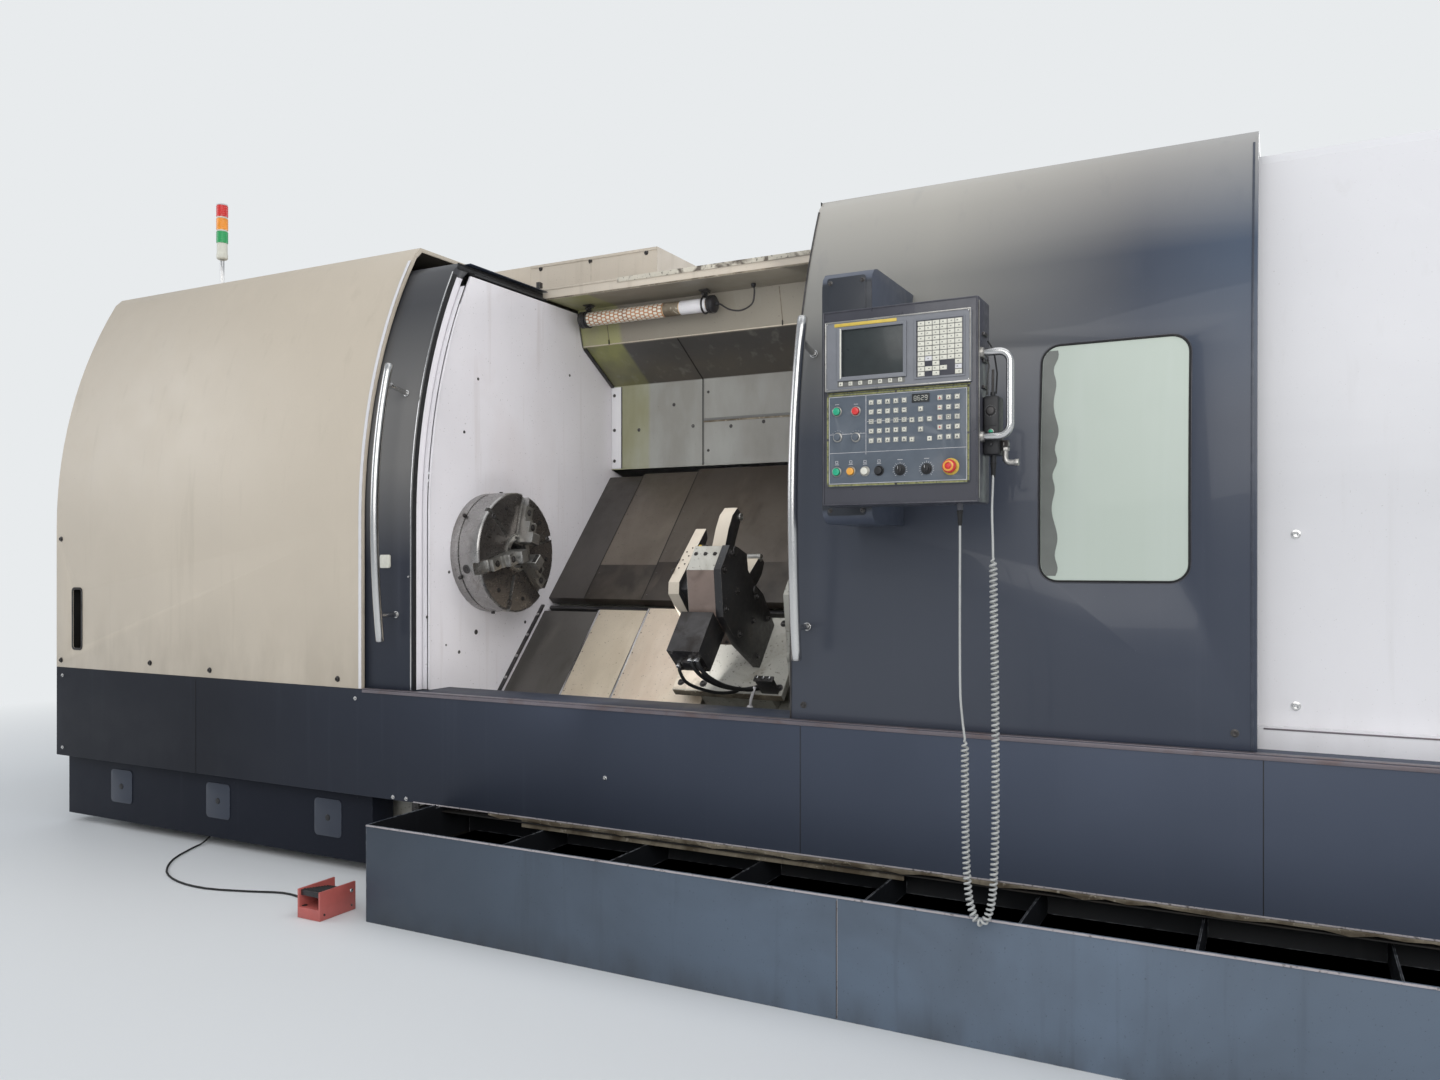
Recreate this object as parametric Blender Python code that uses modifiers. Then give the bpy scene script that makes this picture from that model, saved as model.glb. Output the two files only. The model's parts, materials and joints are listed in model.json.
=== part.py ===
"""CNC turning lathe: slant bed, telescopic way covers, three-jaw chuck, steady rest and sliding doors.

Metres, +Z up. X runs along the spindle, the operator stands on the -Y side, and the origin is
the bottom centre of the machine. "Depth" is the distance behind the plane of the doors.
"""

import math

import bmesh
import bpy
from mathutils import Matrix, Vector

# Fits and stock
FIT = 0.0003
OVERRUN = 0.05
SHEET = 0.003
FOLD = 0.04

# Overall size
LENGTH = 6.70
BODY_DEPTH = 1.95
DOOR_BOTTOM_Z = 0.78
DOOR_TOP_Z = 2.585
KNEE_Z = 1.475
ARC_RADIUS = 2.40
ARC_STEPS = 14

# Left housing
HEAD_RIGHT_X = -1.264
HEAD_STEP = 0.03
HEAD_FOLD = 0.018
HEAD_RISE = 0.105
HEAD_TOP_Z = DOOR_TOP_Z + HEAD_RISE
TOP_CORNER = 0.035
SLOT_X = -3.18
SLOT_WIDTH = 0.066
SLOT_LOW_Z = 0.88
SLOT_HEIGHT = 0.29

# Right housing
RIGHT_LEFT_X = 0.70
RIGHT_INSET = 0.12
RIGHT_DROP = 0.045
RIGHT_TOP_Z = DOOR_TOP_Z - RIGHT_DROP
LEDGE_DEPTH = 0.045
LEDGE_HEIGHT = 0.06

# Roof, rear wall and skirts
BEAM_DEPTH = 0.88
ROOF_RISE = 0.025
ROOF_BEAM = 0.058
ROOF_TOP_Z = DOOR_TOP_Z + ROOF_RISE
ROOF_LOW_Z = ROOF_TOP_Z - ROOF_BEAM
HUMP_RIGHT_X = -0.52
HUMP_DEPTH = 1.10
HUMP_REACH = 0.40
HUMP_RISE = 0.19
HUMP_TOP_Z = ROOF_TOP_Z + HUMP_RISE
REAR_LOW_Z = 0.34
LOUVRE_WIDTH = 0.50
LOUVRE_HEIGHT = 0.016
LOUVRE_PITCH = 0.045
LOUVRE_COUNT = 8
LOUVRE_Z = 1.55
LOUVRE_XS = (-2.6, 1.9)
SKIRT_FRONT = 0.03
SKIRT_LOW_Z = 0.34
SKIRT_DEPTH = 0.23
SKIRT_SHEET = 0.005
LOWER_SKIRT_INSET = 0.03
LOWER_SKIRT_LOW_Z = 0.04
LOWER_SKIRT_DEPTH = 0.12

# Spindle axis and slant of the bed
AXIS_DEPTH = 0.46
AXIS_Z = 1.346
SLANT = math.radians(49)
BED_OUT = -0.55
RAIL_OUT = -0.51
RAIL_WIDTH = 0.06
RAIL_ALONGS = (-0.88, -0.25, 0.02, 0.34)
RAIL_END_X = 2.75
BED_TOP_ALONG = -1.02
BED_LOW_ALONG = 0.47
BED_END_INSET = 0.15
BED_BASE_Z = 0.06
BED_FRONT_Z = 0.42
BED_REAR_GAP = 0.23
BED_REAR = BODY_DEPTH - BED_REAR_GAP
BED_REAR_Z = 1.50
PAD_SIZE = 0.16
PAD_INSET = 0.12
PAD_DEPTHS = (0.32, BED_REAR - PAD_INSET)
PAD_COUNT = 5
CABLE_GLAND_X = -2.32
CABLE_GLAND_RADIUS = 0.016
CABLE_GLAND_LENGTH = 0.05

# Bulkhead and inner walls
BULKHEAD_X = -0.994
BULKHEAD_THICKNESS = 0.008
BULKHEAD_SETBACK = 0.075
BULKHEAD_DROP = 0.017
BULKHEAD_TOP_Z = ROOF_LOW_Z - BULKHEAD_DROP
NOSE_HOLE_RADIUS = 0.18
WALL_DEPTH = 1.433
WALL_LOW_Z = 1.785
WALL_TOP_Z = 2.217
FASCIA_DEPTH = 1.174
FASCIA_LOW_Z = 2.375
CEILING_DEPTH = 1.129
CEILING_Z = ROOF_LOW_Z - 3 * FIT
WALL_RIGHT_X = 2.80

# Headstock, motor and spindle
HEADSTOCK_LEFT_X = -2.05
HEADSTOCK_RIGHT_X = -1.08
HEADSTOCK_LOW_ALONG = 0.30
HEADSTOCK_HIGH_ALONG = -0.32
HEADSTOCK_OUT = 0.20
HEADSTOCK_CHAMFER = 0.10
SPINDLE_RADIUS = 0.11
SPINDLE_BORE = 0.045
SPINDLE_LEFT_X = -2.55
SPINDLE_TAIL_RADIUS = 0.08
NOSE_RADIUS = 0.165
NOSE_LENGTH = 0.05
MOTOR_LEFT_X = -2.95
MOTOR_RADIUS = 0.24
MOTOR_FOOT_WIDTH = 0.30

# Chuck
CHUCK_RADIUS = 0.26
CHUCK_FACE_X = -0.844
CHUCK_BORE = 0.055
CHUCK_CHAMFER = 0.008
CHUCK_RIM_X = -0.945
CHUCK_RIM_GROOVE = 0.006
JAW_ANGLES = (76, 196, 316)
KEYWAY_ANGLES = (16, 136, 256)
JAW_WIDTH = 0.052
JAW_SLOT_DEPTH = 0.034
KEYWAY_WIDTH = 0.020
KEYWAY_DEPTH = 0.022
KEYWAY_START = 0.10
JAW_TIP = 0.035
JAW_STEPS = ((0.035, 0.088), (0.085, 0.062), (0.135, 0.036))
JAW_BACK = 0.215

# Way covers
COVER_STEP = 0.008
COVER_LIP = 0.045
WIPER = 0.014
UPPER_OUT = -0.445
UPPER_ALONG = (-0.945, -0.105)
UPPER_EDGES = (-0.785, -0.464)
UPPER_FIXED_LENGTH = 0.65
UPPER_MIDDLE_LENGTH = 1.00
LOWER_OUT = -0.459
LOWER_ALONG = (-0.070, 0.430)
LOWER_EDGES = (-0.684, -0.417)
LOWER_FIXED_LENGTH = 0.36
LOWER_MIDDLE_LENGTH = 0.34

# Carriage and turret
SADDLE_LEFT_X = 0.62
SADDLE_LENGTH = 0.60
SADDLE_ALONG = (-0.92, -0.14)
SADDLE_TOP = -0.38
SLIDE_INSET = 0.08
SLIDE_ALONG = (-0.95, -0.45)
SLIDE_TOP = -0.28
HEAD_GAP = 0.10
TURRET_ALONG = -0.66
TURRET_HALF = 0.17
TURRET_CHAMFER = 0.06
TURRET_HEAD_LENGTH = 0.36
DISC_RADIUS = 0.24
DISC_LENGTH = 0.13
DISC_SIDES = 12
TOOL_COUNT = 6
TOOL_REACH = 0.30
TOOL_WIDTH = 0.05
TOOL_LENGTH = 0.09

# Tailstock
TAIL_FOOT_X = 0.47
TAIL_BODY_X = 0.90
TAIL_RIGHT_X = 1.36
TAIL_TUBE_RADIUS = 0.11
TAIL_ALONG = (0.0, 0.42)
QUILL_RADIUS = 0.055
QUILL_LEFT_X = 0.80
QUILL_END_GAP = 0.16
CENTRE_X = 0.71
CENTRE_RADIUS = 0.028

# Steady rest
STEADY_LEFT_X = 0.063
STEADY_SIDE_THICKNESS = 0.046
STEADY_BOX_X = 0.144
STEADY_PLATE_X = 0.26
STEADY_PLATE_THICKNESS = 0.03
SLAB_X = -0.06
SLAB_RIGHT_X = 0.42
SLAB_OUT = -0.35
SLAB_THICKNESS = 0.035
SLAB_ALONG = (0.05, 0.425)
STAND_INSET = 0.08
STEADY_PLATE_OUTLINE = (
    (0.112, 0.160), (0.225, 0.155), (0.345, 0.025), (0.345, -0.15), (0.300, SLAB_OUT + FIT),
    (0.090, SLAB_OUT + FIT), (0.062, -0.185), (0.081, -0.099), (0.080, -0.02), (0.040, 0.030), (0.070, 0.100),
)
STEADY_BOX_OUTLINE = ((0.113, 0.157), (0.225, 0.150), (0.341, 0.023), (0.341, -0.150), (0.113, -0.150))
STEADY_SIDE_OUTLINE = (
    (-0.040, 0.088), (0.255, 0.114), (0.290, 0.087), (0.304, -0.072), (0.270, -0.110),
    (0.120, -0.110), (0.095, -0.030), (0.050, 0.045), (-0.020, 0.055),
)
STEADY_NECK_OUTLINE = ((0.14, 0.09), (0.27, 0.09), (0.27, -0.09), (0.14, -0.09))
STEADY_CYLINDER_OUTLINE = ((0.33, 0.05), (0.52, 0.045), (0.52, -0.075), (0.33, -0.075))
CLAW_OUTLINE = (
    (0.104, 0.098), (0.108, 0.138), (0.030, 0.163), (-0.030, 0.172), (-0.080, 0.160),
    (-0.082, 0.120), (-0.050, 0.105), (0.010, 0.092), (0.060, 0.080),
)
CLAW_WIDTH = 0.055
CLAW_PIN = (0.10, 0.115)

# Doors
DOOR_THICKNESS = 0.06
ROOF_THICKNESS = 0.030
LEFT_DOOR_X = (-1.769, -1.019)
RIGHT_DOOR_X = (0.651, 2.045)
WINDOW_X = (1.465, 1.873)
WINDOW_Z = (1.248, 1.952)
WINDOW_CORNER = 0.05
GLASS_THICKNESS = 0.006
HANDLE_RADIUS = 0.017
HANDLE_STANDOFF = 0.12
HANDLE_Z = (0.99, 2.10)
POST_Z = (1.09, 2.00)
POST_RADIUS = 0.010
HANDLE_INSET = 0.081
RIGHT_HANDLE_INSET = 0.063

# Pendant
PENDANT_X = (0.970, 1.406)
PENDANT_Z = (1.458, 1.998)
PENDANT_FRONT = 0.50
PENDANT_THICKNESS = 0.12
SCREEN_X = (0.982, 1.390)
SCREEN_Z = (1.772, 1.965)
SCREEN_THICKNESS = 0.012
PANEL_X = (0.986, 1.385)
PANEL_Z = (1.510, 1.765)
PANEL_THICKNESS = 0.008
PANEL_CORNER = 0.006
RECESS = 0.006
BRACKET_X = (0.888, 1.043)
BRACKET_Z = (1.417, 2.170)
BRACKET_FRONT = 0.30
BRACKET_ROUND = 0.05
PIVOT_X = 0.992
PIVOT_FRONT = 0.345
BARREL_RADIUS = 0.03
BARREL_Z = (1.60, 1.90)
EAR_THICKNESS = 0.03
GRIP_RADIUS = 0.010
GRIP_X = 1.482
GRIP_FRONT = 0.475
GRIP_Z = (1.631, 1.851)
GRIP_CORNER = 0.03
PULSE_X = 1.447
PULSE_FRONT = (0.455, 0.395)
PULSE_Z = (1.585, 1.740)

# Controls on the operator panel
BUTTON_RADIUS = 0.0100
BUTTON_HEIGHT = 0.009
BUTTON_CLEARANCE = 0.0045
DIAL_RADIUS = 0.0135
DIAL_HEIGHT = 0.016
STOP_STEM_RADIUS = 0.0125
STOP_HEAD_RADIUS = 0.0180
STOP_HEIGHT = 0.026
STOP_GAP = 0.009
SWITCH_RADIUS = 0.0095
SWITCH_HEIGHT = 0.010
ROUND_STEPS = 16
BUTTON_SPOTS = {
    "power_on_button": (0.031, 0.207),
    "power_off_button": (0.086, 0.205),
    "cycle_start_button": (0.030, 0.041),
    "feed_hold_button": (0.071, 0.041),
    "lamp_button": (0.112, 0.040),
    "coolant_button": (0.152, 0.040),
}
SWITCH_SPOTS = ((0.033, 0.136), (0.086, 0.134))
DIAL_SPOTS = {"spindle_dial": (0.211, 0.040), "feed_dial": (0.284, 0.040)}
STOP_SPOT = (0.349, 0.043)
KEY_SIZE = 0.0125
KEY_HEIGHT = 0.0025
KEY_PITCH = 0.0232
KEY_ROW_PITCH = 0.0260
KEY_BLOCK_STARTS = ((0.130, 0.122, 5, 5), (0.320, 0.122, 3, 5))
CURSOR_SPOTS = ((0.268, 0.200), (0.244, 0.172), (0.268, 0.172), (0.292, 0.172), (0.268, 0.146), (0.244, 0.120))
SOFT_KEY_START = (0.048, 0.028)
SOFT_KEY_PITCH = 0.0282
SOFT_KEY_COUNT = 7
LETTER_KEY_START = (0.262, 0.036)
LETTER_KEY_COLUMNS = 6
LETTER_KEY_ROWS = 7
LETTER_KEY_PITCH = (0.0205, 0.0215)

# Lamp, signal tower and tank
LAMP_X = (-0.919, -0.182)
LAMP_DEPTH = 1.05
LAMP_Z = 2.480
LAMP_RADIUS = 0.033
LAMP_CAP_RADIUS = 0.040
LAMP_CAP_LENGTH = 0.035
HANGER_WIDTH = 0.03
TOWER_X = -2.93
TOWER_DEPTH = 0.60
TOWER_FOOT_RADIUS = 0.045
TOWER_FOOT_HEIGHT = 0.012
TOWER_POLE_RADIUS = 0.011
TOWER_POLE_HEIGHT = 0.235
TOWER_LENS_RADIUS = 0.030
TOWER_LENS_HEIGHT = 0.062
TOWER_RING_RADIUS = 0.027
TOWER_RING_HEIGHT = 0.008
TOWER_BASE_HEIGHT = 0.085
TOWER_LENSES = 3
TANK_LEFT_X = -0.84
TANK_RIGHT_X = 3.30
TANK_FRONT = 0.42
TANK_DEPTH = 0.56
TANK_HEIGHT = 0.352
TANK_WALL = 0.006
TANK_DECK_Z = 0.209
TANK_FLOW_GAP = 0.030
TANK_BAFFLE_TOP = 0.300
TANK_BAFFLES = 8

# Cords
CORD_RADIUS = 0.0032
COIL_RADIUS = 0.010
GLAND_RADIUS = 0.008
GLAND_LENGTH = 0.018
STRAIGHT = 0.03
CORD_DEPTH = -0.462
CORD_X = 1.347
COIL_TOP_Z = 0.835
COIL_ROUTE = (
    (1.360, -0.462, 0.835), (1.361, -0.463, 0.70), (1.363, -0.464, 0.55), (1.370, -0.464, 0.43),
    (1.384, -0.464, 0.372), (1.4026, -0.464, 0.354), (1.421, -0.464, 0.374), (1.434, -0.464, 0.435),
    (1.440, -0.463, 0.56), (1.441, -0.462, 0.75), (1.440, -0.462, 0.95), (1.437, -0.462, 1.15),
    (1.434, -0.460, 1.318),
)
TAIL_ROUTE = ((1.347, -0.462, 1.00), (1.350, -0.462, 0.90))
PULSE_ROUTE = ((1.4325, -0.456, 1.36), (1.428, -0.446, 1.44), (1.4265, -0.430, 1.51))
FOOT_CORD_RADIUS = 0.004
FOOT_ROUTE = (
    (-2.320, 0.075, 0.040), (-2.314, 0.020, 0.0085), (-2.290, -0.050, 0.0045),
    (-2.200, -0.210, 0.0045), (-2.050, -0.350, 0.0045), (-1.880, -0.420, 0.0045), (-1.700, -0.430, 0.0045),
    (-1.520, -0.380, 0.0045), (-1.380, -0.330, 0.0045), (-1.270, -0.340, 0.0050), (-1.190, -0.390, 0.0100),
)

# Foot switch
PEDAL_X = (-1.100, -0.985)
PEDAL_DEPTH = (-0.500, -0.330)
PEDAL_BASE_HEIGHT = 0.040
PEDAL_SIDE_HEIGHT = 0.105
PEDAL_SIDE = 0.008
PEDAL_GLAND_Z = 0.020
TREADLE_PIN_RADIUS = 0.006
TREADLE_PIN_Z = 0.075
TREADLE_PIN_INSET = 0.022
TREADLE_THICKNESS = 0.010
TREADLE_RISE = 0.022

# Derived places
STOP_REACH = PENDANT_FRONT + PANEL_THICKNESS + STOP_HEIGHT
BED_FRONT = SKIRT_DEPTH - SKIRT_FRONT + FIT
TANK_REAR_HEIGHT = SKIRT_LOW_Z - FIT
DOOR_Y = (STOP_REACH - BODY_DEPTH) / 2
LEFT_X = -LENGTH / 2
RIGHT_X = LENGTH / 2
REAR_Y = DOOR_Y + BODY_DEPTH
AXIS_Y = DOOR_Y + AXIS_DEPTH

PARTS = "cnc_turning_lathe"
CUTTERS = "cutters"
CREAM = ("cream_paint", (0.76, 0.72, 0.66), 0.45, 0.0)
WHITE = ("white_paint", (0.78, 0.79, 0.81), 0.45, 0.0)
NAVY = ("blue_grey_paint", (0.045, 0.055, 0.075), 0.45, 0.0)
TANK_BLUE = ("tank_paint", (0.09, 0.12, 0.15), 0.55, 0.0)
CASTING = ("grey_casting", (0.42, 0.42, 0.40), 0.65, 0.0)
BROWN_STEEL = ("stained_steel", (0.30, 0.27, 0.24), 0.45, 0.7)
STEEL = ("bright_steel", (0.62, 0.62, 0.63), 0.28, 1.0)
DARK_STEEL = ("dark_steel", (0.16, 0.16, 0.17), 0.4, 0.9)
BLACK = ("black_plastic", (0.02, 0.02, 0.022), 0.5, 0.0)
GREY_PANEL = ("grey_panel", (0.20, 0.21, 0.22), 0.5, 0.0)
GLASS = ("frosted_glass", (0.62, 0.74, 0.66), 0.35, 0.0)
GREEN = ("green_button", (0.02, 0.45, 0.28), 0.35, 0.0)
RED = ("red_button", (0.65, 0.05, 0.03), 0.35, 0.0)
ORANGE = ("orange_button", (0.85, 0.42, 0.10), 0.35, 0.0)
IVORY = ("ivory_button", (0.75, 0.74, 0.70), 0.4, 0.0)


def clear_scene():
    for thing in list(bpy.data.objects):
        bpy.data.objects.remove(thing)
    for name in (PARTS, CUTTERS):
        bpy.context.scene.collection.children.link(bpy.data.collections.new(name))


def material(look):
    name, colour, roughness, metallic = look
    found = bpy.data.materials.get(name)
    if found:
        return found
    made = bpy.data.materials.new(name)
    made.use_nodes = True
    shader = made.node_tree.nodes["Principled BSDF"]
    shader.inputs["Base Color"].default_value = (*colour, 1)
    shader.inputs["Roughness"].default_value = roughness
    shader.inputs["Metallic"].default_value = metallic
    made.diffuse_color = (*colour, 1)
    return made


def place(name, mesh, look):
    """Puts a mesh that is in world coordinates into the parts collection."""
    thing = bpy.data.objects.new(name, mesh)
    mesh.materials.clear()
    mesh.materials.append(material(look))
    bpy.data.collections[PARTS].objects.link(thing)
    return thing


def smooth(thing):
    thing.data.shade_smooth()
    thing.data.set_sharp_from_angle(angle=math.radians(35))
    return thing


def mesh_of(thing):
    """The evaluated mesh of a helper object in world coordinates, with the helper removed."""
    bpy.context.view_layer.update()
    graph = bpy.context.evaluated_depsgraph_get()
    mesh = bpy.data.meshes.new_from_object(thing.evaluated_get(graph))
    mesh.transform(thing.matrix_world)
    solid = bmesh.new()
    solid.from_mesh(mesh)
    bmesh.ops.remove_doubles(solid, verts=solid.verts, dist=1e-6)
    bmesh.ops.recalc_face_normals(solid, faces=solid.faces)
    solid.to_mesh(mesh)
    solid.free()
    bpy.data.objects.remove(thing)
    return mesh


def block(name, low, high, look):
    solid = bmesh.new()
    bmesh.ops.create_cube(solid, size=1)
    size = Vector(high) - Vector(low)
    centre = (Vector(high) + Vector(low)) / 2
    solid.transform(Matrix.Translation(centre) @ Matrix.Diagonal((*size, 1)))
    mesh = bpy.data.meshes.new(name)
    solid.to_mesh(mesh)
    solid.free()
    return place(name, mesh, look)


def blocks(name, boxes, look):
    """One object that holds several separate boxes, for a single cut or union."""
    solid = bmesh.new()
    for low, high in boxes:
        made = bmesh.ops.create_cube(solid, size=1)["verts"]
        size = Vector(high) - Vector(low)
        centre = (Vector(high) + Vector(low)) / 2
        bmesh.ops.transform(
            solid, verts=made, matrix=Matrix.Translation(centre) @ Matrix.Diagonal((*size, 1))
        )
    mesh = bpy.data.meshes.new(name)
    solid.to_mesh(mesh)
    solid.free()
    return place(name, mesh, look)


PLANES = {
    "X": Matrix(((0, 0, 1, 0), (1, 0, 0, 0), (0, 1, 0, 0), (0, 0, 0, 1))),
    "Y": Matrix(((1, 0, 0, 0), (0, 0, -1, 0), (0, 1, 0, 0), (0, 0, 0, 1))),
    "Z": Matrix.Identity(4),
}


def prism(name, outline, axis, low, high, look):
    """A flat outline extruded along an axis. Along X it is drawn in (y, z), along Y in (x, z)."""
    curve = bpy.data.curves.new(name, "CURVE")
    curve.dimensions = "2D"
    curve.fill_mode = "BOTH"
    curve.extrude = (high - low) / 2
    spline = curve.splines.new("POLY")
    spline.points.add(len(outline) - 1)
    for point, (across, up) in zip(spline.points, outline):
        point.co = (across, up, 0, 1)
    spline.use_cyclic_u = True
    helper = bpy.data.objects.new(name + "_outline", curve)
    bpy.context.scene.collection.objects.link(helper)
    middle = (high + low) / 2
    lift = {"X": (middle, 0, 0), "Y": (0, middle, 0), "Z": (0, 0, middle)}[axis]
    helper.matrix_world = Matrix.Translation(lift) @ PLANES[axis]
    return place(name, mesh_of(helper), look)


AXES = {
    "X": Matrix.Rotation(math.radians(90), 4, "Y"),
    "-Y": Matrix.Rotation(math.radians(90), 4, "X"),
    "Z": Matrix.Identity(4),
}


def turned(name, profile, axis, centre, look, steps=ROUND_STEPS * 2):
    """A (radius, height) profile, top to bottom down its outer side, turned about an axis."""
    mesh = bpy.data.meshes.new(name)
    points = [(radius, 0, height) for radius, height in profile]
    edges = [(index, index + 1) for index in range(len(points) - 1)]
    if profile[0][0] > 0 and profile[-1][0] > 0:
        edges.append((len(points) - 1, 0))
    mesh.from_pydata(points, edges, [])
    helper = bpy.data.objects.new(name + "_profile", mesh)
    bpy.context.scene.collection.objects.link(helper)
    screw = helper.modifiers.new("turn", "SCREW")
    screw.steps = steps
    screw.render_steps = steps
    screw.use_merge_vertices = True
    screw.merge_threshold = 1e-5
    helper.matrix_world = Matrix.Translation(centre) @ AXES[axis]
    return smooth(place(name, mesh_of(helper), look))


def rod(name, radius, low, high, axis, centre, look, steps=ROUND_STEPS):
    """A plain cylinder between two heights along its axis."""
    return turned(name, [(0, high), (radius, high), (radius, low), (0, low)], axis, centre, look, steps)


def tube(name, points, radius, look, resolution=2, as_mesh=False):
    curve = bpy.data.curves.new(name, "CURVE")
    curve.dimensions = "3D"
    curve.bevel_depth = radius
    curve.bevel_resolution = resolution
    curve.use_fill_caps = True
    spline = curve.splines.new("POLY")
    spline.points.add(len(points) - 1)
    for point, spot in zip(spline.points, points):
        point.co = (*spot, 1)
    thing = bpy.data.objects.new(name, curve)
    if as_mesh:
        bpy.context.scene.collection.objects.link(thing)
        return smooth(place(name, mesh_of(thing), look))
    curve.materials.append(material(look))
    bpy.data.collections[PARTS].objects.link(thing)
    return thing


def hide_cutter(cutter):
    bpy.data.collections[PARTS].objects.unlink(cutter)
    bpy.data.collections[CUTTERS].objects.link(cutter)
    cutter.hide_render = True
    cutter.display_type = "WIRE"


def boolean(target, other, operation):
    modifier = target.modifiers.new(operation.lower(), "BOOLEAN")
    modifier.operation = operation
    modifier.object = other
    modifier.solver = "EXACT"
    hide_cutter(other)
    return target


def cut(target, cutter):
    return boolean(target, cutter, "DIFFERENCE")


def join(target, other):
    return boolean(target, other, "UNION")


def round_edges(thing, width, segments=2):
    bevel = thing.modifiers.new("rounding", "BEVEL")
    bevel.width = width
    bevel.segments = segments
    bevel.limit_method = "ANGLE"
    return thing


def pivot(thing, point):
    """Moves an object's origin onto its joint without moving its shape."""
    thing.data.transform(Matrix.Translation(-Vector(point)))
    thing.location = point
    return thing


def front(depth):
    return DOOR_Y + depth


def slant(along, out):
    """(y, z) of a place measured down the slope and out from it, from the spindle axis."""
    return (
        AXIS_Y - along * math.cos(SLANT) - out * math.sin(SLANT),
        AXIS_Z - along * math.sin(SLANT) + out * math.cos(SLANT),
    )


def setback(z, radius):
    rise = max(0, z - KNEE_Z)
    return radius - math.sqrt(radius * radius - rise * rise)


def front_line(depth, inset, low_z, high_z):
    """(y, z) points up the machine's bowed front, an inset behind the surface at this depth."""
    radius = ARC_RADIUS - inset
    y = front(depth) + inset
    start = max(low_z, KNEE_Z)
    points = [(y, low_z)] if low_z < KNEE_Z else []
    for index in range(ARC_STEPS + 1):
        z = start + (high_z - start) * index / ARC_STEPS
        points.append((y + setback(z, radius), z))
    return points


def bowed_panel(name, x_low, x_high, depth, thickness, low_z, high_z, look):
    outer = front_line(depth, 0, low_z, high_z)
    inner = front_line(depth, thickness, low_z, high_z)
    return prism(name, outer + inner[::-1], "X", x_low, x_high, look)


def rounded(x_low, x_high, z_low, z_high, radius, steps=4):
    """A rectangle with round corners."""
    corners = ((x_high, z_high, 0), (x_low, z_high, 90), (x_low, z_low, 180), (x_high, z_low, 270))
    points = []
    for x, z, start in corners:
        centre_x = x - math.copysign(radius, x - (x_low + x_high) / 2)
        centre_z = z - math.copysign(radius, z - (z_low + z_high) / 2)
        for step in range(steps + 1):
            angle = math.radians(start + 90 * step / steps)
            points.append((centre_x + radius * math.cos(angle), centre_z + radius * math.sin(angle)))
    return points


def smooth_route(points, per_span):
    """Catmull-Rom points through a route."""
    ends = [points[0], *points, points[-1]]
    route = []
    for index in range(1, len(ends) - 2):
        p0, p1, p2, p3 = (Vector(ends[index + shift]) for shift in (-1, 0, 1, 2))
        for step in range(per_span):
            t = step / per_span
            route.append(
                (2 * p1 + (p2 - p0) * t + (2 * p0 - 5 * p1 + 4 * p2 - p3) * t**2
                 + (3 * p1 - p0 - 3 * p2 + p3) * t**3) / 2
            )
    route.append(Vector(points[-1]))
    return route


def housing_outline(depth, inset, low_z, top_z, rear_y):
    """Side outline of a housing: bowed front, small top corner, flat roof and plumb rear."""
    top = top_z - inset
    points = front_line(depth, inset, low_z, top - TOP_CORNER)
    corner_y = points[-1][0]
    return points + [(corner_y + TOP_CORNER, top), (rear_y, top), (rear_y, low_z)]


def headstock_cover():
    low_z = DOOR_BOTTOM_Z + FIT
    rear_y = REAR_Y - SHEET - FIT
    cover = prism("headstock_cover", housing_outline(-HEAD_STEP, 0, low_z, HEAD_TOP_Z, rear_y),
                  "X", LEFT_X, HEAD_RIGHT_X, CREAM)
    mouth = housing_outline(-HEAD_STEP, HEAD_FOLD, low_z - OVERRUN, HEAD_TOP_Z, rear_y + OVERRUN)
    cut(cover, prism("headstock_mouth", mouth, "X", LEFT_X + HEAD_FOLD, HEAD_RIGHT_X + OVERRUN, CREAM))
    hollow = housing_outline(-HEAD_STEP, SHEET, low_z - 2 * OVERRUN, HEAD_TOP_Z, rear_y + 2 * OVERRUN)
    cut(cover, prism("headstock_hollow", hollow, "X", LEFT_X + SHEET, HEAD_RIGHT_X - SHEET, CREAM))
    slot_x = (SLOT_X - SLOT_WIDTH / 2, SLOT_X + SLOT_WIDTH / 2)
    outline = rounded(*slot_x, SLOT_LOW_Z, SLOT_LOW_Z + SLOT_HEIGHT, SLOT_WIDTH / 5)
    return cut(cover, prism("slot_cutter", outline, "Y", front(-HEAD_STEP - OVERRUN),
                            front(OVERRUN), CREAM))


def right_cover():
    low_z = DOOR_BOTTOM_Z + FIT
    beam_y = front(BEAM_DEPTH) - FIT
    rear_y = REAR_Y - SHEET - FIT
    ledge_y = front(RIGHT_INSET) - LEDGE_DEPTH
    ledge = [(ledge_y, low_z), (ledge_y, low_z + LEDGE_HEIGHT), (front(RIGHT_INSET), low_z + LEDGE_HEIGHT)]
    shell = housing_outline(RIGHT_INSET, 0, low_z + LEDGE_HEIGHT, RIGHT_TOP_Z, rear_y)
    outline = ledge + shell[1:-1] + [(rear_y, low_z)]
    cover = prism("right_cover", outline, "X", RIGHT_LEFT_X, RIGHT_X, WHITE)
    hollow = housing_outline(RIGHT_INSET, SHEET, low_z - OVERRUN, RIGHT_TOP_Z, rear_y + OVERRUN)
    cut(cover, prism("right_hollow", hollow, "X", RIGHT_LEFT_X + SHEET, RIGHT_X - SHEET, WHITE))
    mouth = housing_outline(RIGHT_INSET, FOLD, low_z - OVERRUN, RIGHT_TOP_Z, rear_y + OVERRUN)
    cut(cover, prism("right_mouth", mouth, "X", RIGHT_LEFT_X - OVERRUN, RIGHT_LEFT_X + FOLD, WHITE))
    return cut(cover, block("beam_relief", (RIGHT_LEFT_X - OVERRUN, beam_y, low_z - OVERRUN),
                            (RIGHT_X - SHEET, rear_y + OVERRUN, RIGHT_TOP_Z + OVERRUN), WHITE))


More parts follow.
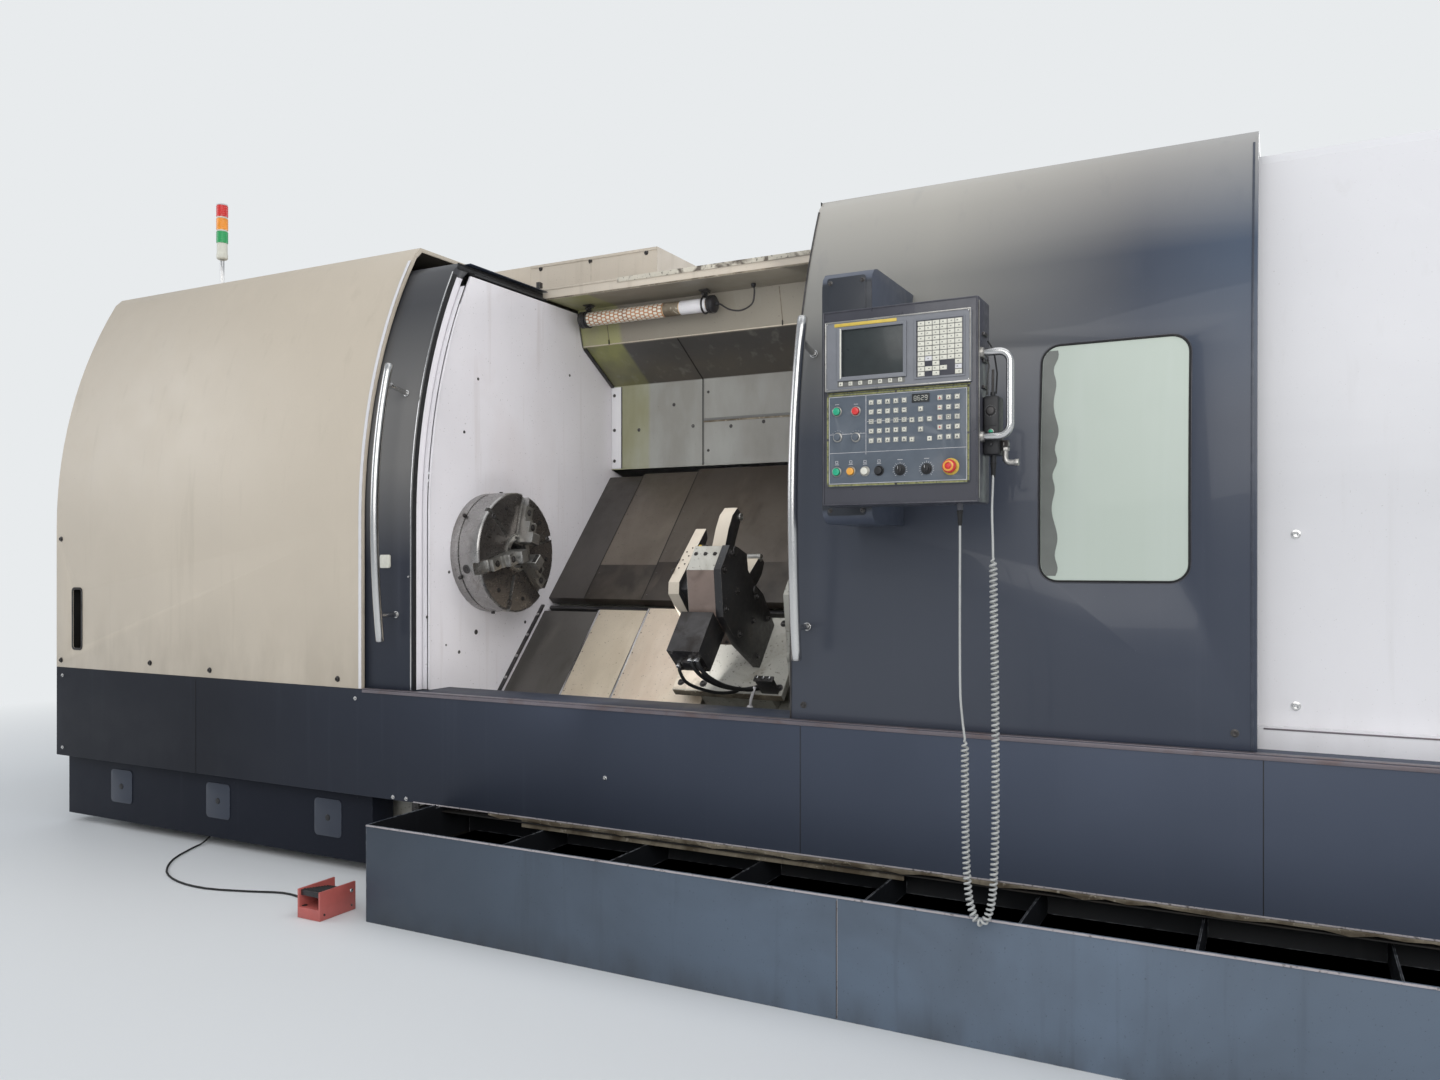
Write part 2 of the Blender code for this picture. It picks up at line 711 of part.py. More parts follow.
def roof_cover():
    left = HEAD_RIGHT_X + FIT
    rear_y = REAR_Y - SHEET - FIT
    beam_y = front(BEAM_DEPTH)
    roof = block("roof_cover", (left, beam_y, ROOF_LOW_Z), (RIGHT_X, rear_y, ROOF_TOP_Z), WHITE)
    hump_y = front(HUMP_DEPTH)
    join(roof, block("roof_hump", (left, hump_y, ROOF_TOP_Z - SHEET),
                     (HUMP_RIGHT_X, hump_y + HUMP_REACH, HUMP_TOP_Z), WHITE))
    return cut(roof, block("roof_hollow", (left + SHEET, beam_y + SHEET, ROOF_LOW_Z - OVERRUN),
                           (RIGHT_X - SHEET, rear_y + OVERRUN, ROOF_TOP_Z - SHEET), WHITE))


def rear_cover():
    outline = [
        (LEFT_X, REAR_LOW_Z), (RIGHT_X, REAR_LOW_Z), (RIGHT_X, ROOF_TOP_Z),
        (HEAD_RIGHT_X, ROOF_TOP_Z), (HEAD_RIGHT_X, HEAD_TOP_Z), (LEFT_X, HEAD_TOP_Z),
    ]
    cover = prism("rear_cover", outline, "Y", REAR_Y - SHEET, REAR_Y, WHITE)
    slots = []
    for x in LOUVRE_XS:
        for index in range(LOUVRE_COUNT):
            z = LOUVRE_Z + index * LOUVRE_PITCH
            slots.append((
                (x - LOUVRE_WIDTH / 2, REAR_Y - OVERRUN, z),
                (x + LOUVRE_WIDTH / 2, REAR_Y + OVERRUN, z + LOUVRE_HEIGHT),
            ))
    return cut(cover, blocks("louvre_cutters", slots, WHITE))


def skirts():
    y = front(-SKIRT_FRONT)
    skirt = block("front_skirt", (LEFT_X, y, SKIRT_LOW_Z), (RIGHT_X, y + SKIRT_DEPTH, DOOR_BOTTOM_Z), NAVY)
    cut(skirt, block("skirt_hollow", (LEFT_X + SKIRT_SHEET, y + SKIRT_SHEET, SKIRT_LOW_Z - OVERRUN),
                     (RIGHT_X - SKIRT_SHEET, y + SKIRT_DEPTH + OVERRUN, DOOR_BOTTOM_Z - SKIRT_SHEET), NAVY))
    y = front(LOWER_SKIRT_INSET)
    left = LEFT_X + SKIRT_SHEET + FIT
    right = HEAD_RIGHT_X
    top = SKIRT_LOW_Z + SKIRT_DEPTH
    lower = block("lower_skirt", (left, y, LOWER_SKIRT_LOW_Z), (right, y + LOWER_SKIRT_DEPTH, top), NAVY)
    cut(lower, block("lower_skirt_hollow", (left + SKIRT_SHEET, y + SKIRT_SHEET, LOWER_SKIRT_LOW_Z - OVERRUN),
                     (right - SKIRT_SHEET, y + LOWER_SKIRT_DEPTH + OVERRUN, top - SKIRT_SHEET), NAVY))


def bed_casting():
    top = slant(BED_TOP_ALONG, BED_OUT)
    low = slant(BED_LOW_ALONG, BED_OUT)
    outline = [
        (front(BED_FRONT), BED_BASE_Z), (front(BED_REAR), BED_BASE_Z), (front(BED_REAR), BED_REAR_Z),
        top, low, (front(BED_FRONT), BED_FRONT_Z),
    ]
    left = LEFT_X + BED_END_INSET
    right = RIGHT_X - BED_END_INSET
    bed = prism("bed_casting", outline, "X", left, right, CASTING)
    rail_x = (BULKHEAD_X + COVER_STEP, RAIL_END_X)
    for index, along in enumerate(RAIL_ALONGS):
        rail = [slant(a, o) for a, o in (
            (along, RAIL_OUT), (along, BED_OUT - FOLD),
            (along + RAIL_WIDTH, BED_OUT - FOLD), (along + RAIL_WIDTH, RAIL_OUT),
        )]
        join(bed, prism(f"rail_{index}", rail, "X", *rail_x, CASTING))
    pads = []
    for index in range(PAD_COUNT):
        x = left + PAD_SIZE + (right - left - 2 * PAD_SIZE) * index / (PAD_COUNT - 1)
        for depth in PAD_DEPTHS:
            pads.append((
                (x - PAD_SIZE / 2, front(depth) - PAD_SIZE / 2, 0),
                (x + PAD_SIZE / 2, front(depth) + PAD_SIZE / 2, BED_BASE_Z + SHEET),
            ))
    join(bed, blocks("levelling_pads", pads, CASTING))
    gland = (CABLE_GLAND_X, front(BED_FRONT), BED_BASE_Z + 2 * CABLE_GLAND_RADIUS)
    return join(bed, rod("cable_gland", CABLE_GLAND_RADIUS, -FOLD, CABLE_GLAND_LENGTH, "-Y", gland, CASTING))


def running_bore(radius):
    """A bore whose flats clear the corners of a shaft with as many sides."""
    return (radius + FIT) / math.cos(math.pi / (ROUND_STEPS * 2))


def headstock():
    foot = BED_OUT + FIT
    chamfer = HEADSTOCK_CHAMFER
    outline = [slant(a, o) for a, o in (
        (HEADSTOCK_HIGH_ALONG, foot), (HEADSTOCK_LOW_ALONG, foot),
        (HEADSTOCK_LOW_ALONG, HEADSTOCK_OUT - chamfer), (HEADSTOCK_LOW_ALONG - chamfer, HEADSTOCK_OUT),
        (HEADSTOCK_HIGH_ALONG + chamfer, HEADSTOCK_OUT), (HEADSTOCK_HIGH_ALONG, HEADSTOCK_OUT - chamfer),
    )]
    axis = (0, AXIS_Y, AXIS_Z)
    casting = prism("headstock_casting", outline, "X", HEADSTOCK_LEFT_X, HEADSTOCK_RIGHT_X, CASTING)
    cut(casting, rod("spindle_bearing_bore", running_bore(SPINDLE_RADIUS), HEADSTOCK_LEFT_X - OVERRUN,
                     HEADSTOCK_RIGHT_X + OVERRUN, "X", axis, CASTING, ROUND_STEPS * 2))
    right = HEADSTOCK_LEFT_X - FIT
    motor = rod("spindle_motor", MOTOR_RADIUS, MOTOR_LEFT_X, right, "X", axis, NAVY, ROUND_STEPS * 2)
    half = MOTOR_FOOT_WIDTH / 2
    pedestal = [slant(a, o) for a, o in ((-half, foot), (half, foot), (half, 0), (-half, 0))]
    join(motor, prism("motor_pedestal", pedestal, "X", MOTOR_LEFT_X + FOLD, right - FOLD, NAVY))
    cut(motor, rod("motor_bore", running_bore(SPINDLE_TAIL_RADIUS), SPINDLE_LEFT_X - FIT, right + OVERRUN,
                   "X", axis, NAVY, ROUND_STEPS * 2))


def spindle():
    axis = (0, AXIS_Y, AXIS_Z)
    back = BULKHEAD_X - NOSE_LENGTH
    nose = BULKHEAD_X + FIT
    shoulder = HEADSTOCK_LEFT_X
    profile = [
        (SPINDLE_BORE, nose), (NOSE_RADIUS, nose), (NOSE_RADIUS, back), (SPINDLE_RADIUS, back),
        (SPINDLE_RADIUS, shoulder), (SPINDLE_TAIL_RADIUS, shoulder), (SPINDLE_TAIL_RADIUS, SPINDLE_LEFT_X),
        (SPINDLE_BORE, SPINDLE_LEFT_X),
    ]
    turned("spindle", profile, "X", axis, STEEL)


def chuck():
    axis = (0, AXIS_Y, AXIS_Z)
    back = BULKHEAD_X + 2 * FIT
    face = CHUCK_FACE_X
    groove = CHUCK_RADIUS - CHUCK_RIM_GROOVE
    profile = [
        (CHUCK_BORE, face), (CHUCK_RADIUS - CHUCK_CHAMFER, face), (CHUCK_RADIUS, face - CHUCK_CHAMFER),
        (CHUCK_RADIUS, CHUCK_RIM_X), (groove, CHUCK_RIM_X), (groove, CHUCK_RIM_X - CHUCK_CHAMFER),
        (CHUCK_RADIUS, CHUCK_RIM_X - CHUCK_CHAMFER), (CHUCK_RADIUS, back), (CHUCK_BORE, back),
    ]
    body = turned("chuck_body", profile, "X", axis, STEEL, ROUND_STEPS * 3)
    for index, angle in enumerate(JAW_ANGLES):
        cut(body, radial_block(f"jaw_slot_{index}", angle, 0, CHUCK_RADIUS + OVERRUN,
                               JAW_WIDTH / 2 + FIT, face - JAW_SLOT_DEPTH - FIT, face + OVERRUN))
    for index, angle in enumerate(KEYWAY_ANGLES):
        cut(body, radial_block(f"keyway_{index}", angle, KEYWAY_START, CHUCK_RADIUS + OVERRUN,
                               KEYWAY_WIDTH / 2, face - KEYWAY_DEPTH, face + OVERRUN))
    for index, angle in enumerate(JAW_ANGLES):
        outline = [(JAW_TIP, face - JAW_SLOT_DEPTH), (JAW_BACK, face - JAW_SLOT_DEPTH), (JAW_BACK, face + SHEET)]
        for start, height in JAW_STEPS[::-1]:
            outline += [(outline[-1][0], face + height), (start, face + height)]
        jaw = prism(f"chuck_jaw_{index + 1}", outline, "Z", -JAW_WIDTH / 2, JAW_WIDTH / 2, STEEL)
        jaw.data.transform(radial_frame(angle))
        jaw.data.flip_normals()
        pivot(jaw, axis[:1] + (AXIS_Y, AXIS_Z))


def radial_frame(angle):
    """Takes (radius, x, across) to the world, for a piece that points out from the spindle axis."""
    turn = math.radians(angle)
    return Matrix((
        (0, 1, 0, 0),
        (math.cos(turn), 0, -math.sin(turn), AXIS_Y),
        (math.sin(turn), 0, math.cos(turn), AXIS_Z),
        (0, 0, 0, 1),
    ))


def radial_block(name, angle, inner, outer, half_width, x_low, x_high):
    made = block(name, (inner, x_low, -half_width), (outer, x_high, half_width), STEEL)
    made.data.transform(radial_frame(angle))
    made.data.flip_normals()
    return made


def bulkhead():
    hole = (0, AXIS_Y, AXIS_Z)
    sill = DOOR_BOTTOM_Z + FIT
    outline = front_line(0, BULKHEAD_SETBACK, sill, BULKHEAD_TOP_Z)
    rear_gap = COVER_STEP
    outline += [
        (front(CEILING_DEPTH) - rear_gap, BULKHEAD_TOP_Z), (front(FASCIA_DEPTH) - rear_gap, FASCIA_LOW_Z),
        (front(WALL_DEPTH) - FIT, WALL_TOP_Z), (front(WALL_DEPTH) - FIT, WALL_LOW_Z),
        slant(BED_TOP_ALONG, BED_OUT + FIT), slant(BED_LOW_ALONG, BED_OUT + FIT),
        (front(SKIRT_DEPTH - SKIRT_FRONT), sill),
    ]
    left = BULKHEAD_X - BULKHEAD_THICKNESS
    plate = prism("bulkhead", outline, "X", left, BULKHEAD_X, WHITE)
    return cut(plate, rod("nose_hole", NOSE_HOLE_RADIUS, left - OVERRUN, BULKHEAD_X + OVERRUN,
                          "X", hole, WHITE, ROUND_STEPS * 2))


def back_panel():
    line = [
        (BEAM_DEPTH + SHEET + FIT, CEILING_Z), (CEILING_DEPTH, CEILING_Z), (FASCIA_DEPTH, FASCIA_LOW_Z),
        (WALL_DEPTH, WALL_TOP_Z), (WALL_DEPTH, WALL_LOW_Z),
    ]
    mesh = bpy.data.meshes.new("back_panel")
    left = BULKHEAD_X + FIT
    points = []
    for depth, z in line:
        points += [(left, front(depth), z), (WALL_RIGHT_X, front(depth), z)]
    faces = [(2 * i, 2 * i + 1, 2 * i + 3, 2 * i + 2) for i in range(len(line) - 1)]
    mesh.from_pydata(points, [], faces)
    panel = place("back_panel", mesh, GREY_PANEL)
    solidify = panel.modifiers.new("sheet", "SOLIDIFY")
    solidify.thickness = SHEET
    solidify.offset = 1
    return panel


def way_cover(name, x_low, x_high, layer, alongs, out, look, wiper):
    """A folded sheet across the slope, with a wiper that rests on the section beneath it."""
    low = alongs[0] + layer * COVER_STEP
    high = alongs[1] - layer * COVER_STEP
    top = out - layer * COVER_STEP
    t = SHEET
    lip = top - COVER_LIP
    outline = [slant(a, o) for a, o in (
        (low, lip), (low, top), (high, top), (high, lip),
        (high - t, lip), (high - t, top - t), (low + t, top - t), (low + t, lip),
    )]
    cover = prism(name, outline, "X", x_low, x_high, look)
    if wiper:
        strip = [slant(a, o) for a, o in (
            (low + t / 2, top - t / 2), (high - t / 2, top - t / 2),
            (high - t / 2, top - COVER_STEP + FIT), (low + t / 2, top - COVER_STEP + FIT),
        )]
        join(cover, prism(name + "_wiper", strip, "X", x_low, x_low + WIPER, look))
    return pivot(cover, (x_low, *slant(0, out)))


def way_covers():
    start = BULKHEAD_X + FIT
    way_cover("upper_cover_fixed", start, start + UPPER_FIXED_LENGTH, 2, UPPER_ALONG, UPPER_OUT,
              BROWN_STEEL, False)
    way_cover("upper_cover_middle", UPPER_EDGES[0], UPPER_EDGES[0] + UPPER_MIDDLE_LENGTH, 1, UPPER_ALONG,
              UPPER_OUT, BROWN_STEEL, True)
    way_cover("upper_cover_carriage", UPPER_EDGES[1], SADDLE_LEFT_X - FIT, 0, UPPER_ALONG, UPPER_OUT,
              BROWN_STEEL, True)
    way_cover("lower_cover_fixed", start, start + LOWER_FIXED_LENGTH, 2, LOWER_ALONG, LOWER_OUT,
              BROWN_STEEL, False)
    way_cover("lower_cover_middle", LOWER_EDGES[0], LOWER_EDGES[0] + LOWER_MIDDLE_LENGTH, 1, LOWER_ALONG,
              LOWER_OUT, BROWN_STEEL, True)
    way_cover("lower_cover_steady", LOWER_EDGES[1], SLAB_X + STAND_INSET - FIT, 0, LOWER_ALONG, LOWER_OUT,
              BROWN_STEEL, True)


def carriage():
    right = SADDLE_LEFT_X + SADDLE_LENGTH
    origin = (SADDLE_LEFT_X, *slant(TURRET_ALONG, 0))
    outline = [slant(a, o) for a, o in (
        (SADDLE_ALONG[0], RAIL_OUT + FIT), (SADDLE_ALONG[1], RAIL_OUT + FIT),
        (SADDLE_ALONG[1], SADDLE_TOP - FOLD), (SADDLE_ALONG[1] - FOLD, SADDLE_TOP),
        (SADDLE_ALONG[0], SADDLE_TOP),
    )]
    pivot(prism("saddle", outline, "X", SADDLE_LEFT_X, right, CASTING), origin)
    base = [slant(a, o) for a, o in (
        (SLIDE_ALONG[0], SADDLE_TOP + FIT), (SLIDE_ALONG[1], SADDLE_TOP + FIT),
        (SLIDE_ALONG[1], SLIDE_TOP), (SLIDE_ALONG[0], SLIDE_TOP),
    )]
    slide = prism("turret_slide", base, "X", SADDLE_LEFT_X + SLIDE_INSET, right - SLIDE_INSET, CASTING)
    half = TURRET_HALF
    cut_back = half - TURRET_CHAMFER
    head = [slant(TURRET_ALONG + a, o) for a, o in (
        (-half, SLIDE_TOP - FOLD), (half, SLIDE_TOP - FOLD), (half, cut_back), (cut_back, half),
        (-cut_back, half), (-half, cut_back),
    )]
    head_x = SADDLE_LEFT_X + HEAD_GAP
    join(slide, prism("turret_head", head, "X", head_x, head_x + TURRET_HEAD_LENGTH, CASTING))
    pivot(slide, origin)
    disc_right = head_x - FIT
    disc_left = disc_right - DISC_LENGTH
    centre = (0, *slant(TURRET_ALONG, 0))
    disc = rod("turret_disc", DISC_RADIUS, disc_left, disc_right, "X", centre, DARK_STEEL, DISC_SIDES)
    tools = []
    for index in range(TOOL_COUNT):
        tools.append((
            (disc_left - SHEET, -TOOL_WIDTH / 2, DISC_RADIUS - TOOL_WIDTH),
            (disc_left + TOOL_LENGTH, TOOL_WIDTH / 2, TOOL_REACH),
        ))
    for index, tool in enumerate(tools):
        holder = block(f"tool_{index}", *tool, DARK_STEEL)
        turn = Matrix.Rotation(math.tau * index / TOOL_COUNT + SLANT / 2, 4, "X")
        holder.data.transform(Matrix.Translation(centre) @ turn)
        join(disc, holder)
    pivot(disc, (disc_left, *slant(TURRET_ALONG, 0)))


def tailstock():
    rail = RAIL_OUT + FIT
    near, far = TAIL_ALONG
    radius = TAIL_TUBE_RADIUS
    inset = near + SHEET
    end = far - SHEET
    foot = [slant(a, o) for a, o in (
        (inset, rail + SHEET), (end, rail + SHEET), (end, rail + 2 * radius), (end - 2 * radius, -radius / 5),
        (inset + radius, -radius / 5), (inset, -radius),
    )]
    body = prism("tailstock_body", foot, "X", TAIL_FOOT_X, TAIL_BODY_X + FOLD, CREAM)
    main = [slant(a, o) for a, o in (
        (near, rail), (far, rail), (far, rail + radius), (radius / 2, 0), (-radius / 2, 0),
        (-radius / 2, -radius),
    )]
    join(body, prism("tailstock_web", main, "X", TAIL_BODY_X, TAIL_RIGHT_X, CREAM))
    axis = (0, AXIS_Y, AXIS_Z)
    join(body, rod("quill_housing", radius, TAIL_BODY_X - FOLD, TAIL_RIGHT_X + FOLD, "X", axis, CREAM,
                   ROUND_STEPS * 2))
    cut(body, rod("quill_bore", QUILL_RADIUS + FIT, QUILL_LEFT_X - OVERRUN, TAIL_RIGHT_X + 2 * OVERRUN,
                  "X", axis, CREAM, ROUND_STEPS * 2))
    pivot(body, (TAIL_BODY_X, AXIS_Y, AXIS_Z))
    profile = [
        (0, -CENTRE_X), (CENTRE_RADIUS, -CENTRE_X - 2 * CENTRE_RADIUS), (CENTRE_RADIUS, -QUILL_LEFT_X),
        (QUILL_RADIUS, -QUILL_LEFT_X), (QUILL_RADIUS, -TAIL_RIGHT_X), (0, -TAIL_RIGHT_X),
    ]
    quill = turned("quill", [(r, -x) for r, x in profile[::-1]], "X", axis, STEEL)
    pivot(quill, (CENTRE_X, AXIS_Y, AXIS_Z))


def steady():
    low, high = SLAB_ALONG
    top = SLAB_OUT
    slab = [slant(a, o) for a, o in (
        (low, top - SLAB_THICKNESS), (high, top - SLAB_THICKNESS), (high, top), (low, top),
    )]
    base = prism("steady_base", slab, "X", SLAB_X, SLAB_RIGHT_X, CREAM)
    stand = [slant(a, o) for a, o in (
        (low, RAIL_OUT + FIT), (high - SLAB_THICKNESS, RAIL_OUT + FIT),
        (high - SLAB_THICKNESS, top - SLAB_THICKNESS / 2), (low, top - SLAB_THICKNESS / 2),
    )]
    join(base, prism("steady_stand", stand, "X", SLAB_X + STAND_INSET, SLAB_RIGHT_X - STAND_INSET, CREAM))
    pivot(base, (SLAB_X, AXIS_Y, AXIS_Z))
    plate_x = (STEADY_PLATE_X, STEADY_PLATE_X + STEADY_PLATE_THICKNESS)
    plate = [slant(a, o) for a, o in STEADY_PLATE_OUTLINE]
    housing = prism("steady_housing", plate, "X", *plate_x, BLACK)
    box = [slant(a, o) for a, o in STEADY_BOX_OUTLINE]
    join(housing, prism("steady_box", box, "X", STEADY_BOX_X, STEADY_PLATE_X + SHEET, CASTING))
    side = [slant(a, o) for a, o in STEADY_SIDE_OUTLINE]
    join(housing, prism("steady_side", side, "X", STEADY_LEFT_X, STEADY_LEFT_X + STEADY_SIDE_THICKNESS, CREAM))
    neck = [slant(a, o) for a, o in STEADY_NECK_OUTLINE]
    join(housing, prism("steady_neck", neck, "X", STEADY_LEFT_X + SHEET, STEADY_BOX_X + SHEET, BLACK))
    cylinder = [slant(a, o) for a, o in STEADY_CYLINDER_OUTLINE]
    join(housing, prism("steady_cylinder", cylinder, "X", STEADY_BOX_X - FOLD / 2, STEADY_PLATE_X - SHEET, BLACK))
    pivot(housing, (STEADY_LEFT_X, AXIS_Y, AXIS_Z))
    claw_x = (STEADY_PLATE_X - FIT - CLAW_WIDTH, STEADY_PLATE_X - FIT)
    for name, side_sign in (("upper_claw", 1), ("lower_claw", -1)):
        outline = [slant(a, side_sign * o) for a, o in CLAW_OUTLINE]
        claw = prism(name, outline, "X", *claw_x, BLACK)
        pivot(claw, (claw_x[0], *slant(CLAW_PIN[0], side_sign * CLAW_PIN[1])))


def door(name, x_low, x_high, look):
    """A bowed front and the roof strip that it carries, as one folded pan open to the rear."""
    low_z = DOOR_BOTTOM_Z + FIT
    roof_y = front(BEAM_DEPTH) - SHEET
    outer = front_line(0, 0, low_z, DOOR_TOP_Z - TOP_CORNER)
    outer.append((outer[-1][0] + TOP_CORNER, DOOR_TOP_Z))
    inner = front_line(0, DOOR_THICKNESS, low_z, DOOR_TOP_Z - DOOR_THICKNESS)
    roof_low = DOOR_TOP_Z - ROOF_THICKNESS
    inner.append((inner[-1][0] + ROOF_THICKNESS, roof_low))
    outline = outer + [(roof_y, DOOR_TOP_Z), (roof_y, roof_low)] + inner[::-1]
    leaf = prism(name, outline, "X", x_low, x_high, look)
    skin = front_line(0, SHEET, low_z + SHEET, DOOR_TOP_Z - TOP_CORNER - SHEET)
    skin.append((skin[-1][0] + TOP_CORNER, DOOR_TOP_Z - SHEET))
    hollow = skin + [
        (roof_y - SHEET, DOOR_TOP_Z - SHEET), (roof_y - SHEET, roof_low - OVERRUN),
        (front(DOOR_THICKNESS) + OVERRUN + setback(roof_low, ARC_RADIUS), roof_low - OVERRUN),
        (front(DOOR_THICKNESS) + OVERRUN, KNEE_Z), (front(DOOR_THICKNESS) + OVERRUN, low_z + SHEET),
    ]
    return cut(leaf, prism(name + "_hollow", hollow, "X", x_low + SHEET, x_high - SHEET, look))


def handle(name, x):
    """A bowed bar on two posts square to the door."""
    line = front_line(0, -HANDLE_STANDOFF, *HANDLE_Z)
    bar = tube(name, [(x, y, z) for y, z in line[:1] + line[1::2]], HANDLE_RADIUS, STEEL, 2, as_mesh=True)
    for index, z in enumerate(POST_Z):
        lean = math.asin(max(0, z - KNEE_Z) / ARC_RADIUS)
        pivot_z = min(z, KNEE_Z)
        ends = []
        for reach in (HANDLE_STANDOFF, FIT):
            out = ARC_RADIUS + reach
            ends.append((x, front(ARC_RADIUS - out * math.cos(lean)), pivot_z + out * math.sin(lean)))
        join(bar, tube(f"{name}_post_{index}", ends, POST_RADIUS, STEEL, 2, as_mesh=True))
    return pivot(bar, (x, front(0), KNEE_Z))


def doors():
    left = door("left_door", *LEFT_DOOR_X, NAVY)
    right = door("right_door", *RIGHT_DOOR_X, NAVY)
    window = rounded(*WINDOW_X, *WINDOW_Z, WINDOW_CORNER)
    cut(right, prism("window_cutter", window, "Y", front(-OVERRUN), front(DOOR_THICKNESS + OVERRUN * 2), NAVY))
    glass = bowed_panel("door_window", WINDOW_X[0] - OVERRUN, WINDOW_X[1] + OVERRUN, 0, GLASS_THICKNESS,
                        WINDOW_Z[0] - OVERRUN, WINDOW_Z[1] + OVERRUN, GLASS)
    pane = rounded(WINDOW_X[0] + FIT, WINDOW_X[1] - FIT, WINDOW_Z[0] + FIT, WINDOW_Z[1] - FIT, WINDOW_CORNER)
    boolean(glass, prism("pane_outline", pane, "Y", front(-OVERRUN), front(OVERRUN * 3), GLASS), "INTERSECT")
    pivot(left, (LEFT_DOOR_X[1], front(0), DOOR_BOTTOM_Z))
    pivot(right, (RIGHT_DOOR_X[0], front(0), DOOR_BOTTOM_Z))
    pivot(glass, (WINDOW_X[0], front(0), WINDOW_Z[0]))
    handle("left_door_handle", LEFT_DOOR_X[1] - HANDLE_INSET)
    handle("right_door_handle", RIGHT_DOOR_X[0] + RIGHT_HANDLE_INSET)


def pendant_bracket():
    low, high = BRACKET_Z
    y = front(-BRACKET_FRONT)
    back = front_line(-FIT, 0, low, high)
    bend = BRACKET_ROUND
    arc = [math.radians(angle) for angle in (0, 30, 60, 90)]
    outline = [(y + bend - bend * math.cos(a), high - bend + bend * math.sin(a)) for a in arc]
    outline += back[::-1]
    outline += [(y + bend - bend * math.sin(a), low + bend - bend * math.cos(a)) for a in arc]
    bracket = prism("pendant_bracket", outline, "X", *BRACKET_X, BLACK)
    for index, z in enumerate((BARREL_Z[0] - FIT - EAR_THICKNESS, BARREL_Z[1] + FIT)):
        centre = (PIVOT_X, front(-PIVOT_FRONT), 0)
        join(bracket, rod(f"ear_{index}", BARREL_RADIUS, z, z + EAR_THICKNESS, "Z", centre, BLACK))
        join(bracket, block(f"ear_neck_{index}", (PIVOT_X - BARREL_RADIUS, front(-PIVOT_FRONT), z),
                            (PIVOT_X + BARREL_RADIUS, y + SHEET, z + EAR_THICKNESS), BLACK))
    return bracket


def on_panel(spot, face_y):
    return (PANEL_X[0] + spot[0], face_y, PANEL_Z[0] + spot[1])


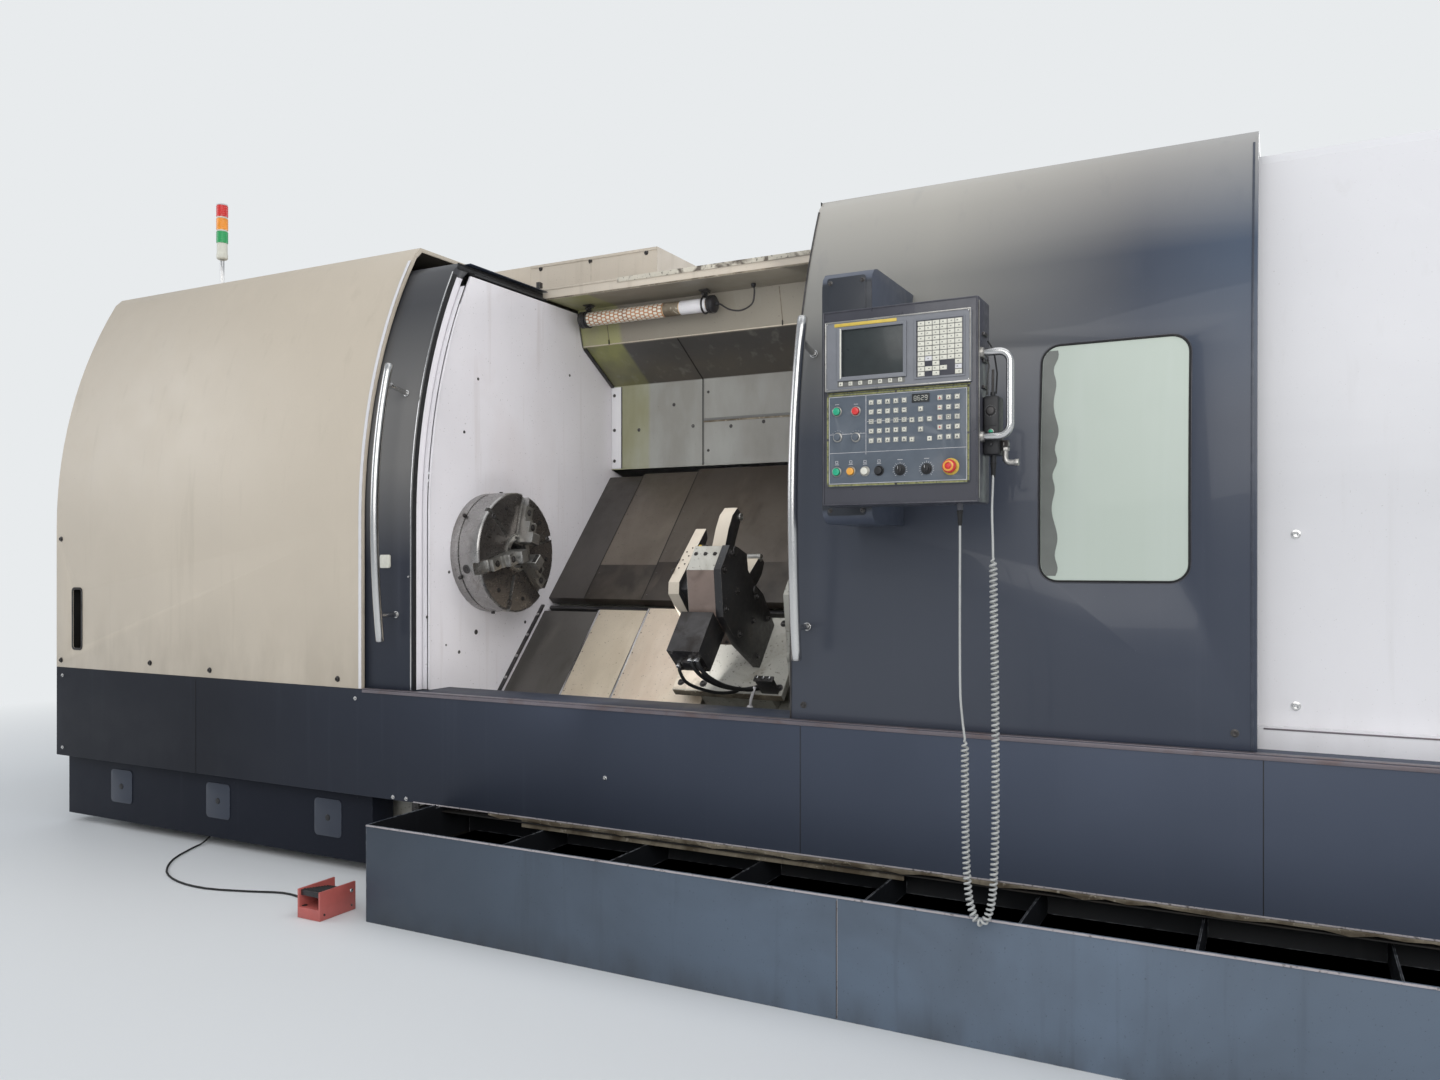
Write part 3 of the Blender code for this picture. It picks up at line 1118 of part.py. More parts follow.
def pendant():
    hinge = (PIVOT_X, front(-PIVOT_FRONT), BARREL_Z[0])
    y = front(-PENDANT_FRONT)
    back_y = y + PENDANT_THICKNESS
    box = block("pendant_box", (PENDANT_X[0], y, PENDANT_Z[0]), (PENDANT_X[1], back_y, PENDANT_Z[1]), GREY_PANEL)
    round_edges(box, PANEL_CORNER)
    join(box, rod("barrel", BARREL_RADIUS, *BARREL_Z, "Z", (PIVOT_X, front(-PIVOT_FRONT), 0), GREY_PANEL))
    join(box, block("barrel_neck", (PIVOT_X - BARREL_RADIUS / 2, back_y - SHEET, BARREL_Z[0]),
                    (PIVOT_X + BARREL_RADIUS / 2, front(-PIVOT_FRONT), BARREL_Z[1]), GREY_PANEL))
    join(box, rod("cord_gland", GLAND_RADIUS, -GLAND_LENGTH, PANEL_CORNER, "Z",
                  (CORD_X, front(CORD_DEPTH), PENDANT_Z[0]), BLACK))
    pivot(box, hinge)
    screen_y = y - FIT
    screen = prism("screen_unit", rounded(*SCREEN_X, *SCREEN_Z, PANEL_CORNER), "Y",
                   screen_y - SCREEN_THICKNESS, screen_y, GREY_PANEL)
    keys = []
    face = screen_y - SCREEN_THICKNESS
    for index in range(SOFT_KEY_COUNT):
        keys.append(key_box(SCREEN_X[0] + SOFT_KEY_START[0] + index * SOFT_KEY_PITCH,
                            SCREEN_Z[0] + SOFT_KEY_START[1], face))
    for column in range(LETTER_KEY_COLUMNS):
        for row in range(LETTER_KEY_ROWS):
            keys.append(key_box(SCREEN_X[0] + LETTER_KEY_START[0] + column * LETTER_KEY_PITCH[0],
                                SCREEN_Z[0] + LETTER_KEY_START[1] + row * LETTER_KEY_PITCH[1], face))
    join(screen, blocks("screen_keys", keys, IVORY))
    pivot(screen, hinge)
    panel = prism("operator_panel", rounded(*PANEL_X, *PANEL_Z, PANEL_CORNER), "Y",
                  screen_y - PANEL_THICKNESS, screen_y, GREY_PANEL)
    face = screen_y - PANEL_THICKNESS
    keys = []
    for x, z, columns, rows in KEY_BLOCK_STARTS:
        for column in range(columns):
            for row in range(rows):
                keys.append(key_box(PANEL_X[0] + x + column * KEY_PITCH,
                                    PANEL_Z[0] + z + row * KEY_ROW_PITCH, face))
    for spot in CURSOR_SPOTS:
        keys.append(key_box(PANEL_X[0] + spot[0], PANEL_Z[0] + spot[1], face))
    join(panel, blocks("operator_keys", keys, IVORY))
    for index, spot in enumerate(SWITCH_SPOTS):
        join(panel, rod(f"key_switch_{index}", SWITCH_RADIUS, -SHEET, SWITCH_HEIGHT, "-Y",
                        on_panel(spot, face), STEEL))
    colours = (GREEN, RED, GREEN, ORANGE, IVORY, BLACK)
    for (name, spot), colour in zip(BUTTON_SPOTS.items(), colours):
        centre = on_panel(spot, face)
        cut(panel, rod(name + "_hole", BUTTON_RADIUS + FIT, -RECESS, OVERRUN, "-Y", centre, colour))
        cap = rod(name, BUTTON_RADIUS, BUTTON_CLEARANCE - RECESS, BUTTON_HEIGHT, "-Y", centre, colour)
        pivot(cap, centre)
    for name, spot in DIAL_SPOTS.items():
        centre = on_panel(spot, face)
        profile = [
            (0, DIAL_HEIGHT), (DIAL_RADIUS / 2, DIAL_HEIGHT), (DIAL_RADIUS * 0.7, DIAL_HEIGHT / 2),
            (DIAL_RADIUS, DIAL_HEIGHT / 3), (DIAL_RADIUS, FIT), (0, FIT),
        ]
        pivot(turned(name, profile, "-Y", centre, BLACK, ROUND_STEPS), centre)
    centre = on_panel(STOP_SPOT, face)
    cut(panel, rod("stop_hole", STOP_STEM_RADIUS + FIT, -RECESS, OVERRUN, "-Y", centre, RED))
    profile = [
        (0, STOP_HEIGHT), (STOP_HEAD_RADIUS * 0.8, STOP_HEIGHT - SHEET / 2), (STOP_HEAD_RADIUS, STOP_HEIGHT - 2 * SHEET),
        (STOP_HEAD_RADIUS, STOP_GAP), (STOP_STEM_RADIUS, STOP_GAP),
        (STOP_STEM_RADIUS, BUTTON_CLEARANCE + FIT * 3 - RECESS), (0, BUTTON_CLEARANCE + FIT * 3 - RECESS),
    ]
    pivot(turned("emergency_stop", profile, "-Y", centre, RED, ROUND_STEPS), centre)
    pivot(panel, hinge)
    side = PENDANT_X[1] + FIT
    grip_y = front(-GRIP_FRONT)
    corner = GRIP_CORNER
    grip = [(side, grip_y, GRIP_Z[0])]
    for centre_z, start in ((GRIP_Z[0] + corner, -90), (GRIP_Z[1] - corner, 0)):
        for step in range(4):
            angle = math.radians(start + 30 * step)
            grip.append((GRIP_X - corner + corner * math.cos(angle), grip_y, centre_z + corner * math.sin(angle)))
    grip.append((side, grip_y, GRIP_Z[1]))
    pivot(tube("pendant_handle", grip, GRIP_RADIUS, STEEL, 2, as_mesh=True), hinge)
    pulse = block("pulse_generator", (side, front(-PULSE_FRONT[0]), PULSE_Z[0]),
                  (PULSE_X, front(-PULSE_FRONT[1]), PULSE_Z[1]), BLACK)
    round_edges(pulse, PANEL_CORNER)
    gland = ((side + PULSE_X) / 2, front(-(PULSE_FRONT[0] + PULSE_FRONT[1]) / 2), PULSE_Z[0])
    join(pulse, rod("pulse_gland", GLAND_RADIUS, -GLAND_LENGTH, PANEL_CORNER, "Z", gland, BLACK))
    pivot(pulse, hinge)
    cords(gland)


def key_box(x, z, face):
    half = KEY_SIZE / 2
    return ((x - half, face - KEY_HEIGHT, z - half), (x + half, face + KEY_HEIGHT, z + half))


def cords(pulse_gland):
    coil = [(x, front(depth), z) for x, depth, z in COIL_ROUTE]
    start = (CORD_X, front(CORD_DEPTH), PENDANT_Z[0] - GLAND_LENGTH - FIT)
    drop = [(x, front(depth), z) for x, depth, z in TAIL_ROUTE]
    join_z = coil[0][2] + FIT
    lead = [start, *drop, (coil[0][0], coil[0][1], join_z + STRAIGHT), (coil[0][0], coil[0][1], join_z)]
    tube("pendant_cord", smooth_route(lead, 8), CORD_RADIUS, BLACK)
    tube("curly_cord", smooth_route(coil, 5), COIL_RADIUS, BLACK)
    rise = [(x, front(depth), z) for x, depth, z in PULSE_ROUTE]
    end = (pulse_gland[0], pulse_gland[1], pulse_gland[2] - GLAND_LENGTH - FIT)
    top = (coil[-1][0], coil[-1][1], coil[-1][2] + FIT)
    tube("pulse_cord", smooth_route([top, *rise, end], 6), CORD_RADIUS, BLACK)


def work_lamp():
    low, high = LAMP_X
    centre = (0, front(LAMP_DEPTH), LAMP_Z)
    cap, body = LAMP_CAP_RADIUS, LAMP_RADIUS
    profile = [
        (0, high), (cap, high), (cap, high - LAMP_CAP_LENGTH), (body, high - LAMP_CAP_LENGTH),
        (body, low + LAMP_CAP_LENGTH), (cap, low + LAMP_CAP_LENGTH), (cap, low), (0, low),
    ]
    lamp = turned("work_lamp", profile, "X", centre, IVORY, ROUND_STEPS)
    ceiling = CEILING_Z - FIT
    for index, x in enumerate((low + LAMP_CAP_LENGTH, high - 2 * LAMP_CAP_LENGTH)):
        join(lamp, block(f"lamp_hanger_{index}", (x, centre[1] - HANGER_WIDTH / 2, LAMP_Z),
                         (x + HANGER_WIDTH, centre[1] + HANGER_WIDTH / 2, ceiling), BLACK))
    return lamp


def signal_tower():
    foot = HEAD_TOP_Z + FIT
    z = foot
    profile = [(0, z), (TOWER_FOOT_RADIUS, z), (TOWER_FOOT_RADIUS, z + TOWER_FOOT_HEIGHT),
               (TOWER_POLE_RADIUS, z + TOWER_FOOT_HEIGHT)]
    z += TOWER_POLE_HEIGHT
    profile += [(TOWER_POLE_RADIUS, z), (TOWER_RING_RADIUS, z), (TOWER_RING_RADIUS, z + TOWER_BASE_HEIGHT)]
    z += TOWER_BASE_HEIGHT
    for _ in range(TOWER_LENSES):
        profile += [(TOWER_LENS_RADIUS, z), (TOWER_LENS_RADIUS, z + TOWER_LENS_HEIGHT)]
        z += TOWER_LENS_HEIGHT
        profile += [(TOWER_RING_RADIUS, z), (TOWER_RING_RADIUS, z + TOWER_RING_HEIGHT)]
        z += TOWER_RING_HEIGHT
    profile.append((0, z))
    turned("signal_tower", profile[::-1], "Z", (TOWER_X, front(TOWER_DEPTH), 0), IVORY, ROUND_STEPS)


def coolant_tank():
    y = front(-TANK_FRONT)
    tank = block("coolant_tank", (TANK_LEFT_X, y, 0), (TANK_RIGHT_X, y + TANK_DEPTH, TANK_HEIGHT), TANK_BLUE)
    wall = TANK_WALL
    cut(tank, block("tank_hollow", (TANK_LEFT_X + wall, y + wall, wall),
                    (TANK_RIGHT_X - wall, y + TANK_DEPTH - wall, TANK_HEIGHT + OVERRUN), TANK_BLUE))
    cut(tank, block("tank_notch", (TANK_LEFT_X - OVERRUN, front(-2 * SKIRT_FRONT), TANK_REAR_HEIGHT),
                    (TANK_RIGHT_X + OVERRUN, y + TANK_DEPTH + OVERRUN, TANK_HEIGHT + OVERRUN), TANK_BLUE))
    near, far = y + wall / 2, y + TANK_DEPTH - wall / 2
    left, right = TANK_LEFT_X + wall + TANK_FLOW_GAP, TANK_RIGHT_X - wall - TANK_FLOW_GAP
    join(tank, block("tank_deck", (left, near, TANK_DECK_Z), (right, far, TANK_DECK_Z + wall), TANK_BLUE))
    pitch = (right - left) / (TANK_BAFFLES + 1)
    baffles = []
    for index in range(TANK_BAFFLES):
        x = left + (index + 1) * pitch
        baffles.append(((x, near, TANK_DECK_Z + wall / 2), (x + wall, far, TANK_BAFFLE_TOP)))
    join(tank, blocks("tank_baffles", baffles, TANK_BLUE))


def foot_switch():
    left, right = PEDAL_X
    near, far = (front(depth) for depth in PEDAL_DEPTH)
    base = block("foot_switch_base", (left, near, 0), (right, far, PEDAL_BASE_HEIGHT), RED)
    sides = [
        ((left, near, SHEET), (left + PEDAL_SIDE, far, PEDAL_SIDE_HEIGHT)),
        ((right - PEDAL_SIDE, near, SHEET), (right, far, PEDAL_SIDE_HEIGHT)),
    ]
    join(base, blocks("pedal_sides", sides, RED))
    middle = (near + far) / 2
    gland = (left - GLAND_LENGTH, middle, PEDAL_GLAND_Z)
    join(base, rod("pedal_gland", GLAND_RADIUS, 0, GLAND_LENGTH + PEDAL_SIDE, "X", gland, BLACK))
    pin = (left + PEDAL_SIDE + FIT, far - TREADLE_PIN_INSET, TREADLE_PIN_Z)
    reach = near - pin[1] + PEDAL_SIDE
    t = TREADLE_THICKNESS
    outline = [
        (pin[1], pin[2] - t / 2), (pin[1] + TREADLE_PIN_RADIUS, pin[2]), (pin[1], pin[2] + t / 2),
        (pin[1] + reach, pin[2] + t / 2 + TREADLE_RISE), (pin[1] + reach, pin[2] - t / 2 + TREADLE_RISE / 2),
    ]
    treadle = prism("foot_treadle", outline, "X", pin[0], right - PEDAL_SIDE - FIT, IVORY)
    pivot(treadle, pin)
    route = [(x, front(depth), z) for x, depth, z in FOOT_ROUTE]
    start = (CABLE_GLAND_X, front(BED_FRONT) - CABLE_GLAND_LENGTH - FIT, BED_BASE_Z + 2 * CABLE_GLAND_RADIUS)
    end = (gland[0] - FIT, gland[1], gland[2])
    out = (start[0], start[1] - STRAIGHT, start[2])
    into = (end[0] - STRAIGHT, end[1], end[2])
    tube("foot_switch_cord", [start, *smooth_route([out, *route, into], 5), end], FOOT_CORD_RADIUS, BLACK)


def build():
    clear_scene()
    bed_casting()
    headstock()
    headstock_cover()
    right_cover()
    roof_cover()
    rear_cover()
    skirts()
    bulkhead()
    back_panel()
    spindle()
    chuck()
    way_covers()
    carriage()
    tailstock()
    steady()
    doors()
    pendant_bracket()
    pendant()
    work_lamp()
    signal_tower()
    coolant_tank()
    foot_switch()


build()
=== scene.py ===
import json
import math

import bmesh
import bpy
from mathutils import Matrix, Vector

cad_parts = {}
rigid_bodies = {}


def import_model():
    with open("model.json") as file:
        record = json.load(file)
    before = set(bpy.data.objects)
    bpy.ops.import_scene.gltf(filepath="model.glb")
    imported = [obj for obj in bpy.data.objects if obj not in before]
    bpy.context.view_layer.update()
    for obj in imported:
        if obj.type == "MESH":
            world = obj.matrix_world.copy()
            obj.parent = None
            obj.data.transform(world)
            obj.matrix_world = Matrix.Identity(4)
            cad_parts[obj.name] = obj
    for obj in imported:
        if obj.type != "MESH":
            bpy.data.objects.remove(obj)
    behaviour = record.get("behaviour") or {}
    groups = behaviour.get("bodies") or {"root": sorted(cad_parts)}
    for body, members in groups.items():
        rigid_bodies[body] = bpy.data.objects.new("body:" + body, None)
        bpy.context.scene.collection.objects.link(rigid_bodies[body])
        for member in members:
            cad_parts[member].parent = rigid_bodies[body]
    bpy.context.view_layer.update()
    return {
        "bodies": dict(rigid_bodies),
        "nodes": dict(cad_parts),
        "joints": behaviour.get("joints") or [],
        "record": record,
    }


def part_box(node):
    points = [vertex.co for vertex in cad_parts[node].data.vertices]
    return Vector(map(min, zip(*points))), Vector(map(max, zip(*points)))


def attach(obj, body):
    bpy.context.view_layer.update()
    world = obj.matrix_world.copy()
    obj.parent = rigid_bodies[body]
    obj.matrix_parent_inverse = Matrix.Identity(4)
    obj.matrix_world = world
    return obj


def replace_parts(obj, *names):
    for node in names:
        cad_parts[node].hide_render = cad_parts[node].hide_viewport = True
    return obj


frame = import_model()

# Places shared with the solids, in metres
DOOR_Y = -0.708
AXIS_Y = -0.248
AXIS_Z = 1.346
REAR_Y = 1.242
KNEE_Z = 1.475
ARC = 2.40
SLANT = math.radians(49)
BULKHEAD_X = -0.994
SKIRT_TOP = 0.78
HEAD_RIGHT_X = -1.264
LEFT_X, RIGHT_X = -3.35, 3.35
HEAD_TOP = 2.69
DOOR_TOP = 2.585
ROOF_TOP = 2.61
RIGHT_TOP = 2.54
LEFT_DOOR_X = (-1.769, -1.019)
RIGHT_DOOR_X = (0.651, 2.045)


def front(depth):
    """y at a depth behind the doors' front."""
    return DOOR_Y + depth


def slant(along, out):
    """y and z of a place on the bed's slope, from the spindle's axis."""
    return (AXIS_Y - along * math.cos(SLANT) - out * math.sin(SLANT),
            AXIS_Z - along * math.sin(SLANT) + out * math.cos(SLANT))


def bowed(z, out=0.0):
    """y of the bowed front at a height, pushed out from the surface."""
    radius = ARC + out
    return DOOR_Y + ARC - math.sqrt(radius**2 - max(0.0, z - KNEE_Z)**2)


def placed(name, data):
    """An object that shows this data, in the scene."""
    thing = bpy.data.objects.new(name, data)
    bpy.context.scene.collection.objects.link(thing)
    return thing


# Camera
eye = placed("camera", bpy.data.cameras.new("camera"))
eye.location = (2.106, -4.008, 1.3)
eye.rotation_euler = (math.radians(90), 0, math.radians(27.5))
eye.data.sensor_width = 36
eye.data.lens = 27
eye.data.shift_y = 0.016
eye.data.clip_end = 100
bpy.context.scene.camera = eye
bpy.context.scene.view_settings.view_transform = "Standard"


# Materials
def linear(*levels):
    """Screen levels from 0 to 255 as linear light."""
    return tuple((c / 255 / 12.92) if c <= 10 else ((c / 255 + 0.055) / 1.055)**2.4 for c in levels)


def node(tree, kind, inputs=None, **settings):
    """A new shader node; an input is a value or the socket that feeds it."""
    made = tree.nodes.new(kind)
    for key, value in settings.items():
        setattr(made, key, value)
    for key, value in (inputs or {}).items():
        if isinstance(value, bpy.types.NodeSocket):
            tree.links.new(value, made.inputs[key])
        else:
            made.inputs[key].default_value = value
    return made


def noise(tree, place, scale, detail=3.0, stretch=None, rough=0.55, warp=0.0):
    if stretch:
        place = node(tree, "ShaderNodeMapping", {"Vector": place, "Scale": stretch}).outputs[0]
    return node(tree, "ShaderNodeTexNoise", {"Vector": place, "Scale": scale, "Detail": detail,
                                             "Roughness": rough, "Distortion": warp}).outputs["Fac"]


def span(tree, value, low, high, to_low=0.0, to_high=1.0):
    return node(tree, "ShaderNodeMapRange", {
        "Value": value, "From Min": low, "From Max": high, "To Min": to_low, "To Max": to_high}).outputs[0]


def times(tree, a, b, operation="MULTIPLY"):
    return node(tree, "ShaderNodeMath", {0: a, 1: b}, operation=operation, use_clamp=True).outputs[0]


def blend(tree, share, a, b):
    mixer = node(tree, "ShaderNodeMix", data_type="RGBA")
    for socket, value in ((0, share), (6, a), (7, b)):
        if isinstance(value, bpy.types.NodeSocket):
            tree.links.new(value, mixer.inputs[socket])
        else:
            mixer.inputs[socket].default_value = value if socket == 0 else (*value, 1)
    return mixer.outputs[2]


MATERIALS = {}


def finish(name, colour, rough=0.45, metal=0.0, vary=0.10, cloud=1.6, streaks=None, specks=None, grime=None,
           worn=None, grain=(900, 0.02), brushed=None, smudge=0.0, coat=0.0, blotch=None, patina=None,
           emission=0.0, wave=None, zones=(), bands=(), shine=0.5, mottle=0.07):
    """A worn industrial finish: clouded colour, streaks, specks, edge wear, grime and a fine bump."""
    made = bpy.data.materials.new(name)
    made.use_nodes = True
    tree = made.node_tree
    shader = tree.nodes["Principled BSDF"]
    place = node(tree, "ShaderNodeTexCoord").outputs["Object"]
    base = linear(*colour)
    dark = tuple(c * (1 - vary) for c in base)
    light = tuple(min(1.0, c * (1 + vary)) for c in base)
    clouds = span(tree, noise(tree, place, cloud, 4), 0.3, 0.7)
    paint = blend(tree, clouds, dark, light)
    roughness = span(tree, noise(tree, place, cloud * 7, 3), 0.3, 0.7, rough - mottle, rough + mottle)
    if blotch:
        tint, scale, low, high, share = blotch
        patch = span(tree, noise(tree, place, scale, 5, warp=0.6), low, high, 0.0, share)
        paint = blend(tree, patch, paint, linear(*tint))
    if zones or bands:
        world_place = node(tree, "ShaderNodeNewGeometry").outputs["Position"]
        split = node(tree, "ShaderNodeSeparateXYZ", {0: world_place}).outputs
    # Zones blend towards a colour along one world axis; most of them are painted light and shade.
    for tint, axis, start, end, share in zones:
        paint = blend(tree, span(tree, split[axis], start, end, 0.0, share), paint, linear(*tint))
    for tint, axis, centre, half, soft, share in bands:
        apart = node(tree, "ShaderNodeMath", {0: times(tree, split[axis], centre, "SUBTRACT")},
                     operation="ABSOLUTE").outputs[0]
        strip = span(tree, apart, half + soft, half, 0.0, share)
        strip = times(tree, strip, span(tree, noise(tree, place, 5, 4, (1, 1, 0.4)), 0.30, 0.60, 0.35, 1.0))
        paint = blend(tree, strip, paint, linear(*tint))
    if patina:
        for tint, scale, stretch, low, high, share in patina:
            patch = span(tree, noise(tree, place, scale, 4, stretch, 0.6, 0.4), low, high, 0.0, share)
            paint = blend(tree, patch, paint, linear(*tint))
    if streaks:
        tint, scale, stretch, low, high, share = streaks
        line = span(tree, noise(tree, place, scale, 3, stretch), low, high, 0.0, share)
        paint = blend(tree, line, paint, linear(*tint))
        roughness = times(tree, roughness, span(tree, line, 0, 1, 0.0, 0.12), "ADD")
    if specks:
        tint, scale, low, high, share = specks
        spot = span(tree, noise(tree, place, scale, 2), low, high, 0.0, share)
        paint = blend(tree, spot, paint, linear(*tint))
    if grime:
        for tint, start, end, share in grime:
            height = node(tree, "ShaderNodeSeparateXYZ", {0: place}).outputs["Z"]
            band = span(tree, height, start, end, share, 0.0)
            broken = times(tree, band, span(tree, noise(tree, place, 9, 5, (1, 1, 0.35)), 0.35, 0.62))
            paint = blend(tree, broken, paint, linear(*tint))
    if smudge:
        haze = span(tree, noise(tree, place, 5, 6, (1, 1, 0.5), 0.7, 1.2), 0.52, 0.72, 0.0, smudge)
        paint = blend(tree, haze, paint, tuple(min(1.0, c * 1.5 + 0.02) for c in base))
        roughness = times(tree, roughness, haze, "ADD")
    if worn:
        tint, radius, share = worn
        bevel = node(tree, "ShaderNodeBevel", {"Radius": radius}, samples=4).outputs[0]
        normal = node(tree, "ShaderNodeNewGeometry").outputs["Normal"]
        dot = node(tree, "ShaderNodeVectorMath", {0: bevel, 1: normal},
                   operation="DOT_PRODUCT").outputs["Value"]
        edge = span(tree, dot, 0.999, 0.86)
        edge = times(tree, edge, span(tree, noise(tree, place, 38, 4), 0.42, 0.62, 0.0, share))
        paint = blend(tree, edge, paint, linear(*tint))
    tree.links.new(paint, shader.inputs["Base Color"])
    scale, strength = grain
    height = noise(tree, place, scale, 2)
    if brushed:
        height = noise(tree, place, brushed[0], 2, brushed[1])
        roughness = times(tree, roughness, span(tree, height, 0.3, 0.7, -0.06, 0.06), "ADD")
        strength = brushed[2]
    bump = node(tree, "ShaderNodeBump", {"Height": height, "Strength": strength, "Distance": 0.002})
    if wave:
        dents = noise(tree, place, wave[0], 2)
        bump = node(tree, "ShaderNodeBump", {
            "Height": dents, "Strength": wave[1], "Distance": 0.02, "Normal": bump.outputs[0]})
    tree.links.new(bump.outputs[0], shader.inputs["Normal"])
    tree.links.new(roughness, shader.inputs["Roughness"])
    shader.inputs["Metallic"].default_value = metal
    shader.inputs["Coat Weight"].default_value = coat
    shader.inputs["Specular IOR Level"].default_value = shine
    if emission:
        tree.links.new(paint, shader.inputs["Emission Color"])
        shader.inputs["Emission Strength"].default_value = emission
    made.diffuse_color = (*base, 1)
    MATERIALS[name] = made
    return made


DIRT = (60, 54, 46)
# Its zone darkens the left housing towards its top: painted shade.
CREAM = finish("cream_enamel", (197, 186, 170), 0.42, vary=0.05, cloud=0.9, wave=(2.2, 0.06),
               zones=[((178, 167, 151), 2, 1.75, 2.60, 0.55)],
               streaks=((150, 140, 122), 3.0, (6, 6, 0.35), 0.60, 0.80, 0.18), smudge=0.05,
               specks=((96, 84, 70), 210, 0.70, 0.76, 0.35), worn=((120, 112, 98), 0.004, 0.5),
               grime=[((120, 108, 90), 0.78, 1.15, 0.22)])
# Its zone lightens the right housing towards its foot: painted light.
WHITE = finish("white_enamel", (212, 211, 214), 0.42, vary=0.035, cloud=0.8, wave=(1.8, 0.05),
               streaks=((176, 172, 168), 3.0, (7, 7, 0.3), 0.62, 0.82, 0.16), smudge=0.04,
               specks=((110, 100, 90), 190, 0.71, 0.76, 0.30), worn=((150, 146, 140), 0.004, 0.5),
               zones=[((232, 230, 233), 2, 1.5, 0.85, 0.85)], grime=[((150, 144, 134), 0.78, 1.0, 0.12)])
ROOF_CREAM = finish("roof_enamel", (192, 182, 168), 0.46, vary=0.07, cloud=2.0, wave=(2.0, 0.05),
                    streaks=((140, 128, 112), 3.0, (6, 6, 0.4), 0.56, 0.78, 0.30),
                    specks=((96, 84, 70), 150, 0.68, 0.75, 0.45), worn=((120, 112, 98), 0.004, 0.5))
WALL = finish("bulkhead_enamel", (214, 211, 215), 0.36, vary=0.04, cloud=2.4, coat=0.15,
              streaks=((156, 140, 132), 2.5, (9, 9, 0.5), 0.60, 0.78, 0.22),
              specks=((70, 60, 55), 120, 0.70, 0.74, 0.55),
              patina=[((176, 156, 150), 1.3, (1, 1, 0.6), 0.50, 0.72, 0.35)])


def navy(name, colour, zones=(), shine=0.4, coat=0.15, rough=0.34):
    """The blue-grey enamel, with large zones of painted light and shade over one panel."""
    return finish(name, colour, rough, vary=0.10, cloud=1.1, coat=coat, wave=(2.6, 0.05), zones=zones,
                  shine=shine, streaks=((88, 92, 104), 2.2, (8, 8, 0.25), 0.60, 0.85, 0.16), mottle=0.03,
                  specks=((150, 150, 152), 260, 0.73, 0.78, 0.35), worn=((116, 120, 130), 0.003, 0.55))


NAVY = navy("blue_grey_enamel", (50, 56, 69))
# Painted light and shade on the left door: a light band from 1.3 m up, darker towards its top and its foot.
NAVY_LEFT = navy("left_door_enamel", (52, 55, 64), [((126, 124, 121), 2, 1.30, 1.70, 0.7),
                                                    ((40, 42, 48), 2, 1.95, 2.40, 0.8),
                                                    ((40, 45, 56), 2, 1.15, 0.85, 0.8)], 0.25, 0.05)
# Painted reflection and light on the right door: lighter towards its left edge, bluer towards its right end,
# lighter at its top; below 1.7 m it is held near its own colour.
NAVY_RIGHT = navy("right_door_enamel", (52, 58, 72), [((150, 147, 139), 0, 1.75, 1.10, 0.72),
                                                      ((66, 80, 100), 0, 1.66, 2.0, 0.75),
                                                      ((54, 60, 74), 2, 2.15, 1.70, 0.92),
                                                      ((196, 190, 180), 2, 2.22, 2.55, 0.5)])
# Its zone darkens the skirt towards its left end: painted shade.
NAVY_SKIRT = navy("skirt_enamel", (72, 79, 94), [((20, 22, 30), 0, 1.6, -2.2, 0.95)], 0.15, 0.0, 0.46)
NAVY_LOW = navy("lower_skirt_enamel", (32, 35, 44), (), 0.10, 0.0, 0.50)
# Painted shade on the tank: darker towards its left end, near-black behind its front face where its inside
# shows, and darker end faces.
TANK = finish("tank_enamel", (98, 111, 127), 0.42, vary=0.08, cloud=1.8, coat=0.0, wave=(3.0, 0.08),
              shine=0.25, zones=[((30, 34, 42), 0, 1.3, -1.6, 0.95),
                                 ((22, 22, 24), 1, -1.1235, -1.1215, 0.96),
                                 ((60, 66, 76), 0, -0.8345, -0.8375, 1.0),
                                 ((88, 100, 115), 0, 3.2945, 3.2975, 1.0)],
              blotch=((66, 68, 72), 1.1, 0.50, 0.75, 0.5), streaks=((50, 52, 54), 2.6, (7, 7, 0.4), 0.60,
                                                                    0.80, 0.30),
              specks=((40, 36, 32), 170, 0.68, 0.74, 0.5), worn=((176, 180, 186), 0.004, 0.75),
              grime=[((58, 56, 54), 0.0, 0.10, 0.4)])
RIM = finish("worn_rim", (168, 162, 164), 0.45, vary=0.12, cloud=9, grain=(200, 0.1),
             specks=((60, 54, 50), 90, 0.60, 0.68, 0.7))
CASTING = finish("casting_enamel", (176, 174, 166), 0.58, vary=0.10, cloud=6, grain=(160, 0.25),
                 specks=(DIRT, 90, 0.62, 0.70, 0.55), worn=((112, 106, 96), 0.005, 0.7),
                 blotch=((112, 104, 88), 7, 0.52, 0.70, 0.5))


def cover(name, colour, dull, light, share, shade=(), seam=()):
    """A way cover's sheet, with its own share of oil stains and worn places."""
    return finish(name, colour, 0.40, 0.35, vary=0.12, cloud=3.0, brushed=(120, (1.2, 10, 10), 0.03),
                  patina=[(dull, 1.6, (2.2, 1, 1), 0.44, 0.68, share),
                          (light, 2.8, (1.4, 0.5, 0.5), 0.54, 0.74, 0.6),
                          ((58, 50, 44), 5.5, (1, 0.4, 0.4), 0.60, 0.76, 0.6)],
                  specks=((48, 42, 36), 120, 0.66, 0.72, 0.5), zones=shade, bands=seam)


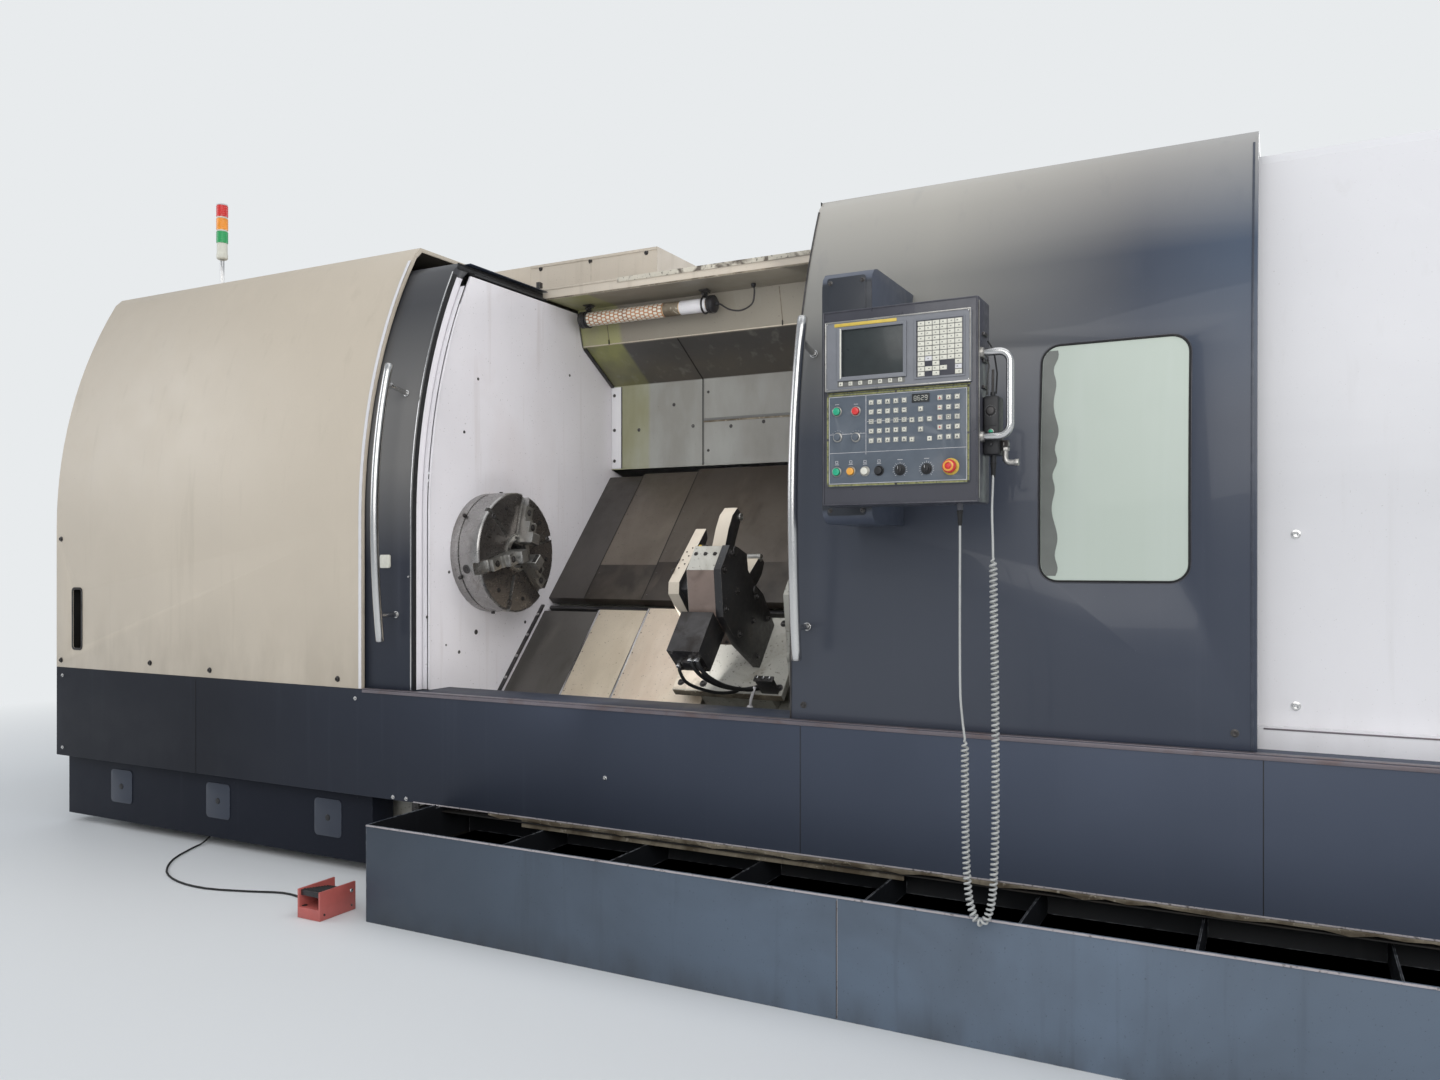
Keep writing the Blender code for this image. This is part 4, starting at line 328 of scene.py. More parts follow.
COVER_SHADE = [((58, 52, 48), 2, 1.52, 1.80, 0.75)]
COVER_LEFT = cover("cover_upper_left", (70, 66, 63), (50, 47, 44), (122, 118, 113), 0.6, COVER_SHADE)
COVER_MIDDLE = cover("cover_upper_middle", (100, 92, 83), (74, 64, 54), (120, 112, 101), 0.6,
                     COVER_SHADE, [((34, 30, 26), 2, 1.2895, 0.0022, 0.0006, 0.9)])
COVER_RIGHT = cover("cover_upper_right", (86, 79, 72), (62, 53, 45), (104, 95, 85), 0.7,
                    COVER_SHADE, [((30, 26, 23), 2, 1.3025, 0.0022, 0.0006, 0.9)])
STAINED = cover("cover_lower_left", (84, 81, 78), (62, 59, 55), (108, 104, 98), 0.6)
STAINED_LOW = cover("cover_lower_middle", (192, 180, 161), (150, 133, 112), (216, 205, 186), 0.45)
STAINED_RIGHT = cover("cover_lower_right", (208, 194, 175), (176, 150, 134), (226, 216, 201), 0.40)
CHUCK_STEEL = finish("chuck_steel", (160, 158, 156), 0.30, 0.9, vary=0.10, cloud=7,
                     brushed=(110, (10, 1, 1), 0.02), blotch=((96, 88, 78), 7, 0.50, 0.68, 0.5),
                     zones=[((108, 104, 102), 0, -0.8480, -0.8465, 0.92)], worn=((206, 204, 200), 0.003, 0.7))
# Painted shade: the rear wall darker towards its right and the sloping panel above 2.22 m dark; above 2.377 m
# is the fascia's own cream.
ROOM_PANEL = finish("room_panel", (162, 164, 160), 0.42, vary=0.05, cloud=1.4, coat=0.1,
                    streaks=((150, 150, 140), 2.5, (7, 7, 0.3), 0.58, 0.80, 0.30),
                    specks=((70, 62, 52), 120, 0.69, 0.74, 0.5),
                    zones=[((120, 116, 114), 0, -0.55, 0.5, 0.8), ((68, 66, 64), 2, 2.214, 2.220, 1.0),
                           ((134, 128, 116), 2, 2.371, 2.377, 1.0)],
                    bands=[((158, 160, 92), 0, -0.790, 0.016, 0.018, 0.60),
                           ((92, 84, 72), 2, 2.255, 0.02, 0.06, 0.5)])
# A darker brown, used on the steady case's down-slope faces.
STAND_BROWN = finish("brown_casting", (122, 106, 98), 0.46, vary=0.14, cloud=9, grain=(180, 0.2),
                     blotch=((78, 64, 56), 9, 0.46, 0.66, 0.6))
ROOF_DIRT = finish("dirty_edge", (188, 182, 168), 0.55, vary=0.10, cloud=7, grain=(140, 0.3),
                   blotch=((58, 44, 34), 9, 0.50, 0.58, 0.85), specks=((40, 32, 26), 60, 0.58, 0.66, 0.8))
# Its zone paints the bracket's front face dark: painted reflection of the dark surroundings.
BRACKET = finish("bracket_enamel", (78, 84, 98), 0.44, vary=0.08, cloud=3, grain=(500, 0.05),
                 zones=[((38, 42, 50), 1, -1.0030, -1.0060, 1.0)],
                 worn=((110, 110, 116), 0.002, 0.5))
BRIGHT = finish("bright_steel", (206, 205, 204), 0.24, 1.0, vary=0.03, cloud=3, grain=(900, 0.0), mottle=0.01)
CORD_GREY = finish("cord_grey", (172, 173, 171), 0.34, vary=0.08, cloud=24, coat=0.3,
                   specks=((96, 92, 86), 160, 0.66, 0.74, 0.4))
FILM = finish("window_film", (106, 109, 105), 0.36, vary=0.12, cloud=12, coat=0.1)
SILVER = finish("worn_steel", (168, 166, 162), 0.34, 0.9, vary=0.10, cloud=9, brushed=(160, (8, 1, 1), 0.06),
                blotch=((100, 92, 80), 9, 0.52, 0.68, 0.55), worn=((220, 218, 212), 0.002, 0.6))
DARK_STEEL = finish("dark_steel", (78, 76, 76), 0.42, 0.8, vary=0.15, cloud=14, grain=(300, 0.10),
                    blotch=((48, 42, 38), 12, 0.48, 0.66, 0.7), worn=((170, 168, 164), 0.002, 0.6))
BLACK = finish("black_plastic", (34, 34, 36), 0.48, vary=0.14, cloud=20, grain=(700, 0.12),
               specks=((110, 106, 100), 150, 0.70, 0.76, 0.3))
RUBBER = finish("black_rubber", (26, 26, 27), 0.72, vary=0.18, cloud=30, grain=(420, 0.20),
                specks=((90, 84, 76), 90, 0.66, 0.74, 0.35))
BLACK_PAINT = finish("black_paint", (36, 35, 37), 0.40, vary=0.16, cloud=8, grain=(220, 0.14),
                     specks=((120, 112, 100), 110, 0.68, 0.74, 0.4), worn=((140, 134, 124), 0.003, 0.6),
                     blotch=((70, 62, 54), 6, 0.56, 0.72, 0.4))
GREY = finish("grey_powder_coat", (104, 104, 102), 0.50, vary=0.07, cloud=2.0, grain=(500, 0.10),
              streaks=((70, 66, 60), 2.5, (6, 6, 0.4), 0.58, 0.80, 0.35), smudge=0.05,
              specks=((60, 54, 46), 160, 0.69, 0.75, 0.45))
SCREEN_GREY = finish("screen_bezel", (118, 120, 126), 0.46, vary=0.05, cloud=22, grain=(900, 0.10),
                     specks=((84, 84, 86), 240, 0.70, 0.76, 0.3))
PANEL_BLUE = finish("operator_overlay", (84, 92, 102), 0.42, vary=0.06, cloud=26, grain=(1100, 0.06),
                    coat=0.1, specks=((130, 128, 110), 200, 0.72, 0.78, 0.25), smudge=0.06)
BOX_DARK = finish("pendant_enamel", (62, 62, 70), 0.34, vary=0.10, cloud=7, coat=0.2, smudge=0.08,
                  worn=((128, 128, 134), 0.002, 0.55), specks=((120, 118, 116), 230, 0.72, 0.77, 0.3))
GLASS = finish("frosted_glass", (184, 194, 184), 0.42, vary=0.02, cloud=1.2, coat=0.15,
               streaks=((196, 204, 198), 1.2, (9, 9, 0.15), 0.50, 0.75, 0.30), grain=(260, 0.01))
LCD = finish("display_glass", (38, 44, 45), 0.34, vary=0.20, cloud=18, coat=0.1, grain=(600, 0.01),
             smudge=0.05)
IVORY = finish("ivory_keys", (214, 212, 200), 0.44, vary=0.05, cloud=90, grain=(800, 0.05),
               specks=((150, 142, 120), 260, 0.66, 0.74, 0.35))
GREEN = finish("green_cap", (32, 160, 122), 0.30, vary=0.10, cloud=60, coat=0.3)
RED = finish("red_cap", (206, 52, 52), 0.32, vary=0.10, cloud=60, coat=0.3)
ORANGE = finish("amber_cap", (222, 158, 62), 0.32, vary=0.10, cloud=60, coat=0.3)
YELLOW = finish("yellow_trim", (206, 178, 76), 0.44, vary=0.10, cloud=70,
                specks=((120, 100, 50), 260, 0.66, 0.74, 0.4))
WORN_EDGE = finish("worn_gasket", (128, 128, 84), 0.60, vary=0.35, cloud=60, grain=(400, 0.3),
                   specks=((52, 54, 44), 160, 0.52, 0.66, 0.7))
OILY = finish("oily_residue", (130, 121, 105), 0.62, vary=0.25, cloud=9, grain=(70, 0.6),
              blotch=((72, 60, 44), 11, 0.42, 0.62, 0.8), specks=((196, 188, 172), 60, 0.62, 0.72, 0.5))
# Painted shade: near-black put into holes, slots, gaps and seams, and under the skirt, where shade falls.
RECESS_SHADE = finish("dark_recess", (26, 24, 23), 0.66, vary=0.3, cloud=7, grain=(90, 0.4),
              blotch=((52, 44, 36), 10, 0.48, 0.68, 0.6))
COOLANT = finish("coolant", (48, 46, 38), 0.10, vary=0.2, cloud=4, coat=0.6, wave=(14, 0.25),
                 blotch=((92, 84, 60), 5, 0.5, 0.66, 0.6))
PINK_RED = finish("pedal_enamel", (178, 92, 86), 0.42, vary=0.10, cloud=18, coat=0.15, grain=(300, 0.08),
                  worn=((150, 140, 136), 0.002, 0.6), smudge=0.10)
LAMP_SLEEVE = finish("lamp_sleeve", (176, 128, 92), 0.42, vary=0.15, cloud=12, coat=0.2,
                     blotch=((120, 80, 54), 10, 0.50, 0.66, 0.6))
LAMP_GLASS = finish("lamp_glass", (206, 176, 138), 0.30, vary=0.10, cloud=16, coat=0.4,
                    blotch=((150, 108, 72), 12, 0.48, 0.66, 0.6))
MIRROR_STRIP = finish("sill_steel", (116, 109, 114), 0.40, 0.5, vary=0.10, cloud=7,
                      brushed=(140, (0.6, 10, 10), 0.06), blotch=((104, 84, 78), 8, 0.5, 0.66, 0.6))
# The faint glow of all three lenses is painted light.
RED_LENS, AMBER_LENS, GREEN_LENS = (
    finish(name, colour, 0.18, vary=0.08, cloud=40, coat=0.5, emission=0.15) for name, colour in (
        ("red_lens", (196, 40, 36)), ("amber_lens", (228, 142, 40)), ("green_lens", (40, 150, 86))))

NODE_LOOKS = {name: look for look, names in (
    (CREAM, "headstock_cover"), (WHITE, "right_cover rear_cover"), (ROOF_CREAM, "roof_cover"),
    (NAVY_SKIRT, "front_skirt"), (NAVY_LOW, "lower_skirt"), (NAVY_LEFT, "left_door"),
    (NAVY_RIGHT, "right_door"), (WALL, "bulkhead"), (ROOM_PANEL, "back_panel"), (NAVY, "spindle_motor"),
    (TANK, "coolant_tank"),
    (CASTING, "bed_casting headstock_casting saddle turret_slide tailstock_body steady_base"),
    (BLACK_PAINT, "steady_housing upper_claw lower_claw foot_treadle"), (CHUCK_STEEL, "chuck_body"),
    (SILVER, "chuck_jaw_1 chuck_jaw_2 chuck_jaw_3"), (DARK_STEEL, "turret_disc"), (GLASS, "door_window"),
    (BRIGHT, "spindle quill left_door_handle right_door_handle pendant_handle"),
    (BOX_DARK, "pendant_box"), (BRACKET, "pendant_bracket"), (SCREEN_GREY, "screen_unit"),
    (PANEL_BLUE, "operator_panel"), (BLACK, "pulse_generator coolant_button spindle_dial feed_dial"),
    (COVER_LEFT, "upper_cover_fixed"), (COVER_MIDDLE, "upper_cover_middle"),
    (COVER_RIGHT, "upper_cover_carriage"), (STAINED, "lower_cover_fixed"),
    (STAINED_LOW, "lower_cover_middle"), (STAINED_RIGHT, "lower_cover_steady"),
    (IVORY, "signal_tower lamp_button"), (LAMP_GLASS, "work_lamp"), (PINK_RED, "foot_switch_base"),
    (GREEN, "power_on_button cycle_start_button"), (RED, "power_off_button emergency_stop"),
    (ORANGE, "feed_hold_button"), (RUBBER, "pendant_cord curly_cord pulse_cord foot_switch_cord"),
) for name in names.split()}
SHEETS = {"bulkhead", "back_panel", "right_cover", "roof_cover", "upper_cover_carriage"}
FINE = {"screen_unit", "operator_panel", "pulse_generator", "pendant_box"}


SHARP = math.radians(32)


def shading_group():
    """Geometry nodes that shade a mesh smooth, apart from its sharp edges."""
    group = bpy.data.node_groups.new("smooth_by_angle", "GeometryNodeTree")
    group.interface.new_socket("Geometry", in_out="INPUT", socket_type="NodeSocketGeometry")
    group.interface.new_socket("Geometry", in_out="OUTPUT", socket_type="NodeSocketGeometry")
    start = group.nodes.new("NodeGroupInput")
    end = group.nodes.new("NodeGroupOutput")
    faces = group.nodes.new("GeometryNodeSetShadeSmooth")
    edges = group.nodes.new("GeometryNodeSetShadeSmooth")
    edges.domain = "EDGE"
    edges.inputs["Shade Smooth"].default_value = False
    angle = group.nodes.new("GeometryNodeInputMeshEdgeAngle")
    sharp = group.nodes.new("FunctionNodeCompare")
    sharp.operation = "GREATER_THAN"
    sharp.inputs[1].default_value = SHARP
    group.links.new(start.outputs[0], faces.inputs["Geometry"])
    group.links.new(faces.outputs[0], edges.inputs["Geometry"])
    group.links.new(angle.outputs[0], sharp.inputs[0])
    group.links.new(sharp.outputs[0], edges.inputs["Selection"])
    group.links.new(edges.outputs[0], end.inputs[0])
    return group


SHADING = shading_group()


def polish(thing, width, weld=False):
    """Bevel the sharp edges and shade the rest smooth."""
    if weld:
        welder = thing.modifiers.new("weld", "WELD")
        welder.merge_threshold = 2e-5
        flat = thing.modifiers.new("flats", "DECIMATE")
        flat.decimate_type = "DISSOLVE"
        flat.angle_limit = math.radians(0.5)
    if width:
        bevel = thing.modifiers.new("edges", "BEVEL")
        bevel.width = width
        bevel.segments = 2
        bevel.limit_method = "ANGLE"
        bevel.angle_limit = SHARP
        bevel.use_clamp_overlap = True
        bevel.harden_normals = False
    smoothing = thing.modifiers.new("smooth", "NODES")
    smoothing.node_group = SHADING


for name, look in NODE_LOOKS.items():
    thing = frame["nodes"][name]
    thing.data.materials.clear()
    thing.data.materials.append(look)
    low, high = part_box(name)
    least = min(h - l for l, h in zip(low, high))
    if name in SHEETS:
        polish(thing, 0)
        continue
    polish(thing, 0.0008 if name in FINE else min(0.002, least * 0.08), weld=True)

# Building
WORLD = Matrix.Identity(4)


def lengthwise(x=0, y=0, z=0):
    """(y, z, x) from a place: outlines across the machine, pushed out along it."""
    return Matrix(((0, 0, 1, x), (1, 0, 0, y), (0, 1, 0, z), (0, 0, 0, 1)))


SLOPE = Matrix(((0, 0, 1, 0), (-math.cos(SLANT), -math.sin(SLANT), 0, AXIS_Y),
                (-math.sin(SLANT), math.cos(SLANT), 0, AXIS_Z), (0, 0, 0, 1)))


def facing(y):
    """(x, z, out) of an upright face at this y, seen by the operator."""
    return Matrix(((1, 0, 0, 0), (0, 0, -1, y), (0, 1, 0, 0), (0, 0, 0, 1)))


def behind(y):
    """(-x, z, out) of an upright face at this y, seen from the rear."""
    return Matrix(((-1, 0, 0, 0), (0, 0, 1, y), (0, 1, 0, 0), (0, 0, 0, 1)))


def circle(count, radius=1.0, start=0.0):
    """Evenly spaced places on a circle."""
    return [(radius * math.cos(start + math.tau * i / count), radius * math.sin(start + math.tau * i / count))
            for i in range(count)]


def about(x, z, half_x, half_z=None):
    """The sides of a rectangle about its middle."""
    half_z = half_x if half_z is None else half_z
    return x - half_x, x + half_x, z - half_z, z + half_z


def inset(sides, by):
    return sides[0] + by, sides[1] - by, sides[2] + by, sides[3] - by


def rounded(x_low, x_high, z_low, z_high, radius, steps=5):
    points = []
    for cx, cz, start in ((x_high - radius, z_high - radius, 0), (x_low + radius, z_high - radius, 90),
                          (x_low + radius, z_low + radius, 180), (x_high - radius, z_low + radius, 270)):
        for step in range(steps + 1):
            angle = math.radians(start + 90 * step / steps)
            points.append((cx + radius * math.cos(angle), cz + radius * math.sin(angle)))
    return points


def disc(high, radius, low, foot=None):
    """The profile of a disc, from its middle out and down to its foot."""
    return [(0, high), (radius, high), (foot or radius, low), (0, low)]


def cap(high, radius, shoulder, wide, low):
    """The profile of a disc with a sloping edge."""
    return [(0, high), (radius, high), (wide, shoulder), (wide, low), (0, low)]


class Kit:
    """One piece of the scene, made of several closed shapes that ride on a body."""

    def __init__(self, name, body, slot, frame=None):
        self.name, self.body, self.slot = name, body, slot
        self.frame = frame or WORLD
        self.mesh = bmesh.new()
        self.looks = []

    def raw(self, points, faces, look):
        if look not in self.looks:
            self.looks.append(look)
        index = self.looks.index(look)
        made = [self.mesh.verts.new(self.frame @ Vector(point)) for point in points]
        for face in faces:
            self.mesh.faces.new([made[i] for i in face]).material_index = index

    def prism(self, outline, low, high, look, sides=None):
        count = len(outline)
        points = [(x, y, low) for x, y in outline] + [(x, y, high) for x, y in outline]
        caps = [tuple(range(count))[::-1], tuple(range(count, 2 * count))]
        walls = [(i, (i + 1) % count, count + (i + 1) % count, count + i) for i in range(count)]
        if sides is None:
            self.raw(points, caps + walls, look)
            return
        start = len(self.mesh.faces)
        self.raw(points, caps + walls, look)
        if sides not in self.looks:
            self.looks.append(sides)
        self.mesh.faces.ensure_lookup_table()
        for face in self.mesh.faces[start + 2:]:
            face.material_index = self.looks.index(sides)

    def box(self, low, high, look):
        self.prism([(low[0], low[1]), (high[0], low[1]), (high[0], high[1]), (low[0], high[1])],
                   low[2], high[2], look)

    def patch(self, sides, levels, look):
        self.box((sides[0], sides[2], levels[0]), (sides[1], sides[3], levels[1]), look)

    def turn(self, profile, look, centre=(0, 0, 0), axis=(0, 0, 1), steps=20):
        axis, centre = Vector(axis).normalized(), Vector(centre)
        side = axis.orthogonal().normalized()
        up = axis.cross(side)
        rows, points, faces = [], [], []
        for radius, height in profile:
            base = centre + axis * height
            if radius <= 0:
                rows.append([len(points)])
                points.append(base)
                continue
            rows.append(list(range(len(points), len(points) + steps)))
            for i in range(steps):
                turn = math.tau * (i + 0.5) / steps
                points.append(base + radius * (math.cos(turn) * side + math.sin(turn) * up))
        pairs = list(zip(rows, rows[1:]))
        if profile[0][0] > 0 and profile[-1][0] > 0:
            pairs.append((rows[-1], rows[0]))
        for a, b in pairs:
            for i in range(steps if len(a) + len(b) > 2 else 0):
                quad = [a[i % len(a)], a[(i + 1) % len(a)], b[(i + 1) % len(b)], b[i % len(b)]]
                faces.append(list(dict.fromkeys(quad)))
        self.raw(points, faces, look)

    def tube(self, points, radius, look, steps=10, closed=False):
        points = [Vector(point) for point in points]
        count = len(points)
        rows, made = [], []
        normal = None
        for i, point in enumerate(points):
            before = points[i - 1] if i or closed else point
            after = points[(i + 1) % count] if i < count - 1 or closed else point
            along = (after - before).normalized()
            normal = along.orthogonal() if normal is None else normal - along * normal.dot(along)
            normal.normalize()
            other = along.cross(normal)
            rows.append(list(range(len(made), len(made) + steps)))
            made += [point + radius * (math.cos(turn) * normal + math.sin(turn) * other)
                     for turn in (math.tau * s / steps for s in range(steps))]
        faces = []
        pairs = list(zip(rows, rows[1:])) + ([(rows[-1], rows[0])] if closed else [])
        for a, b in pairs:
            faces += [(a[s], a[(s + 1) % steps], b[(s + 1) % steps], b[s]) for s in range(steps)]
        if not closed:
            faces += [tuple(rows[0])[::-1], tuple(rows[-1])]
        self.raw(made, faces, look)

    def screw(self, centre, radius, axis=(0, 0, 1), look=None, hexagon=False):
        """A socket or hexagon head on a washer."""
        look = look or DARK_STEEL
        self.turn(disc(radius * 0.16, radius * 1.45, -radius * 0.1),
                  look, centre, axis, 14)
        if hexagon:
            profile = [(0, radius * 0.8), (radius * 0.9, radius * 0.8), (radius, radius * 0.7),
                       (radius, radius * 0.16), (0, radius * 0.16)]
        else:
            profile = [(0, radius * 0.35), (radius * 0.5, radius * 0.35), (radius * 0.55, radius * 0.85),
                       (radius * 0.88, radius * 0.9), (radius, radius * 0.75), (radius, radius * 0.16),
                       (0, radius * 0.16)]
        self.turn(profile, look, centre, axis, 6 if hexagon else 14)

    def screws(self, spots, radius, level, *rest, **settings):
        for a, b in spots:
            self.screw((a, b, level), radius, *rest, **settings)

    def strip(self, x_low, x_high, inner, outer, z_low, z_high, look, steps=18):
        """A strip that follows the bowed front, between two distances out from it."""
        levels = [z_low + (z_high - z_low) * i / steps for i in range(steps + 1)]
        outline = [(bowed(z, outer), z) for z in levels] + [(bowed(z, inner), z) for z in levels[::-1]]
        keep, self.frame = self.frame, lengthwise()
        self.prism(outline, x_low, x_high, look)
        self.frame = keep

    def done(self, bevel=0.0008):
        bmesh.ops.recalc_face_normals(self.mesh, faces=self.mesh.faces)
        data = bpy.data.meshes.new(self.name)
        self.mesh.to_mesh(data)
        self.mesh.free()
        for look in self.looks:
            data.materials.append(look)
        thing = placed(self.name, data)
        polish(thing, bevel)
        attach(thing, self.body)
        return thing


# Cords
def smooth_route(points, per_span):
    ends = [points[0], *points, points[-1]]
    route = []
    for index in range(1, len(ends) - 2):
        p0, p1, p2, p3 = (Vector(ends[index + shift]) for shift in (-1, 0, 1, 2))
        for step in range(per_span):
            t = step / per_span
            route.append((2 * p1 + (p2 - p0) * t + (2 * p0 - 5 * p1 + 4 * p2 - p3) * t**2
                          + (3 * p1 - p0 - 3 * p2 + p3) * t**3) / 2)
    route.append(Vector(points[-1]))
    return route


def wire(name, points, diameter, look):
    curve = bpy.data.curves.new(name, "CURVE")
    curve.dimensions = "3D"
    curve.bevel_depth = diameter / 2
    curve.bevel_resolution = 2
    curve.use_fill_caps = True
    spline = curve.splines.new("POLY")
    spline.points.add(len(points) - 1)
    for spot, point in zip(spline.points, points):
        spot.co = (*point, 1)
        spot.radius = 1
    curve.materials.append(look)
    return placed(name, curve)


def route_length(points):
    return sum((Vector(b) - Vector(a)).length for a, b in zip(points, points[1:]))


WIRE = 0.0065
COIL_RADIUS = 0.0080
COIL_PITCH = 0.0135
TURN_POINTS = 14
FADE_POINTS = 2 * TURN_POINTS


def coiled(centre_line):
    """A helix along a route, fading in and out at its ends."""
    total = route_length(centre_line)
    turns = round(total / COIL_PITCH)
    count = turns * TURN_POINTS
    points, travelled, segment = [], 0.0, 0
    lengths = [(b - a).length for a, b in zip(centre_line, centre_line[1:])]
    side = Vector((1, 0, 0))
    for index in range(count + 1):
        target = total * index / count
        while segment < len(lengths) - 1 and travelled + lengths[segment] < target:
            travelled += lengths[segment]
            segment += 1
        start, end = centre_line[segment], centre_line[segment + 1]
        ahead = centre_line[min(segment + 2, len(centre_line) - 1)]
        share = (target - travelled) / lengths[segment]
        spot = start + (end - start) * share
        tangent = (end - start).normalized() * (1 - share / 2) + (ahead - start).normalized() * share / 2
        tangent.normalize()
        side = (side - tangent * side.dot(tangent)).normalized()
        other = tangent.cross(side)
        angle = math.tau * index / TURN_POINTS
        fade = min(1.0, index / FADE_POINTS, (count - index) / FADE_POINTS)
        fade *= fade * (3 - 2 * fade)
        points.append(spot + COIL_RADIUS * fade * (math.cos(angle) * side + math.sin(angle) * other))
    return points


def place_route(points):
    return [Vector((x, front(depth), z)) for x, depth, z in points]


COIL_ROUTE = place_route((
    (1.360, -0.462, 0.835), (1.361, -0.463, 0.70), (1.363, -0.464, 0.55), (1.370, -0.464, 0.43),
    (1.384, -0.464, 0.372), (1.4026, -0.464, 0.354), (1.421, -0.464, 0.374), (1.434, -0.464, 0.435),
    (1.440, -0.463, 0.56), (1.441, -0.462, 0.75), (1.440, -0.462, 0.95), (1.437, -0.462, 1.15),
    (1.434, -0.460, 1.318)))
GLAND = Vector((1.347, front(-0.462), 1.4397))
PULSE_GLAND = Vector((1.42665, front(-0.425), 1.5667))
DROP = smooth_route([GLAND, GLAND + Vector((0, 0, -0.06))] + place_route(
    ((1.347, -0.462, 1.00), (1.352, -0.462, 0.90))) + [COIL_ROUTE[0]], 3)
RISE = smooth_route([COIL_ROUTE[-1]] + place_route(
    ((1.4325, -0.456, 1.36), (1.428, -0.446, 1.44), (1.4265, -0.430, 1.51))) + [PULSE_GLAND], 3)
LEAD = DROP[:-1] + coiled(smooth_route(COIL_ROUTE, 6)) + RISE[1:]
lead = wire("pulse_lead", LEAD, WIRE, CORD_GREY)
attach(lead, "pendant")
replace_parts(lead, "pendant_cord", "curly_cord", "pulse_cord")

FOOT_CORD = 0.008
FOOT_START = Vector((-2.32, front(0.2003) - 0.0503, 0.092))
FOOT_END = Vector((-1.1183, front(-0.415), 0.020))
FOOT_PLACES = (
    (-2.320, 0.075, 0.040), (-2.314, 0.020, 0.0085), (-2.290, -0.050, 0.0045), (-2.200, -0.210, 0.0045),
    (-2.050, -0.350, 0.0045), (-1.880, -0.420, 0.0045), (-1.700, -0.430, 0.0045), (-1.520, -0.380, 0.0045),
    (-1.380, -0.330, 0.0045), (-1.270, -0.340, 0.0050), (-1.190, -0.390, 0.0100))
FOOT_ROUTE = [FOOT_START] + smooth_route([FOOT_START + Vector((0, -0.03, 0))] + place_route(FOOT_PLACES)
                                         + [FOOT_END + Vector((-0.03, 0, 0))], 3) + [FOOT_END]
foot_lead = wire("foot_lead", FOOT_ROUTE, FOOT_CORD, RUBBER)
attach(foot_lead, "machine")
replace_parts(foot_lead, "foot_switch_cord")


# Housings
SILL_LEFT, SILL_RIGHT = HEAD_RIGHT_X + 0.004, 3.345
HEAD_FRONT = front(-0.03)
PORT = (-3.213, -3.147, 0.88, 1.17)
REAR_DOORS = ((1.30, 2.20, 0.45, 1.42), (2.30, 3.20, 0.45, 1.42), (-3.20, -2.30, 0.45, 1.42),
              (-0.70, 0.90, 0.50, 2.35))


def eye_bolt(kit, x, y, z, steps=20):
    """A lifting eye on a housing's top."""
    kit.turn(cap(0.012, 0.024, 0.008, 0.028, 0.0004), DARK_STEEL, (x, y, z), steps=steps)
    ring = [(x, y + 0.026 * across, z + 0.038 + 0.024 * up) for across, up in circle(16)]
    kit.tube(ring, 0.006, DARK_STEEL, 8, True)


def port(kit):
    """The opening in the left housing's front: its rim, its box, near-black inside as painted shade, and the
    fittings in it.
    """
    rings = rounded(*inset(PORT, -0.010), 0.02), rounded(*inset(PORT, 0.001), 0.012)
    count = len(rings[0])
    points = [(x, z, out) for out in (0.0006, 0.0022) for ring in rings for x, z in ring]
    faces = []
    for i in range(count):
        j = (i + 1) % count
        faces += [(2 * count + i, 2 * count + j, 3 * count + j, 3 * count + i), (i, count + i, count + j, j),
                  (i, j, 2 * count + j, 2 * count + i), (count + i, 3 * count + i, 3 * count + j, count + j)]
    kit.raw(points, faces, DARK_STEEL)
    left, right, low, top = inset(PORT, -0.02)
    kit.box((left, low, -0.09), (right, top, -0.086), RECESS_SHADE)
    for x in (left, right - 0.003):
        kit.box((x, low, -0.086), (x + 0.003, top, -0.0034), RECESS_SHADE)
    for z in (low, top - 0.003):
        kit.box((left, z, -0.086), (right, z + 0.003, -0.0034), RECESS_SHADE)
    for index in range(6):
        kit.turn(cap(0.02, 0.013, 0.012, 0.016, 0), DARK_STEEL,
                 (-3.18 + 0.006 * (-1)**index, 0.91 + index * 0.045, -0.086), steps=12)


def left_housing():
    kit = Kit("left_housing_details", "machine", "cream_paint", facing(HEAD_FRONT))
    port(kit)
    kit.screws(((-3.31, 0.815), (-1.40, 0.815), (-2.62, 0.83), (-2.20, 0.815), (-3.31, 1.42)), 0.009, 0.0)
    kit.frame = WORLD
    kit.strip(HEAD_RIGHT_X - 0.016, HEAD_RIGHT_X, 0.0303, 0.0322, 0.782, 2.62, WHITE)
    for x in (-3.1, -2.3, -1.5):
        for depth in (0.75, 1.75):
            eye_bolt(kit, x, front(depth), HEAD_TOP, 16)
    for x in (-2.66, -1.96):
        kit.box((x - 0.012, front(0.62), HEAD_TOP + 0.0002), (x + 0.012, front(1.90), HEAD_TOP + 0.003),
                CREAM)
    kit.done(0.0006)


